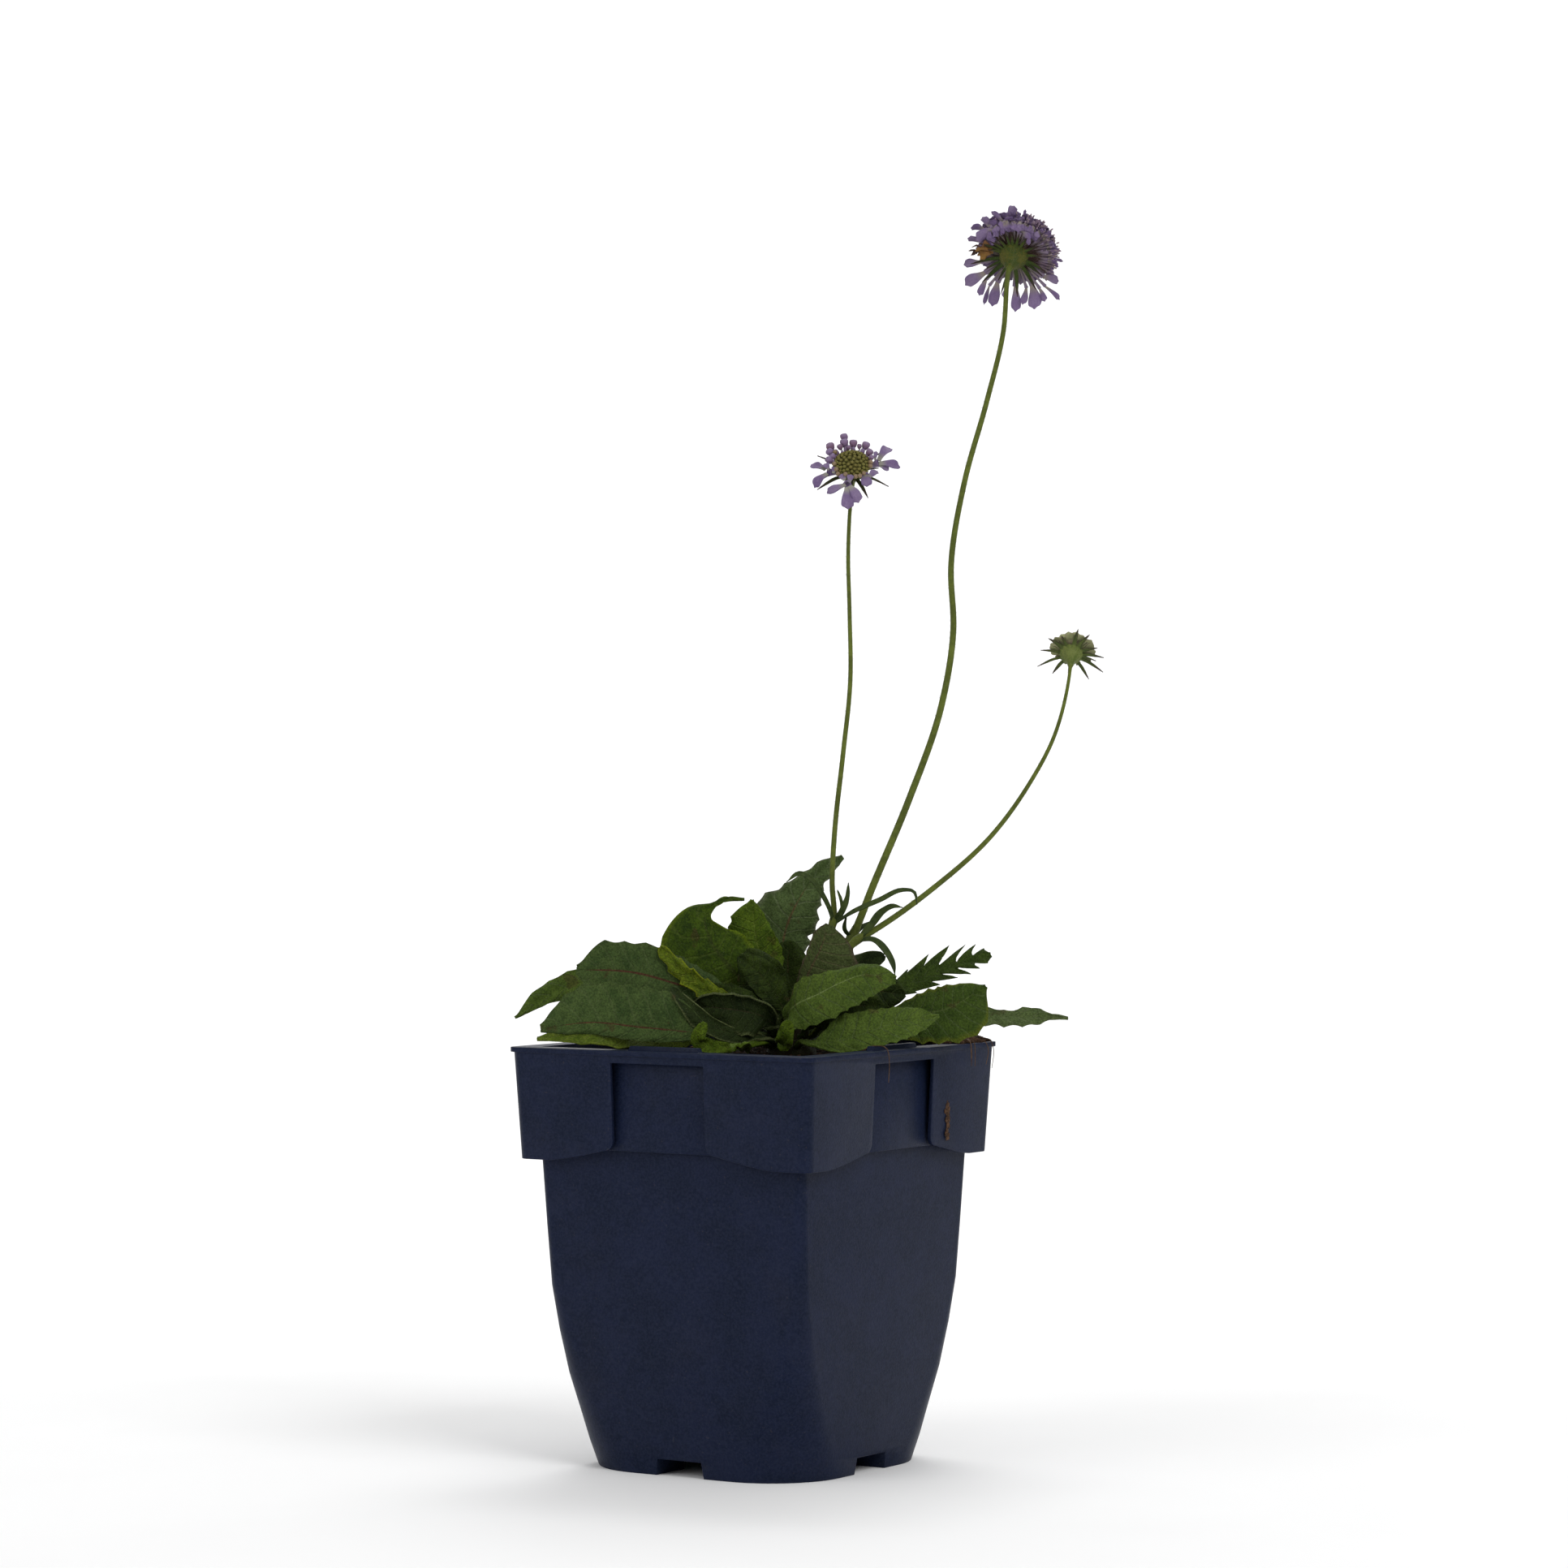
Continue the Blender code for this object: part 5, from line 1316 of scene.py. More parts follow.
# Counts of the full head's crowded parts
UPPER_LOBES = 46
HANGING_LIPS = 22
PALE_TUBES = 150
RIGHT_LOBES = 40
FILAMENTS = 170
BRISTLES = 190
# Middle of the full head as it shows, right of and above its joint
CROWD_RIGHT = 1.2
CROWD_ABOVE = 3.0
# Lobes of a floret on the side that faces away: twist from its azimuth, radius, height and half width
OUTER_FLORET = ((-10, 12.6, 11.0, 1.8), (9, 13.0, 10.0, 1.8), (0, 9.6, 12.8, 1.5))
INNER_FLORET = ((-18, 8.8, 13.6, 1.5), (14, 8.2, 14.2, 1.5), (0, 4.6, 15.0, 1.3))
# Where the dark bristles gather round the full head
BRISTLE_AZIMUTHS = (-128.0, -98.0, -84.0, -40.0, -22.0, -8.0, 6.0, 24.0, 150.0)
FULL_RECEPTACLE = (
    (0.0, 6.4), (3.2, 6.2), (4.5, 5.2), (4.3, 4.0), (3.4, 2.4), (2.6, 1.0), (2.0, -0.2), (1.55, -1.4),
    (1.0, -2.3), (0.0, -2.5),
)
FULL_CORE = ((0.0, 12.2), (3.8, 11.7), (6.3, 10.2), (7.2, 8.6), (6.6, 7.2), (4.2, 6.4), (0.0, 6.4))
OPEN_RECEPTACLE = (
    (0.0, 4.3), (2.6, 4.0), (3.7, 3.2), (3.2, 2.1), (1.9, 0.8), (1.1, -0.3), (0.7, -1.5), (0.0, -1.7),
)
OPEN_DISC = ((0.0, 8.0), (2.2, 7.8), (4.3, 7.0), (5.3, 6.0), (4.8, 5.0), (2.8, 4.3), (0.0, 4.3))
BUD_RECEPTACLE = (
    (0.0, 4.4), (2.8, 4.2), (3.7, 3.4), (3.2, 2.3), (2.3, 1.2), (1.6, 0.2), (1.1, -1.0), (0.62, -3.0),
    (0.0, -3.2),
)
BUD_CORE = ((0.0, 8.2), (2.6, 7.8), (4.3, 6.8), (4.7, 5.8), (4.2, 5.0), (3.0, 4.5), (0.0, 4.5))

# Places on the heads: how far right of and above the joint they show from the show side, and how high
# they lie along the way the head faces. Lobes of the full head: root, tip and half width.
FULL_LOBES = (
    ((-4.4, 10.8, 6.0), (-10.9, 8.1, 4.6), 2.3),
    ((-8.7, 11.4, 8.0), (-12.3, 11.7, 7.4), 1.3),
    ((-9.3, 7.1, 7.0), (-13.3, 8.4, 6.6), 1.1),
    ((-7.0, 12.3, 8.6), (-8.7, 14.9, 9.0), 1.35),
    ((-4.1, 11.4, 8.4), (-6.3, 13.8, 8.6), 1.4),
    ((-2.2, 13.9, 9.6), (-6.0, 16.5, 10.0), 0.95),
    ((-1.1, 15.0, 10.4), (1.4, 18.2, 11.6), 1.45),
    ((-1.5, 14.3, 7.6), (-3.2, 11.2, 5.4), 1.5),
    ((0.5, 13.8, 7.4), (-0.1, 10.8, 5.2), 1.6),
    ((2.9, 10.9, 6.0), (6.4, 6.8, 2.6), 1.9),
    ((1.6, 14.0, 10.0), (2.2, 16.6, 11.0), 1.3),
    ((4.0, 14.4, 10.2), (4.6, 17.2, 11.6), 0.45),
    ((4.5, 12.6, 9.6), (7.0, 14.6, 10.8), 1.4),
    ((6.8, 11.4, 9.4), (10.4, 12.6, 10.6), 1.4),
    ((3.1, 12.8, 7.2), (4.7, 10.0, 5.2), 1.5),
    ((7.6, 9.8, 8.8), (9.6, 11.6, 8.4), 1.1),
    ((12.4, 3.4, 7.6), (14.9, 5.1, 8.0), 0.8),
    ((12.7, 1.6, 7.0), (16.3, 1.2, 6.8), 0.45),
    ((12.1, 0.8, 6.8), (14.9, -0.5, 6.2), 0.85),
    ((10.4, -4.2, 5.4), (15.0, -5.1, 4.0), 1.5),
    ((11.2, -7.4, 4.4), (15.3, -10.7, 2.6), 0.8),
    ((9.5, -8.2, 4.0), (10.7, -11.3, 2.8), 1.0),
    ((7.0, -6.6, 4.2), (7.7, -13.6, 1.6), 2.1),
    ((5.2, -7.8, 4.0), (3.8, -12.3, 2.0), 1.1),
    ((1.5, -7.0, 3.6), (1.4, -14.4, 1.2), 1.55),
    ((-1.2, -7.0, 4.0), (-2.1, -10.1, 2.8), 0.8),
    ((-4.4, -5.6, 4.2), (-5.6, -12.7, 1.6), 1.75),
    ((-7.2, -7.0, 4.2), (-8.2, -12.2, 2.6), 0.7),
    ((-8.2, -5.0, 4.6), (-9.8, -9.4, 3.4), 1.15),
    ((-8.2, -2.7, 5.0), (-14.0, -6.3, 3.0), 1.9),
    ((-9.7, 0.8, 6.0), (-14.5, -0.1, 4.6), 1.5),
)
# Tips of the bracts, with their half widths
FULL_BRACTS = (
    (-9.9, 6.7, 3.4, 0.5), (-7.0, 4.7, 3.0, 0.42), (-12.3, 0.3, 2.2, 0.6), (-8.0, -1.4, 2.0, 0.45),
    (-8.9, -5.4, 1.0, 0.68), (-4.0, -5.0, 1.2, 0.4), (-3.1, -9.2, 0.6, 0.42), (2.1, -9.9, 0.2, 0.62),
    (7.8, -7.6, 0.8, 0.6), (11.0, -2.3, 2.0, 0.62), (9.8, -3.4, 2.6, 0.4), (9.6, 2.6, 3.0, 0.45),
    (8.3, 5.6, 3.6, 0.4), (5.4, 8.6, 4.0, 0.42), (2.6, 9.6, 4.0, 0.42), (0.2, 9.9, 4.0, 0.42),
    (-1.8, 10.2, 4.0, 0.4), (-4.4, 8.6, 3.8, 0.42), (-6.2, 7.2, 3.6, 0.4),
)
FULL_WITHERED = (
    ((-5.4, 4.0, 4.6), (-10.4, 3.0, 2.6), 1.5),
    ((-6.0, 5.0, 4.4), (-9.2, 5.9, 3.0), 1.2),
    ((-6.4, 3.6, 3.6), (-9.6, 1.9, 2.4), 1.2),
    ((-7.0, 4.6, 3.2), (-11.0, 4.6, 2.6), 0.8),
)
# The withered floret's dark end
FULL_WITHERED_END = (
    ((-9.6, 3.8, 2.8), (-12.2, 3.2, 3.2), 0.6),
    ((-10.4, 3.4, 3.0), (-12.9, 4.6, 3.4), 0.4),
    ((-9.4, 5.4, 3.2), (-12.0, 5.6, 3.4), 0.25),
)
# Lobes of the opening head
OPEN_LOBES = (
    ((8.2, 6.2, 6.6), (11.6, 10.4, 6.8), 1.6),
    ((8.2, 5.0, 6.2), (15.0, 4.3, 5.0), 1.75),
    ((7.1, 6.2, 7.0), (7.5, 9.1, 8.4), 0.65),
    ((8.6, 4.4, 6.0), (11.4, 3.2, 5.4), 1.0),
    ((4.0, 1.8, 6.6), (4.5, -1.8, 5.6), 1.75),
    ((5.0, 0.8, 6.4), (8.0, 2.9, 6.8), 1.3),
    ((-2.3, 0.0, 6.8), (-3.5, 1.9, 8.0), 1.3),
    ((-0.9, -0.6, 6.8), (-0.1, 1.8, 8.0), 1.1),
    ((-2.0, -1.4, 6.0), (-7.8, -4.0, 4.2), 1.55),
    ((-1.5, -2.2, 5.8), (-1.3, -8.8, 2.6), 2.0),
    ((-0.9, -1.8, 5.8), (2.2, -6.7, 3.4), 1.85),
    ((-8.2, 3.2, 6.2), (-12.8, 5.0, 5.6), 1.5),
    ((-7.7, 2.2, 6.0), (-11.9, -2.0, 4.4), 1.45),
    ((-7.1, 3.2, 6.8), (-8.6, 5.2, 7.6), 1.05),
    ((-5.8, 2.2, 7.0), (-5.4, 4.2, 7.8), 0.9),
    ((-7.4, 1.4, 5.6), (-9.4, 0.4, 4.6), 0.5),
)
OPEN_THROATS = ((8.1, 5.4, 6.3), (-7.2, 2.5, 6.2), (-1.5, -1.2, 6.2), (4.3, 1.3, 6.4))
# Closed florets round the disc, with their radii
OPEN_CLOSED = (
    (-2.4, 13.3, 7.2, 1.2), (-2.4, 11.5, 7.8, 1.3), (-6.7, 10.3, 7.0, 1.35), (-6.8, 8.7, 7.4, 1.2),
    (-5.9, 7.4, 7.8, 0.9), (-7.0, 6.2, 7.2, 1.2), (0.4, 11.3, 7.6, 1.25), (4.2, 10.7, 7.4, 1.25),
    (5.3, 8.6, 7.6, 1.15), (-3.7, 10.3, 7.8, 0.9), (2.3, 10.5, 7.8, 0.75), (-1.0, 10.2, 8.0, 0.7),
    (5.9, 7.0, 7.6, 0.85),
)
OPEN_PEACH = (
    (-5.4, 5.0, 7.6, 0.75), (-4.8, 3.3, 7.4, 0.78), (-4.3, 2.0, 7.2, 0.7), (-2.0, 1.9, 7.9, 0.72),
    (1.1, 1.2, 7.6, 0.72), (2.4, 1.4, 7.8, 0.7), (3.6, 2.2, 7.6, 0.65), (5.6, 4.4, 7.4, 0.7),
    (-5.2, 8.7, 7.9, 0.65), (5.7, 5.6, 7.8, 0.7),
)
OPEN_BRACTS = (
    (-10.7, 7.6, 4.2, 0.4), (-10.8, -2.9, 1.6, 0.62), (5.0, -5.5, 1.6, 0.62), (11.3, -1.9, 2.4, 0.42),
    (8.2, 3.8, 3.4, 0.4), (-0.3, -5.6, 2.2, 0.4), (9.4, 8.8, 4.0, 0.4), (2.6, 10.4, 4.2, 0.4),
    (-3.6, 10.2, 4.2, 0.4),
)
# Tips of the bud's bracts, with their half widths, and the lobes of its closed outer florets
BUD_BRACTS = (
    (2.3, 9.9, 4.0, 0.6), (5.8, 8.1, 3.6, 0.6), (8.2, 4.0, 2.8, 0.55), (10.2, 1.0, 2.2, 0.5),
    (7.8, 0.0, 2.2, 0.32), (10.0, -3.5, 0.8, 0.52), (5.6, -5.7, 0.2, 0.5), (-0.8, -5.4, 0.2, 0.36),
    (-5.7, -3.9, 0.6, 0.56), (-10.3, -1.7, 1.6, 0.42), (-9.3, 3.3, 2.8, 0.46), (-6.9, 7.0, 3.6, 0.6),
    (-2.9, 7.8, 3.8, 0.55), (-3.8, 6.5, 4.0, 0.28), (2.3, 6.4, 4.0, 0.28), (5.1, 5.7, 3.8, 0.24),
)
BUD_LOBES = (
    ((0.2, 3.8, 4.4), (0.2, 8.8, 5.2), 1.9),
    ((-1.4, 3.6, 4.3), (-3.1, 7.6, 5.0), 1.5),
    ((-2.2, 3.2, 4.2), (-5.0, 7.4, 4.9), 1.5),
    ((-2.6, 2.8, 4.2), (-6.2, 5.4, 4.7), 1.5),
    ((-2.9, 2.4, 4.1), (-6.1, 3.6, 4.5), 1.5),
    ((1.8, 3.6, 4.3), (3.9, 7.9, 5.0), 1.5),
    ((3.0, 3.0, 4.2), (6.4, 6.5, 4.8), 1.5),
    ((3.4, 2.6, 4.2), (7.2, 4.9, 4.6), 1.4),
    ((3.4, 2.2, 4.1), (7.7, 3.1, 4.4), 1.4),
    ((3.6, 1.2, 4.2), (6.2, -0.3, 3.6), 0.9),
    ((-2.6, 1.6, 4.2), (-4.9, 1.0, 3.8), 0.8),
    ((1.6, 0.4, 4.0), (2.6, -1.2, 3.4), 0.8),
    ((-1.2, 0.6, 4.0), (-1.8, -0.9, 3.6), 0.7),
)


def polar(radius, azimuth, height):
    """A point of a head's own frame."""
    angle = math.radians(azimuth)
    return Vector((radius * math.cos(angle), radius * math.sin(angle), height))


def head_frame(joint, axis):
    """Matrix of a head's own frame: z along the way it faces, x to the right of the show side."""
    aside = (Vector((1.0, 0.0, 0.0)) - axis * axis.x).normalized()
    matrix = Matrix((aside, axis.cross(aside), axis)).transposed().to_4x4()
    matrix.translation = joint + CLEARANCE * axis
    return matrix


def seen_place(joint, axis, right, above, height):
    """A point of a head's own frame from where it shows and its height along the way the head faces."""
    into = head_frame(joint, axis).inverted()
    eye = into @ Vector(CAMERA_AT)
    spot = into @ (joint + Vector((right, 0.0, above)))
    return eye.lerp(spot, (height - eye.z) / (spot.z - eye.z))


def outward(place):
    """The level way out from the head's axis at a place."""
    return Vector((place.x, place.y, 0.0)).normalized()


def smooth_profile(profile):
    """A turned profile with smooth steps between its corners."""
    shares = [step / PROFILE_STEPS for step in range(PROFILE_STEPS + 1)]
    places = smooth_route([(radius, 0.0, height) for radius, height in profile], shares)
    return [(max(place.x, 0.05), place.z) for place, _ in places]


def ribbed(name, profile, ribs, depth):
    """A turned piece whose side runs out in low ribs."""
    thing = turned(name, smooth_profile(profile), 6 * ribs)
    for vert in thing.data.vertices:
        angle = math.atan2(vert.co.y, vert.co.x)
        swell = 1.0 + depth * math.cos(ribs * angle) * ease(vert.co.z, -1.0, 3.0)
        vert.co.x *= swell
        vert.co.y *= swell
    return thing


def petal_seed(name, claw, widest, tip):
    """A flat petal of unit length and half width with its thickness, spoon-shaped from a narrow claw."""
    grid = []
    spots = []
    for row in range(PETAL_ROWS + 1):
        v = row / PETAL_ROWS
        along = 1.0 - (1.0 - v) ** 1.5
        half = claw + (1.0 - claw) * ease(along, 0.0, widest)
        past = max(along - widest, 0.0) / (1.0 - widest)
        half *= max(math.sqrt(max(1.0 - past ** 2.8, 0.0)), tip)
        line = []
        for column in range(PETAL_COLUMNS + 1):
            across = 2.0 * column / PETAL_COLUMNS - 1.0
            pulled = 0.09 * across * across * past ** 3
            line.append((half * across, along - pulled, 0.0))
        grid.append(line)
        spots.append([(0.02 + 0.96 * column / PETAL_COLUMNS, v) for column in range(PETAL_COLUMNS + 1)])
    seed = add_grid(name, grid, spots)
    modify(seed, "SOLIDIFY", thickness=PETAL_THICK, offset=0.0)
    return seed


def petal_move(start, stop, half, facing, bow, cup, ruffle, phase):
    """How a flat petal is laid from its root to its tip, bowed, cupped and ruffled."""
    start = Vector(start)
    along = Vector(stop) - start
    length = along.length
    along = along / length
    side = along.cross(Vector(facing)).normalized()
    face = side.cross(along)

    def move(point):
        x, y, z = point
        edge = x * x
        wavy = math.sin(8.0 * y + phase + (2.1 if x < 0 else 0.0))
        rise = bow * length * math.sin(math.pi * y) - 0.6 * bow * length * y * y
        lift = (cup * edge + ruffle * edge * y * wavy) * half + 0.1 * half * math.sin(5.0 * y + 2.0 * phase)
        drift = 0.1 * half * math.sin(3.0 * y + phase) + 0.07 * x * half * math.sin(7.0 * y + 1.7 * phase)
        return start + along * length * y + side * (half * x + drift * y) + face * (rise + lift + z)

    return move


def even_rings(levels, sides):
    """Level rings with even corners, one for each radius and height."""
    rings = []
    for radius, height in levels:
        rings.append([polar(radius, 360.0 * side / sides, height) for side in range(sides)])
    return rings


def spike_seed(name, sides, knob=0.0):
    """An upright spike of unit height and radius, with a small knob at its end where it is asked for."""
    levels = [(1.0, 0.0), (0.8, 0.45), (0.55, 0.88)]
    if knob:
        levels += [(knob, 0.91), (knob * 1.1, 0.96), (knob * 0.6, 1.0)]
    else:
        levels += [(0.12, 1.0)]
    return stacked(name, even_rings(levels, sides))


def spike_move(start, stop, radius, bend=0.0, towards=UP):
    """How a spike is laid between two places, with a bend towards a side."""
    start = Vector(start)
    way = Vector(stop) - start
    length = way.length
    turn = UP.rotation_difference(way).to_matrix()
    towards = Vector(towards)

    def move(point):
        x, y, z = point
        return start + turn @ Vector((x * radius, y * radius, z * length)) + towards * bend * length * z * z

    return move


def tube_seed(name, sides=7):
    """The tube of a floret, of unit height and radius, which widens to its open throat."""
    levels = (
        (0.42, 0.0), (0.46, 0.3), (0.58, 0.6), (0.8, 0.85), (1.0, 1.0), (0.82, 1.01), (0.5, 0.9), (0.12, 0.8),
    )
    seed = stacked(name, even_rings(levels, sides))
    around = [0.5 + 0.46 * math.sin(math.atan2(vert.co.y, vert.co.x)) for vert in seed.data.vertices]
    set_uvs(seed, [(share, 0.3 * vert.co.z) for share, vert in zip(around, seed.data.vertices)])
    return seed


def bud_seed(name):
    """A closed floret: a plump bud whose lobes fold over a dimple at its top."""
    levels = ((0.35, -1.0), (0.78, -0.55), (1.0, 0.0), (0.98, 0.42), (0.74, 0.8), (0.42, 0.92), (0.14, 0.76))
    rings = []
    for radius, height in levels:
        lobed = 0.14 * ease(height, -0.3, 0.8)
        ring = []
        for side in range(10):
            ring.append(polar(radius * (1.0 + (lobed if side % 2 else -lobed)), 36.0 * side, height))
        rings.append(ring)
    seed = stacked(name, rings)
    set_uvs(seed, [(0.5, 0.5 + 0.5 * vert.co.z) for vert in seed.data.vertices])
    return seed


def bud_move(place, size, out, tall, spin):
    """How a closed bud is set at a place, facing out."""
    turn = UP.rotation_difference(Vector(out)).to_matrix() @ Matrix.Rotation(spin, 3, "Z")
    place = Vector(place)

    def move(point):
        x, y, z = point
        return place + turn @ Vector((x * size, y * size, z * size * tall))

    return move


def bract(foot, tip, half):
    """A narrow pointed bract from the receptacle to its tip, arched a little."""
    arch = UP * BRACT_ARCH * (tip - foot).length
    route = (foot, foot.lerp(tip, 0.33) + arch, foot.lerp(tip, 0.68) + arch * 0.7, tip)
    halves = (half * 0.8, half, half, half * 0.85, half * 0.5, half * 0.14)
    return strap("bract", route, halves, UP, rows=14, fold=0.3)


def crowned_positions(count, reach, tall, base, lean_most):
    """Places over a dome by the golden angle, with the way out at each."""
    places = []
    for index in range(count):
        lean = math.radians(lean_most) * math.sqrt((index + 0.5) / count)
        out = polar(math.sin(lean), GOLDEN_ANGLE * index, math.cos(lean))
        places.append((Vector((out.x * reach, out.y * reach, base + tall * out.z)), out))
    return places


def head_piece(thing, name, slot, finish, nodes, joint, axis):
    """Bring a piece of a head from the head's frame to the plant and finish it."""
    thing.data.transform(head_frame(joint, axis))
    return finish_piece(thing, name, slot, bpy.data.materials[finish], nodes, PLANT_TO_ROW, 60.0)


def green_parts(head, node, place, profile, ribs, depth, tips, foot, finishes):
    """A head's ribbed receptacle, and the bracts that stand out from a foot radius and height on it."""
    receptacle = ribbed("receptacle", profile, ribs, depth)
    head_piece(receptacle, f"{head}_receptacle", "bract", finishes[0], [node], *place)
    bracts = []
    for right, above, height, half in tips:
        tip = seen_place(*place, right, above, height)
        bracts.append(bract(outward(tip) * foot[0] + UP * foot[1], tip, half))
    head_piece(join(bracts, "bracts"), f"{head}_bracts", "bract", finishes[1], [node], *place)


def full_show_lobes(place, draw, lobes, tubes):
    """The lobes that the show side tells apart, with the tubes they stand on."""
    for start, stop, half in FULL_LOBES:
        root = seen_place(*place, *start)
        tip = seen_place(*place, *stop)
        root = root.lerp(outward(root) * 4.2 + UP * 5.8, 0.12)
        facing = UP + 0.25 * outward(tip)
        bow = draw.uniform(0.04, 0.14)
        lobes.append(petal_move(root, tip, half, facing, bow, 0.18, 0.24, draw.uniform(0, 6)))
        foot = outward(root) * 4.2 + UP * 5.8
        for share in (-0.4, 0.4) if half > 1.2 else (0.0,):
            across = UP.cross(outward(root)) * share
            tubes.append(spike_move(foot + across, root.lerp(tip, 0.06) + across, 0.62, 0.04))


def full_crowd(place, draw, lobes):
    """Lobes that fill the crowded upper side, and the lower lips that hang before the tubes there."""
    for index in range(UPPER_LOBES):
        angle = math.radians(24.0 + 134.0 * (index + 0.5) / UPPER_LOBES + draw.uniform(-5.0, 5.0))
        way = Vector((math.cos(angle), math.sin(angle)))
        reach = draw.uniform(8.8, 12.2)
        near = way * (reach - 2.4) + Vector((CROWD_RIGHT, CROWD_ABOVE))
        right = CROWD_RIGHT + draw.uniform(-1.0, 1.0)
        far = way * reach + Vector((right, CROWD_ABOVE + draw.uniform(-1.0, 1.0)))
        root = seen_place(*place, near.x, near.y, 7.6)
        tip = seen_place(*place, far.x, far.y, draw.uniform(7.0, 10.0))
        facing = UP + 0.6 * outward(tip)
        lobes.append(petal_move(root, tip, draw.uniform(1.0, 1.5), facing, 0.15, 0.2, 0.3, index))
    for index in range(HANGING_LIPS):
        angle = math.radians(38.0 + 118.0 * (index + 0.5) / HANGING_LIPS + draw.uniform(-4.0, 4.0))
        way = Vector((math.cos(angle), math.sin(angle)))
        near = way * draw.uniform(9.6, 11.0) + Vector((CROWD_RIGHT, CROWD_ABOVE))
        far = way * draw.uniform(6.8, 8.4) + Vector((CROWD_RIGHT + draw.uniform(-1.0, 1.0), 3.2))
        root = seen_place(*place, near.x, near.y, 7.2)
        tip = seen_place(*place, far.x, far.y, draw.uniform(4.8, 5.6))
        lobes.append(petal_move(root, tip, draw.uniform(1.0, 1.5), -UP, 0.15, 0.25, 0.35, 2.3 * index))


def full_front(draw, lobes):
    """Two rings of florets on the side that faces away, each floret of three lobes."""
    for index in range(12):
        azimuth = 30.0 * index + 16.0 + 6.0 * math.sin(2.3 * index)
        for twist, radius, height, half in OUTER_FLORET:
            root = polar(7.0, azimuth, 9.6)
            tip = polar(radius, azimuth + twist + draw.uniform(-4, 4), height)
            lobes.append(petal_move(root, tip, half, UP, 0.12, 0.2, 0.22, draw.uniform(0, 6)))
    for index in range(9):
        azimuth = 40.0 * index + 9.0 * math.sin(1.7 * index)
        for twist, radius, height, half in INNER_FLORET:
            root = polar(3.6, azimuth, 11.2)
            tip = polar(radius, azimuth + twist, height)
            lobes.append(petal_move(root, tip, half, UP, 0.14, 0.24, 0.22, draw.uniform(0, 6)))


def full_small_parts(place, draw, lobes, tubes):
    """Pale tubes all round under the lobes, and small lobes where florets crowd on the right."""
    for index in range(PALE_TUBES):
        azimuth = 360.0 * index / PALE_TUBES + draw.uniform(-2.0, 2.0)
        foot = polar(4.3, azimuth, draw.uniform(5.6, 6.6))
        throat = polar(draw.uniform(8.8, 11.4), azimuth + draw.uniform(-7, 7), draw.uniform(5.6, 9.6))
        tubes.append(spike_move(foot, throat, draw.uniform(0.34, 0.52), draw.uniform(-0.04, 0.1)))
    for index in range(RIGHT_LOBES):
        angle = math.radians(draw.uniform(-34.0, 44.0))
        way = Vector((math.cos(angle), math.sin(angle)))
        near = way * 10.4 + Vector((CROWD_RIGHT, 2.6))
        far = way * draw.uniform(12.0, 13.6) + Vector((CROWD_RIGHT, 2.6 + draw.uniform(-0.8, 0.8)))
        tip = seen_place(*place, far.x, far.y, draw.uniform(5.5, 10.5))
        root = seen_place(*place, near.x, near.y, draw.uniform(6.0, 8.6))
        lobes.append(petal_move(root, tip, draw.uniform(0.4, 0.75), UP + outward(tip), 0.1, 0.3, 0.4, index))


def full_threads(place, draw):
    """The full head's filaments, and the dark bristles under its lobes."""
    pins = []
    for _ in range(FILAMENTS):
        azimuth = draw.uniform(-74.0, 42.0)
        root = polar(6.0, azimuth, draw.uniform(5.8, 7.4))
        tip = polar(draw.uniform(12.0, 14.0), azimuth + draw.uniform(-5, 5), draw.uniform(5.6, 10.5))
        pins.append(spike_move(root, tip, 0.11, draw.uniform(-0.08, 0.1)))
    for spot, out in crowned_positions(44, 7.0, 4.6, 7.4, 84.0):
        tip = spot + out * draw.uniform(4.0, 6.4)
        pins.append(spike_move(spot, tip, 0.1, draw.uniform(-0.1, 0.1), (1, 0, 0)))
    filaments = copies(spike_seed("filament", 5, 2.2), pins)
    head_piece(filaments, "full_filaments", "petal", "filament_pale", [], *place)
    bristles = []
    for _ in range(BRISTLES):
        azimuth = draw.choice(BRISTLE_AZIMUTHS) + draw.gauss(0.0, 11.0)
        root = polar(draw.uniform(4.0, 4.6), azimuth, draw.uniform(4.8, 6.0))
        tip = polar(draw.uniform(6.6, 9.4), azimuth + draw.uniform(-8, 8), draw.uniform(4.6, 7.4))
        bristles.append(spike_move(root, tip, 0.15, draw.uniform(-0.06, 0.1)))
    dark = copies(spike_seed("bristle", 4), bristles)
    head_piece(dark, "full_bristles", "bract", "bristle_brown", [], *place)


def full_withered(place):
    """The withered floret and its dark end."""
    for name, specs, bow, cup, phase, finish in (
        ("withered_floret", FULL_WITHERED, 0.2, 0.7, 5.0, "withered_orange"),
        ("withered_end", FULL_WITHERED_END, 0.3, 0.9, 9.0, "bristle_brown"),
    ):
        moves = []
        for start, stop, half in specs:
            root = seen_place(*place, *start)
            moves.append(petal_move(root, seen_place(*place, *stop), half, UP, bow, cup, 0.9, phase * half))
        dry = copies(petal_seed(name, 0.5, 0.5, 0.2), moves)
        head_piece(dry, f"full_{name}", "petal", finish, [], *place)


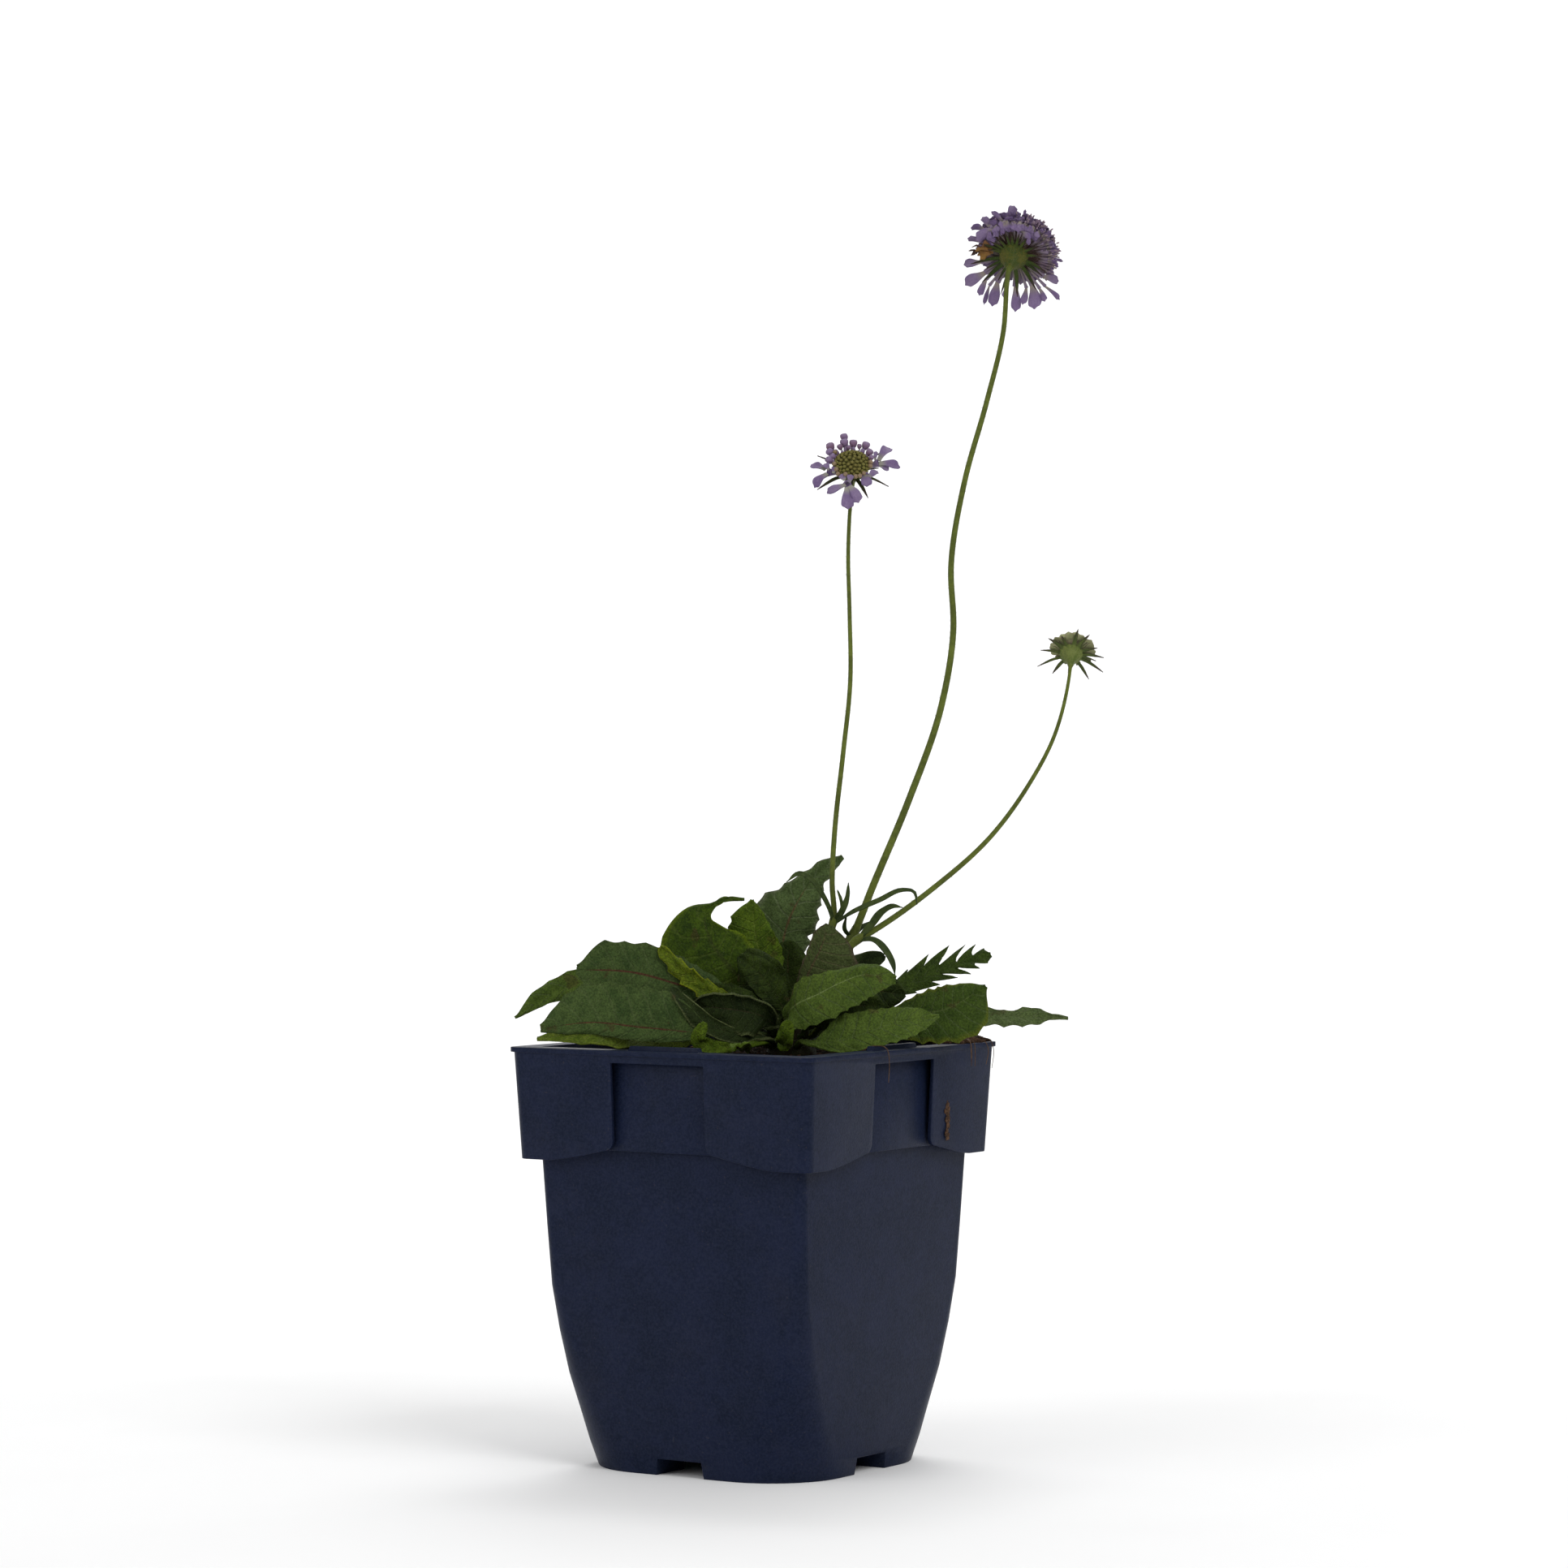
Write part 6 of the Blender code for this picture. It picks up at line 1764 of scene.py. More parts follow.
def full_head():
    """The full head, which faces away from the show side."""
    place = (HEAD_1_JOINT, HEAD_1_AXIS)
    green_parts("full", "head_1_green", place, FULL_RECEPTACLE, 17, 0.035, FULL_BRACTS, (3.3, 4.0),
                ("receptacle_green", "bract_green"))
    draw = random.Random(11)
    lobes = []
    tubes = []
    full_show_lobes(place, draw, lobes, tubes)
    full_crowd(place, draw, lobes)
    full_front(draw, lobes)
    full_small_parts(place, draw, lobes, tubes)
    buds = []
    for index, (spot, out) in enumerate(crowned_positions(54, 6.9, 4.4, 7.6, 82.0)):
        buds.append(bud_move(spot, 0.95, out, 1.1, index))
    parts = [
        copies(petal_seed("lobe", 0.36, 0.74, 0.34), lobes),
        copies(tube_seed("floret_tube"), tubes),
        copies(bud_seed("closed_floret"), buds),
        turned("core", smooth_profile(FULL_CORE), 40),
    ]
    head_piece(join(parts, "florets"), "full_florets", "petal", "petal_lilac", ["head_1_florets"], *place)
    full_threads(place, draw)
    full_withered(place)


def open_head():
    """The opening head: a disc of buds in a ring of florets, turned up and to the show side."""
    place = (HEAD_2_JOINT, HEAD_2_AXIS)
    draw = random.Random(23)
    green_parts("open", "head_2_green", place, OPEN_RECEPTACLE, 11, 0.05, OPEN_BRACTS, (2.4, 2.6),
                ("receptacle_green", "bract_dark"))
    tubes = []
    for spot in OPEN_THROATS:
        throat = seen_place(*place, *spot)
        tubes.append(spike_move(outward(throat) * 3.2 + UP * 4.0, throat, 1.35, 0.0))
    lobes = []
    for start, stop, half in OPEN_LOBES:
        root = seen_place(*place, *start)
        tip = seen_place(*place, *stop)
        bow = draw.uniform(0.04, 0.12)
        lobes.append(petal_move(root, tip, half, UP, bow, 0.26, 0.26, draw.uniform(0, 6)))
    parts = [copies(petal_seed("lobe", 0.42, 0.74, 0.34), lobes)]
    parts.append(copies(tube_seed("floret_tube", 9), tubes))
    head_piece(join(parts, "florets"), "open_florets", "petal", "petal_fresh", ["head_2_florets"], *place)

    for name, finish, spots in (
        ("open_closed_florets", "bud_pink", OPEN_CLOSED),
        ("open_peach_buds", "bud_peach", OPEN_PEACH),
    ):
        closed = []
        for index, (right, above, height, radius) in enumerate(spots):
            at = seen_place(*place, right, above, height)
            out = (outward(at) * 0.8 + UP).normalized()
            closed.append(bud_move(at, radius, out, 1.1, index))
            closed.append(bud_move(at.lerp(outward(at) * 3.6 + UP * 4.8, 0.5), radius * 0.6, out, 2.4, index))
        head_piece(copies(bud_seed("closed_floret"), closed), name, "petal", finish, [], *place)

    parts = [turned("disc", smooth_profile(OPEN_DISC), 40)]
    buds = []
    for index, (spot, out) in enumerate(crowned_positions(96, 5.4, 2.6, 6.0, 86.0)):
        buds.append(bud_move(spot, draw.uniform(0.5, 0.6), (out + UP).normalized(), 1.25, index))
    parts.append(copies(bud_seed("disc_bud"), buds))
    head_piece(join(parts, "disc"), "open_disc", "bud", "bud_green", ["head_2_buds"], *place)


def bud_head():
    """The green head still in bud, which faces away from the show side."""
    place = (HEAD_3_JOINT, HEAD_3_AXIS)
    draw = random.Random(31)
    green_parts("bud", "head_3_green", place, BUD_RECEPTACLE, 14, 0.04, BUD_BRACTS, (2.7, 2.8),
                ("receptacle_pale", "bract_pale"))
    lobes = []
    for start, stop, half in BUD_LOBES:
        root = seen_place(*place, *start)
        tip = seen_place(*place, *stop)
        lobes.append(petal_move(root, tip, half, UP, 0.08, -0.16, 0.14, draw.uniform(0, 6)))
    for index in range(14):
        azimuth = 360.0 * index / 14.0
        root = polar(4.2, azimuth, 5.4)
        tip = polar(5.6, azimuth, 7.6)
        lobes.append(petal_move(root, tip, 1.3, -UP + polar(0.6, azimuth, 0), 0.1, -0.6, 0.2, index))
    parts = [copies(petal_seed("lobe", 0.6, 0.7, 0.4), lobes)]
    buds = []
    for index, (spot, out) in enumerate(crowned_positions(46, 4.6, 2.9, 5.8, 80.0)):
        buds.append(bud_move(spot, draw.uniform(0.62, 0.8), (out + UP * 0.4).normalized(), 1.2, index))
    parts.append(copies(bud_seed("closed_floret"), buds))
    parts.append(turned("core", smooth_profile(BUD_CORE), 36))
    head_piece(join(parts, "buds"), "bud_florets", "bud", "bud_pale", ["head_3_buds"], *place)


# Hairs

# Each patch: words in the names of the pieces it covers, count, share of the set length, thickness,
# slot and seed
HAIRS = {
    "leaf_hairs": (("_blade",), 20000, 0.8, 0.022, "leaf", 3),
    "stalk_hairs": (("flower_stalk", "rootstock"), 5000, 0.8, 0.03, "stem", 4),
    "head_hairs": (("receptacle", "bracts"), 2600, 0.6, 0.022, "bract", 5),
}


def hairs_on(name, pieces, count, length, thick, slot, seed):
    """Fine hairs that stand out of finished pieces, spread evenly over their faces."""
    draw = random.Random(seed)
    faces = []
    weights = []
    for piece in pieces:
        for face in piece.data.polygons:
            faces.append((piece, face))
            weights.append(face.area)
    plan = bmesh.new()
    for piece, face in draw.choices(faces, weights, k=count):
        corners = [piece.data.vertices[index].co for index in face.vertices]
        shares = [draw.random() for _ in corners]
        root = sum((corner * share for corner, share in zip(corners, shares)), Vector()) / sum(shares)
        tilt = Vector([draw.uniform(-0.6, 0.6) for _ in range(3)])
        way = (face.normal + tilt).normalized()
        tip = root + way * length * MM * draw.uniform(0.5, 1.2)
        across = way.orthogonal().normalized() * thick * MM
        third = Matrix.Rotation(math.radians(120.0), 3, way)
        ring = [across, third @ across, third @ third @ across]
        foot = [plan.verts.new(root - way * 0.1 * MM + reach) for reach in ring]
        end = plan.verts.new(tip)
        plan.faces.new(reversed(foot))
        for first, second in ((0, 1), (1, 2), (2, 0)):
            plan.faces.new((foot[first], foot[second], end))
    mesh = bpy.data.meshes.new(name)
    plan.to_mesh(mesh)
    plan.free()
    hairs = bpy.data.objects.new(name, mesh)
    bpy.context.scene.collection.objects.link(hairs)
    return finish_piece(hairs, name, slot, bpy.data.materials["hair_white"], (), Matrix.Identity(4), 180.0)


def pieces_named(words):
    """Finished pieces with one of the words in their names."""
    pieces = [thing for thing in bpy.context.scene.objects if thing.type == "MESH" and "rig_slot" in thing]
    return [thing for thing in pieces if any(word in thing.name for word in words)]


# Finishes of the heads

def copy_group():
    """Where a point lies on its own petal or bud, and a share from nought to one for each of them."""
    tree, _, out = new_group("copy", (), (("Across", "float"), ("Along", "float"), ("Share", "float")))
    parts = map_places(tree)
    count = maths(tree, "FLOOR", parts[0])
    share = add_node(tree, "TexWhiteNoise", {"W": count}, noise_dimensions="1D").outputs["Value"]
    tree.links.new(maths(tree, "SUBTRACT", parts[0], count), out["Across"])
    tree.links.new(parts[1], out["Along"])
    tree.links.new(share, out["Share"])


def petal_finish(name, claw, deep, pale, rim, stripe=0.35, claw_end=0.42):
    """A thin petal, pale at its claw, with fine veins along it and a darker rim; no two alike."""
    tree, shader = new_finish(name, 0.6, 0.12, Sheen_Weight=0.03)
    own = placed_group(tree, "copy", {})
    inputs = {0: times(tree, own["Across"], 16.0), 1: times(tree, own["Along"], 2.0)}
    veins = noise_at(tree, 1.0, 2.0, 0.6, add_node(tree, "CombineXYZ", inputs).outputs[0])
    mottled = placed_group(tree, "mottle", {"First": deep, "Second": pale, "Scale": 230.0})
    aside = off_middle(tree, own["Across"])
    edge = maths(tree, "MAXIMUM", between(tree, aside, 0.7, 1.0), between(tree, own["Along"], 0.9, 1.0))
    colour = layered(
        tree,
        deep,
        (between(tree, own["Share"], 0.0, 1.0), pale),
        (0.55, mottled["Color"]),
        (times(tree, between(tree, veins, 0.6, 0.4), stripe), deep),
        (times(tree, edge, 0.5), rim),
        (between(tree, own["Along"], claw_end, 0.02), claw),
    )
    tree.links.new(colour, shader.inputs["Base Color"])
    tree.links.new(maths(tree, "MULTIPLY_ADD", veins, 0.2, 0.48), shader.inputs["Roughness"])
    bump(tree, shader, veins, 0.2)


def bract_finish(name, green, pale, tip):
    """A green bract whose margins and tip are darker."""
    tree, shader = new_finish(name, 0.6, 0.12, Sheen_Weight=0.03)
    parts = map_places(tree)
    mottled = placed_group(tree, "mottle", {"First": green, "Second": pale, "Scale": 260.0})
    margin = times(tree, between(tree, off_middle(tree, parts[0]), 0.4, 1.0), 0.8)
    onward = between(tree, parts[1], 0.1, 0.6)
    uneven = maths(tree, "ADD", parts[1], times(tree, noise_at(tree, 300.0), 0.4))
    share = maths(tree, "MAXIMUM", times(tree, margin, onward), between(tree, uneven, 0.65, 1.15))
    tree.links.new(blend(tree, share, mottled["Color"], tip), shader.inputs["Base Color"])
    bump(tree, shader, noise_at(tree, 1300.0, 2.0), 0.15)


def bud_finish(name, first, second, top):
    """A closed bud: its colour varies from bud to bud and turns towards its folded top."""
    tree, shader = new_finish(name, 0.6, 0.12, Sheen_Weight=0.03)
    own = placed_group(tree, "copy", {})
    mottled = placed_group(tree, "mottle", {"First": first, "Second": second, "Scale": 320.0})
    folded = times(tree, between(tree, own["Along"], 0.55, 1.0), 0.6)
    colour = layered(tree, first, (own["Share"], second), (0.4, mottled["Color"]), (folded, top))
    tree.links.new(colour, shader.inputs["Base Color"])
    bump(tree, shader, noise_at(tree, 1500.0, 2.0), 0.12)


def tissue_finish(name, first, second, scale=300.0, roughness=0.6):
    """Soft living tissue in two mixed colours."""
    tree, shader = new_finish(name, roughness, 0.12, Sheen_Weight=0.03)
    mottled = placed_group(tree, "mottle", {"First": first, "Second": second, "Scale": scale})
    tree.links.new(mottled["Color"], shader.inputs["Base Color"])
    rough = maths(tree, "MULTIPLY_ADD", mottled["Mask"], 0.15, roughness - 0.08)
    tree.links.new(rough, shader.inputs["Roughness"])
    bump(tree, shader, noise_at(tree, 1500.0, 2.0), 0.12)


# Settings

class StageSettings(bpy.types.PropertyGroup):
    """What stands round the plant."""

    floor_colour: bpy.props.FloatVectorProperty(
        name="Floor colour", description="Colour of the floor and backdrop", subtype="COLOR",
        default=(0.93, 0.93, 0.93), min=0.0, max=1.0,
    )
    key_power: bpy.props.FloatProperty(
        name="Key light", description="Power of the large soft light", default=22.0, min=0.0, unit="POWER"
    )


class PotSettings(bpy.types.PropertyGroup):
    """Finish of the pot and the soil."""

    plastic_deep: bpy.props.FloatVectorProperty(
        name="Plastic", description="Navy of the pot", subtype="COLOR", default=(0.005, 0.009, 0.024),
        min=0.0, max=1.0,
    )
    plastic_light: bpy.props.FloatVectorProperty(
        name="Worn plastic", description="Paler navy of the pot's scuffed patches", subtype="COLOR",
        default=(0.008, 0.0125, 0.034), min=0.0, max=1.0,
    )
    dust_colour: bpy.props.FloatVectorProperty(
        name="Dust", description="Colour of dry soil on the plastic", subtype="COLOR",
        default=(0.05, 0.045, 0.045), min=0.0, max=1.0,
    )
    plastic_gloss: bpy.props.FloatProperty(
        name="Gloss", description="Strength of the plastic's reflections", default=0.07, min=0.0, max=1.0
    )


class LeafSettings(bpy.types.PropertyGroup):
    """Colours of the leaves and stalks."""

    deep: bpy.props.FloatVectorProperty(
        name="Leaf shade", description="Darker green of the blades", subtype="COLOR",
        default=(0.044, 0.076, 0.01), min=0.0, max=1.0,
    )
    light: bpy.props.FloatVectorProperty(
        name="Leaf light", description="Lighter green of the blades", subtype="COLOR",
        default=(0.085, 0.13, 0.02), min=0.0, max=1.0,
    )
    vein: bpy.props.FloatVectorProperty(
        name="Veins", description="Pale green of the veins", subtype="COLOR",
        default=(0.075, 0.105, 0.036), min=0.0, max=1.0,
    )
    stem: bpy.props.FloatVectorProperty(
        name="Stalks", description="Yellow green of the flower stalks", subtype="COLOR",
        default=(0.115, 0.145, 0.02), min=0.0, max=1.0,
    )
    hair_length: bpy.props.FloatProperty(
        name="Hair length", description="Length of the hairs on stalks and leaves", default=0.0011,
        min=0.0, unit="LENGTH",
    )


class FlowerSettings(bpy.types.PropertyGroup):
    """Colours of the flower heads."""

    lilac: bpy.props.FloatVectorProperty(
        name="Lilac", description="Deeper colour of the petals", subtype="COLOR",
        default=(0.14, 0.09, 0.2), min=0.0, max=1.0,
    )
    pale: bpy.props.FloatVectorProperty(
        name="Pale lilac", description="Paler colour of the petals", subtype="COLOR",
        default=(0.25, 0.19, 0.3), min=0.0, max=1.0,
    )
    bud: bpy.props.FloatVectorProperty(
        name="Buds", description="Yellow green of the closed buds", subtype="COLOR",
        default=(0.1, 0.11, 0.024), min=0.0, max=1.0,
    )


class PLANT_OT_build_stage(bpy.types.Operator):
    """Set up the camera, the pale floor and the soft lights"""

    bl_idname = "plant.build_stage"
    bl_label = "Stage"
    bl_options = {"REGISTER", "UNDO"}

    def execute(self, context):
        deselect()
        make_stage(context.scene.stage_settings)
        return {"FINISHED"}


class PLANT_OT_build_finishes(bpy.types.Operator):
    """Make the finishes of the pot, the leaves and the flowers"""

    bl_idname = "plant.build_finishes"
    bl_label = "Finishes"
    bl_options = {"REGISTER", "UNDO"}

    def execute(self, context):
        make_finishes(context.scene.pot_settings, context.scene.leaf_settings, context.scene.flower_settings)
        return {"FINISHED"}


class PLANT_OT_build_pot(bpy.types.Operator):
    """Build the nursery pot with its skirts, strips, panels and foot channels"""

    bl_idname = "plant.build_pot"
    bl_label = "Pot"
    bl_options = {"REGISTER", "UNDO"}

    def execute(self, context):
        deselect()
        make_pot(bpy.data.materials["navy_plastic"])
        return {"FINISHED"}


class PLANT_OT_build_soil(bpy.types.Operator):
    """Build the potting soil with its loose crumbs and rootlets, and the rootstock in it"""

    bl_idname = "plant.build_soil"
    bl_label = "Soil and rootstock"
    bl_options = {"REGISTER", "UNDO"}

    def execute(self, context):
        deselect()
        make_soil(bpy.data.materials["compost"], bpy.data.materials["compost_crumbs"])
        make_crown(bpy.data.materials["rootstock_green"])
        make_rootlets(bpy.data.materials["root_brown"])
        return {"FINISHED"}


class PLANT_OT_build_leaves(bpy.types.Operator):
    """Build the rosette of leaves"""

    bl_idname = "plant.build_leaves"
    bl_label = "Leaves"
    bl_options = {"REGISTER", "UNDO"}

    def execute(self, context):
        deselect()
        for spec in (*SHOW_LEAVES, *INNER_LEAVES):
            make_leaf(**spec)
        for index, spec in enumerate(SHADED_LEAVES):
            shaded_leaf(index, *spec)
        for index, spec in enumerate(BACK_LEAVES):
            back_leaf(index, *spec)
        return {"FINISHED"}


class PLANT_OT_build_stalks(bpy.types.Operator):
    """Build the three flower stalks with the leaves of their nodes"""

    bl_idname = "plant.build_stalks"
    bl_label = "Flower stalks"
    bl_options = {"REGISTER", "UNDO"}

    def execute(self, context):
        deselect()
        for spec in STALKS:
            make_stalk(**spec, finish=bpy.data.materials["stem_green"])
        return {"FINISHED"}


class PLANT_OT_build_full_head(bpy.types.Operator):
    """Build the full flower head"""

    bl_idname = "plant.build_full_head"
    bl_label = "Full head"
    bl_options = {"REGISTER", "UNDO"}

    def execute(self, context):
        deselect()
        full_head()
        return {"FINISHED"}


class PLANT_OT_build_open_head(bpy.types.Operator):
    """Build the opening flower head"""

    bl_idname = "plant.build_open_head"
    bl_label = "Opening head"
    bl_options = {"REGISTER", "UNDO"}

    def execute(self, context):
        deselect()
        open_head()
        return {"FINISHED"}


class PLANT_OT_build_bud_head(bpy.types.Operator):
    """Build the head in bud"""

    bl_idname = "plant.build_bud_head"
    bl_label = "Head in bud"
    bl_options = {"REGISTER", "UNDO"}

    def execute(self, context):
        deselect()
        bud_head()
        return {"FINISHED"}


class PLANT_OT_build_hairs(bpy.types.Operator):
    """Cover the leaves, stalks and green heads with fine hairs"""

    bl_idname = "plant.build_hairs"
    bl_label = "Hairs"
    bl_options = {"REGISTER", "UNDO"}

    def execute(self, context):
        deselect()
        long = context.scene.leaf_settings.hair_length / MM
        for name, (words, count, share, thick, slot, seed) in HAIRS.items():
            hairs_on(name, pieces_named(words), count, long * share, thick, slot, seed)
        return {"FINISHED"}


class PLANT_PT_panel(bpy.types.Panel):
    """Sidebar panel with the plant's pieces and settings"""

    bl_label = "Pincushion flower"
    bl_idname = "PLANT_PT_panel"
    bl_space_type = "VIEW_3D"
    bl_region_type = "UI"
    bl_category = "Pincushion flower"

    def draw(self, context):
        column = self.layout.column()
        for made in OPERATORS:
            column.operator(made.bl_idname)
        for name in SETTINGS:
            settings = getattr(context.scene, name)
            for label in settings.__annotations__:
                column.prop(settings, label)


SETTINGS = {
    "stage_settings": StageSettings,
    "pot_settings": PotSettings,
    "leaf_settings": LeafSettings,
    "flower_settings": FlowerSettings,
}
OPERATORS = (
    PLANT_OT_build_stage,
    PLANT_OT_build_finishes,
    PLANT_OT_build_pot,
    PLANT_OT_build_soil,
    PLANT_OT_build_leaves,
    PLANT_OT_build_stalks,
    PLANT_OT_build_full_head,
    PLANT_OT_build_open_head,
    PLANT_OT_build_bud_head,
    PLANT_OT_build_hairs,
)


def tinted(colour, share):
    """A colour made lighter or darker by a share."""
    return tuple(share * value for value in colour)


# Colours of the leaf finishes: shade, light, veins, rib and margin, then how strongly the margin and
# the rib show. A name stands for the colour of that setting.
LEAF_FINISHES = {
    "fresh": ("deep", "light", "vein", "vein", "light"),
    "bright": ((0.034, 0.066, 0.004), (0.085, 0.135, 0.009), (0.12, 0.165, 0.025), (0.14, 0.18, 0.03),
               (0.07, 0.12, 0.006)),
    "frill": ((0.045, 0.08, 0.004), (0.13, 0.17, 0.01), (0.15, 0.18, 0.025), (0.13, 0.17, 0.02),
              (0.19, 0.22, 0.008), 0.7),
    "arched": ((0.016, 0.034, 0.003), (0.05, 0.086, 0.006), (0.07, 0.1, 0.018), (0.035, 0.045, 0.01),
               (0.1, 0.145, 0.005), 0.8),
    "yellow": ((0.055, 0.09, 0.008), (0.11, 0.15, 0.016), (0.13, 0.16, 0.035), (0.12, 0.14, 0.04),
               (0.13, 0.14, 0.022)),
    "red_rib": ((0.026, 0.05, 0.012), (0.062, 0.096, 0.026), "vein", (0.075, 0.014, 0.014),
                (0.06, 0.08, 0.024), 0.25, 0.8),
    "deep": ((0.02, 0.038, 0.005), (0.05, 0.082, 0.012), "vein", (0.06, 0.08, 0.02), (0.05, 0.075, 0.012)),
    "tall": ((0.044, 0.07, 0.018), (0.084, 0.126, 0.04), (0.13, 0.16, 0.08), (0.12, 0.05, 0.03),
             (0.16, 0.17, 0.11), 0.5),
    "pale_rib": ("deep", "light", "vein", (0.16, 0.21, 0.07), "light", 0.25, 0.85),
    "purple": ((0.036, 0.046, 0.013), (0.064, 0.086, 0.026), (0.1, 0.09, 0.045), (0.1, 0.06, 0.035),
               (0.07, 0.035, 0.035), 0.6),
    # dark: painted shade, a blade coloured as if in shadow, darker than a lit leaf, with a paler margin
    "dark": ((0.008, 0.015, 0.004), (0.024, 0.038, 0.009), (0.034, 0.044, 0.016), (0.05, 0.035, 0.02),
             (0.1, 0.12, 0.045), 0.8),
    # shade: painted shade, the colour of a leaf lying in shadow deep in the rosette
    "shade": ((0.008, 0.016, 0.003), (0.032, 0.052, 0.007), (0.045, 0.06, 0.018), (0.05, 0.035, 0.014),
              (0.02, 0.03, 0.006)),
    "grey": ((0.06, 0.09, 0.026), (0.1, 0.14, 0.045), (0.13, 0.16, 0.07), (0.15, 0.14, 0.08),
             (0.11, 0.12, 0.06)),
    "yellow_edge": ((0.024, 0.046, 0.005), (0.048, 0.08, 0.011), "vein", (0.08, 0.11, 0.03),
                    (0.15, 0.16, 0.01), 0.4),
}
PETAL_RIM = (0.12, 0.085, 0.2)
BRACT_PURPLE = (0.035, 0.016, 0.018)
# Finishes that take no colour from the settings: how each is made, its name and its values
PLAIN_FINISHES = (
    (soil_finish, "compost", (0.012, 0.008, 0.006), (0.05, 0.032, 0.02)),
    (soil_finish, "compost_crumbs", (0.03, 0.017, 0.01), (0.11, 0.06, 0.035), 260.0),
    (stem_finish, "strap_green", (0.018, 0.032, 0.006), (0.046, 0.068, 0.014)),
    (stem_finish, "root_brown", (0.05, 0.025, 0.012), (0.12, 0.07, 0.04)),
    (petal_finish, "withered_orange", (0.2, 0.1, 0.03), (0.14, 0.065, 0.03), (0.3, 0.17, 0.04),
     (0.07, 0.035, 0.035)),
    (petal_finish, "bud_pale", (0.19, 0.21, 0.07), (0.26, 0.29, 0.12), (0.34, 0.33, 0.19),
     (0.26, 0.18, 0.14), 0.2, 0.35),
    (bud_finish, "bud_peach", (0.22, 0.14, 0.08), (0.19, 0.15, 0.06), (0.26, 0.19, 0.14)),
    (bud_finish, "bud_pink", (0.17, 0.09, 0.13), (0.2, 0.14, 0.26), (0.24, 0.19, 0.3)),
    (tissue_finish, "rootstock_green", (0.035, 0.045, 0.014), (0.03, 0.018, 0.01), 260.0),
    (tissue_finish, "receptacle_green", (0.03, 0.05, 0.007), (0.085, 0.08, 0.013)),
    (tissue_finish, "receptacle_pale", (0.075, 0.105, 0.018), (0.14, 0.165, 0.045)),
    (tissue_finish, "filament_pale", (0.24, 0.19, 0.18), (0.22, 0.15, 0.22)),
    (tissue_finish, "bristle_brown", (0.03, 0.016, 0.012), (0.07, 0.038, 0.03)),
    (tissue_finish, "hair_white", (0.12, 0.14, 0.08), (0.18, 0.19, 0.12), 300.0, 0.5),
    (bract_finish, "bract_green", (0.022, 0.042, 0.006), (0.045, 0.066, 0.01), BRACT_PURPLE),
    (bract_finish, "bract_dark", (0.035, 0.045, 0.012), (0.055, 0.07, 0.016), BRACT_PURPLE),
    (bract_finish, "bract_pale", (0.045, 0.065, 0.016), (0.075, 0.1, 0.022), (0.05, 0.035, 0.028)),
)


def make_finishes(pot, leaf, flower):
    """All the finishes, from the settings and the tables."""
    for make in (mottle_group, dust_group, vein_group, copy_group):
        make()
    plastic_finish(pot)
    for name, values in LEAF_FINISHES.items():
        values = [getattr(leaf, value) if isinstance(value, str) else value for value in values]
        leaf_finish(f"leaf_{name}", *values)
    stem_finish("stem_green", tinted(leaf.stem, 0.55), tinted(leaf.stem, 0.92))
    petal_finish("petal_lilac", (0.28, 0.24, 0.2), tinted(flower.lilac, 1.14), flower.pale, PETAL_RIM)
    petal_finish("petal_fresh", (0.3, 0.29, 0.24), flower.lilac, flower.pale, PETAL_RIM, 0.25, 0.3)
    bud_finish("bud_green", flower.bud, (0.13, 0.105, 0.028), (0.19, 0.165, 0.045))
    for make, name, *values in PLAIN_FINISHES:
        make(name, *values)


# Stage

FLOOR_ACROSS = (-3.5, -1.2, 0.0, 1.2, 3.5)
FLOOR_ALONG = (-2.6, -1.2, 0.0, 1.4)
SWEEP_RADIUS = 0.9
SWEEP_STEPS = 10
SWEEP_TOP = 3.6
FLOOR_PALE = (0.95, 0.95, 0.95)
SURROUND_POWER = 0.4
# Each lamp: its place, what it points at, its size and its share of the key light's power
LAMPS = {
    "key": ((1.1, -1.3, 1.5), (0.0, 0.0, 0.2), 1.3, 1.0),
    "fill": ((-1.5, -1.1, 0.9), (0.0, 0.0, 0.2), 1.2, 0.5),
    "back": ((0.3, 1.1, 1.7), (0.0, 0.0, 0.2), 1.2, 0.4),
    "sweep": ((0.0, 0.9, 1.9), (0.0, 2.3, 0.7), 1.0, 0.8),
}


def make_floor(turn, floor_colour):
    """A pale floor that sweeps up behind the plant."""
    path = [(along, 0.0) for along in FLOOR_ALONG]
    for step in range(1, SWEEP_STEPS + 1):
        angle = math.pi * step / (2 * SWEEP_STEPS)
        along = FLOOR_ALONG[-1] + SWEEP_RADIUS * math.sin(angle)
        path.append((along, SWEEP_RADIUS * (1.0 - math.cos(angle))))
    path.append((FLOOR_ALONG[-1] + SWEEP_RADIUS, SWEEP_TOP))
    rows = [[turn @ Vector((x, y, z)) for x in FLOOR_ACROSS] for y, z in path]
    spots = [[(column / 4, row / len(path)) for column in range(5)] for row in range(len(path))]
    sweep = add_grid("backdrop", rows, spots)
    activate(sweep)
    bpy.ops.object.shade_smooth()
    tree, shader = new_finish("backdrop_white", 0.9, 0.0)
    shade = placed_group(tree, "mottle", {"First": floor_colour, "Second": FLOOR_PALE, "Scale": 1.5})
    tree.links.new(shade["Color"], shader.inputs["Base Color"])
    sweep.data.materials.append(bpy.data.materials["backdrop_white"])


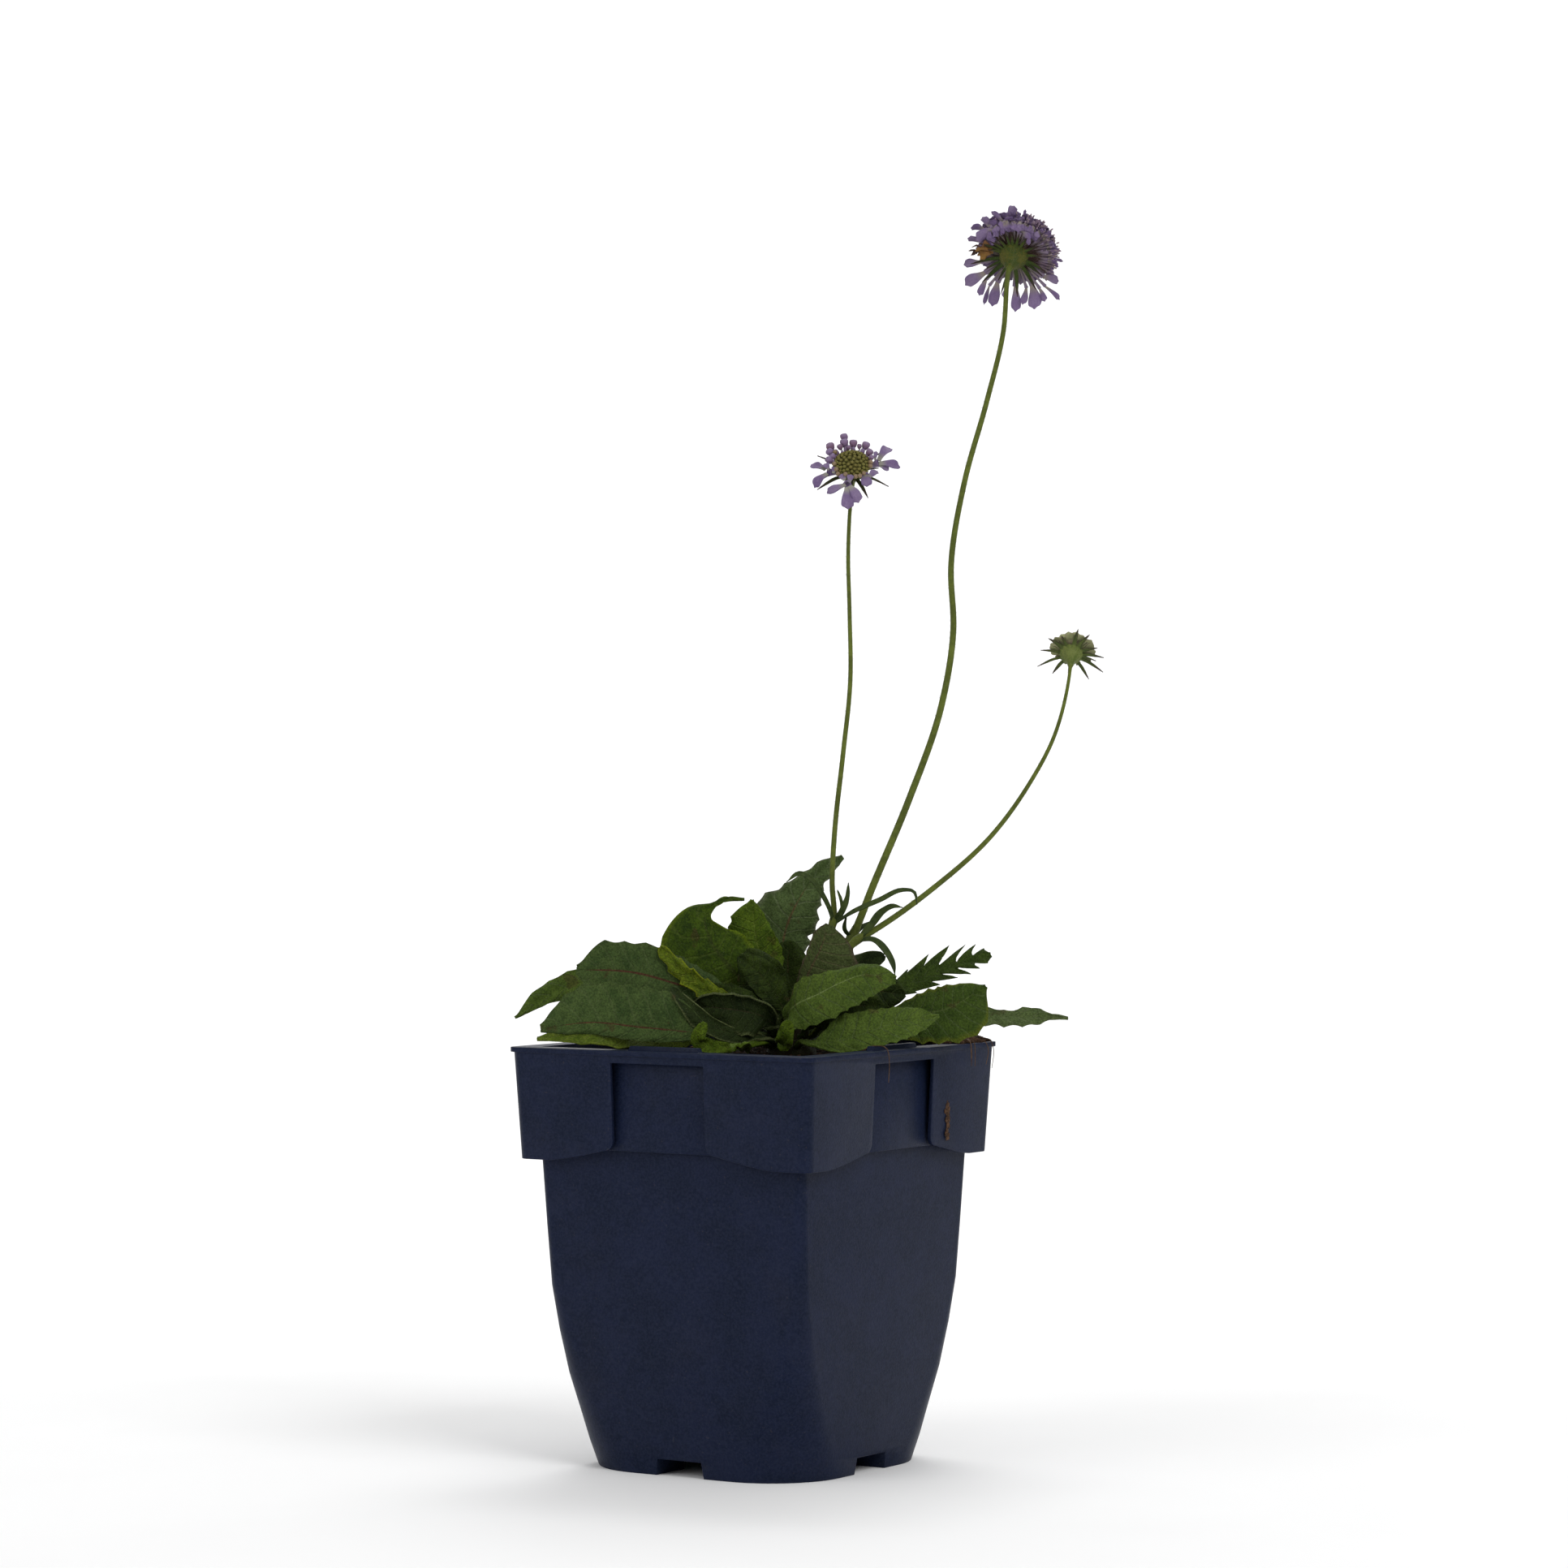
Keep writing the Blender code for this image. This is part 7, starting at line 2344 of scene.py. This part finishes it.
def make_stage(settings):
    """The floor, large soft lights, and the camera of the show side."""
    scene = bpy.context.scene
    scene.view_settings.view_transform = "Standard"
    turn = Matrix.Rotation(SHOW_TURN, 4, "Z")
    make_floor(turn, settings.floor_colour)
    world = bpy.data.worlds.new("pale_surround")
    world.use_nodes = True
    world.node_tree.nodes["Background"].inputs["Color"].default_value = (1.0, 1.0, 1.0, 1.0)
    world.node_tree.nodes["Background"].inputs["Strength"].default_value = SURROUND_POWER
    scene.world = world
    for name, (spot, aim, size, share) in LAMPS.items():
        lamp = bpy.data.lights.new(name, "AREA")
        lamp.shape = "SQUARE"
        lamp.size = size
        lamp.energy = settings.key_power * share
        light = bpy.data.objects.new(name, lamp)
        light.location = turn @ Vector(spot)
        light.rotation_euler = (turn @ (Vector(aim) - Vector(spot))).to_track_quat("-Z", "Y").to_euler()
        scene.collection.objects.link(light)
    lens = bpy.data.cameras.new("show_side")
    lens.lens = CAMERA_LENS
    lens.sensor_width = SENSOR_WIDTH
    lens.clip_start = 0.05
    camera = bpy.data.objects.new("show_side", lens)
    camera.location = PLANT_TO_ROW @ Vector(CAMERA_AT)
    camera.rotation_euler = (math.radians(90.0), 0.0, SHOW_TURN)
    scene.collection.objects.link(camera)
    scene.camera = camera


def register():
    for made in (*SETTINGS.values(), *OPERATORS, PLANT_PT_panel):
        bpy.utils.register_class(made)
    for name, made in SETTINGS.items():
        setattr(bpy.types.Scene, name, bpy.props.PointerProperty(type=made))


def unregister():
    for name in SETTINGS:
        delattr(bpy.types.Scene, name)
    for made in (PLANT_PT_panel, *reversed(OPERATORS), *SETTINGS.values()):
        bpy.utils.unregister_class(made)


def main():
    """Build the whole plant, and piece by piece."""
    register()
    bpy.ops.plant.build_finishes()
    bpy.ops.plant.build_stage()
    bpy.ops.plant.build_pot()
    bpy.ops.plant.build_soil()
    bpy.ops.plant.build_leaves()
    bpy.ops.plant.build_stalks()
    bpy.ops.plant.build_full_head()
    bpy.ops.plant.build_open_head()
    bpy.ops.plant.build_bud_head()
    bpy.ops.plant.build_hairs()


if __name__ == "__main__":
    main()
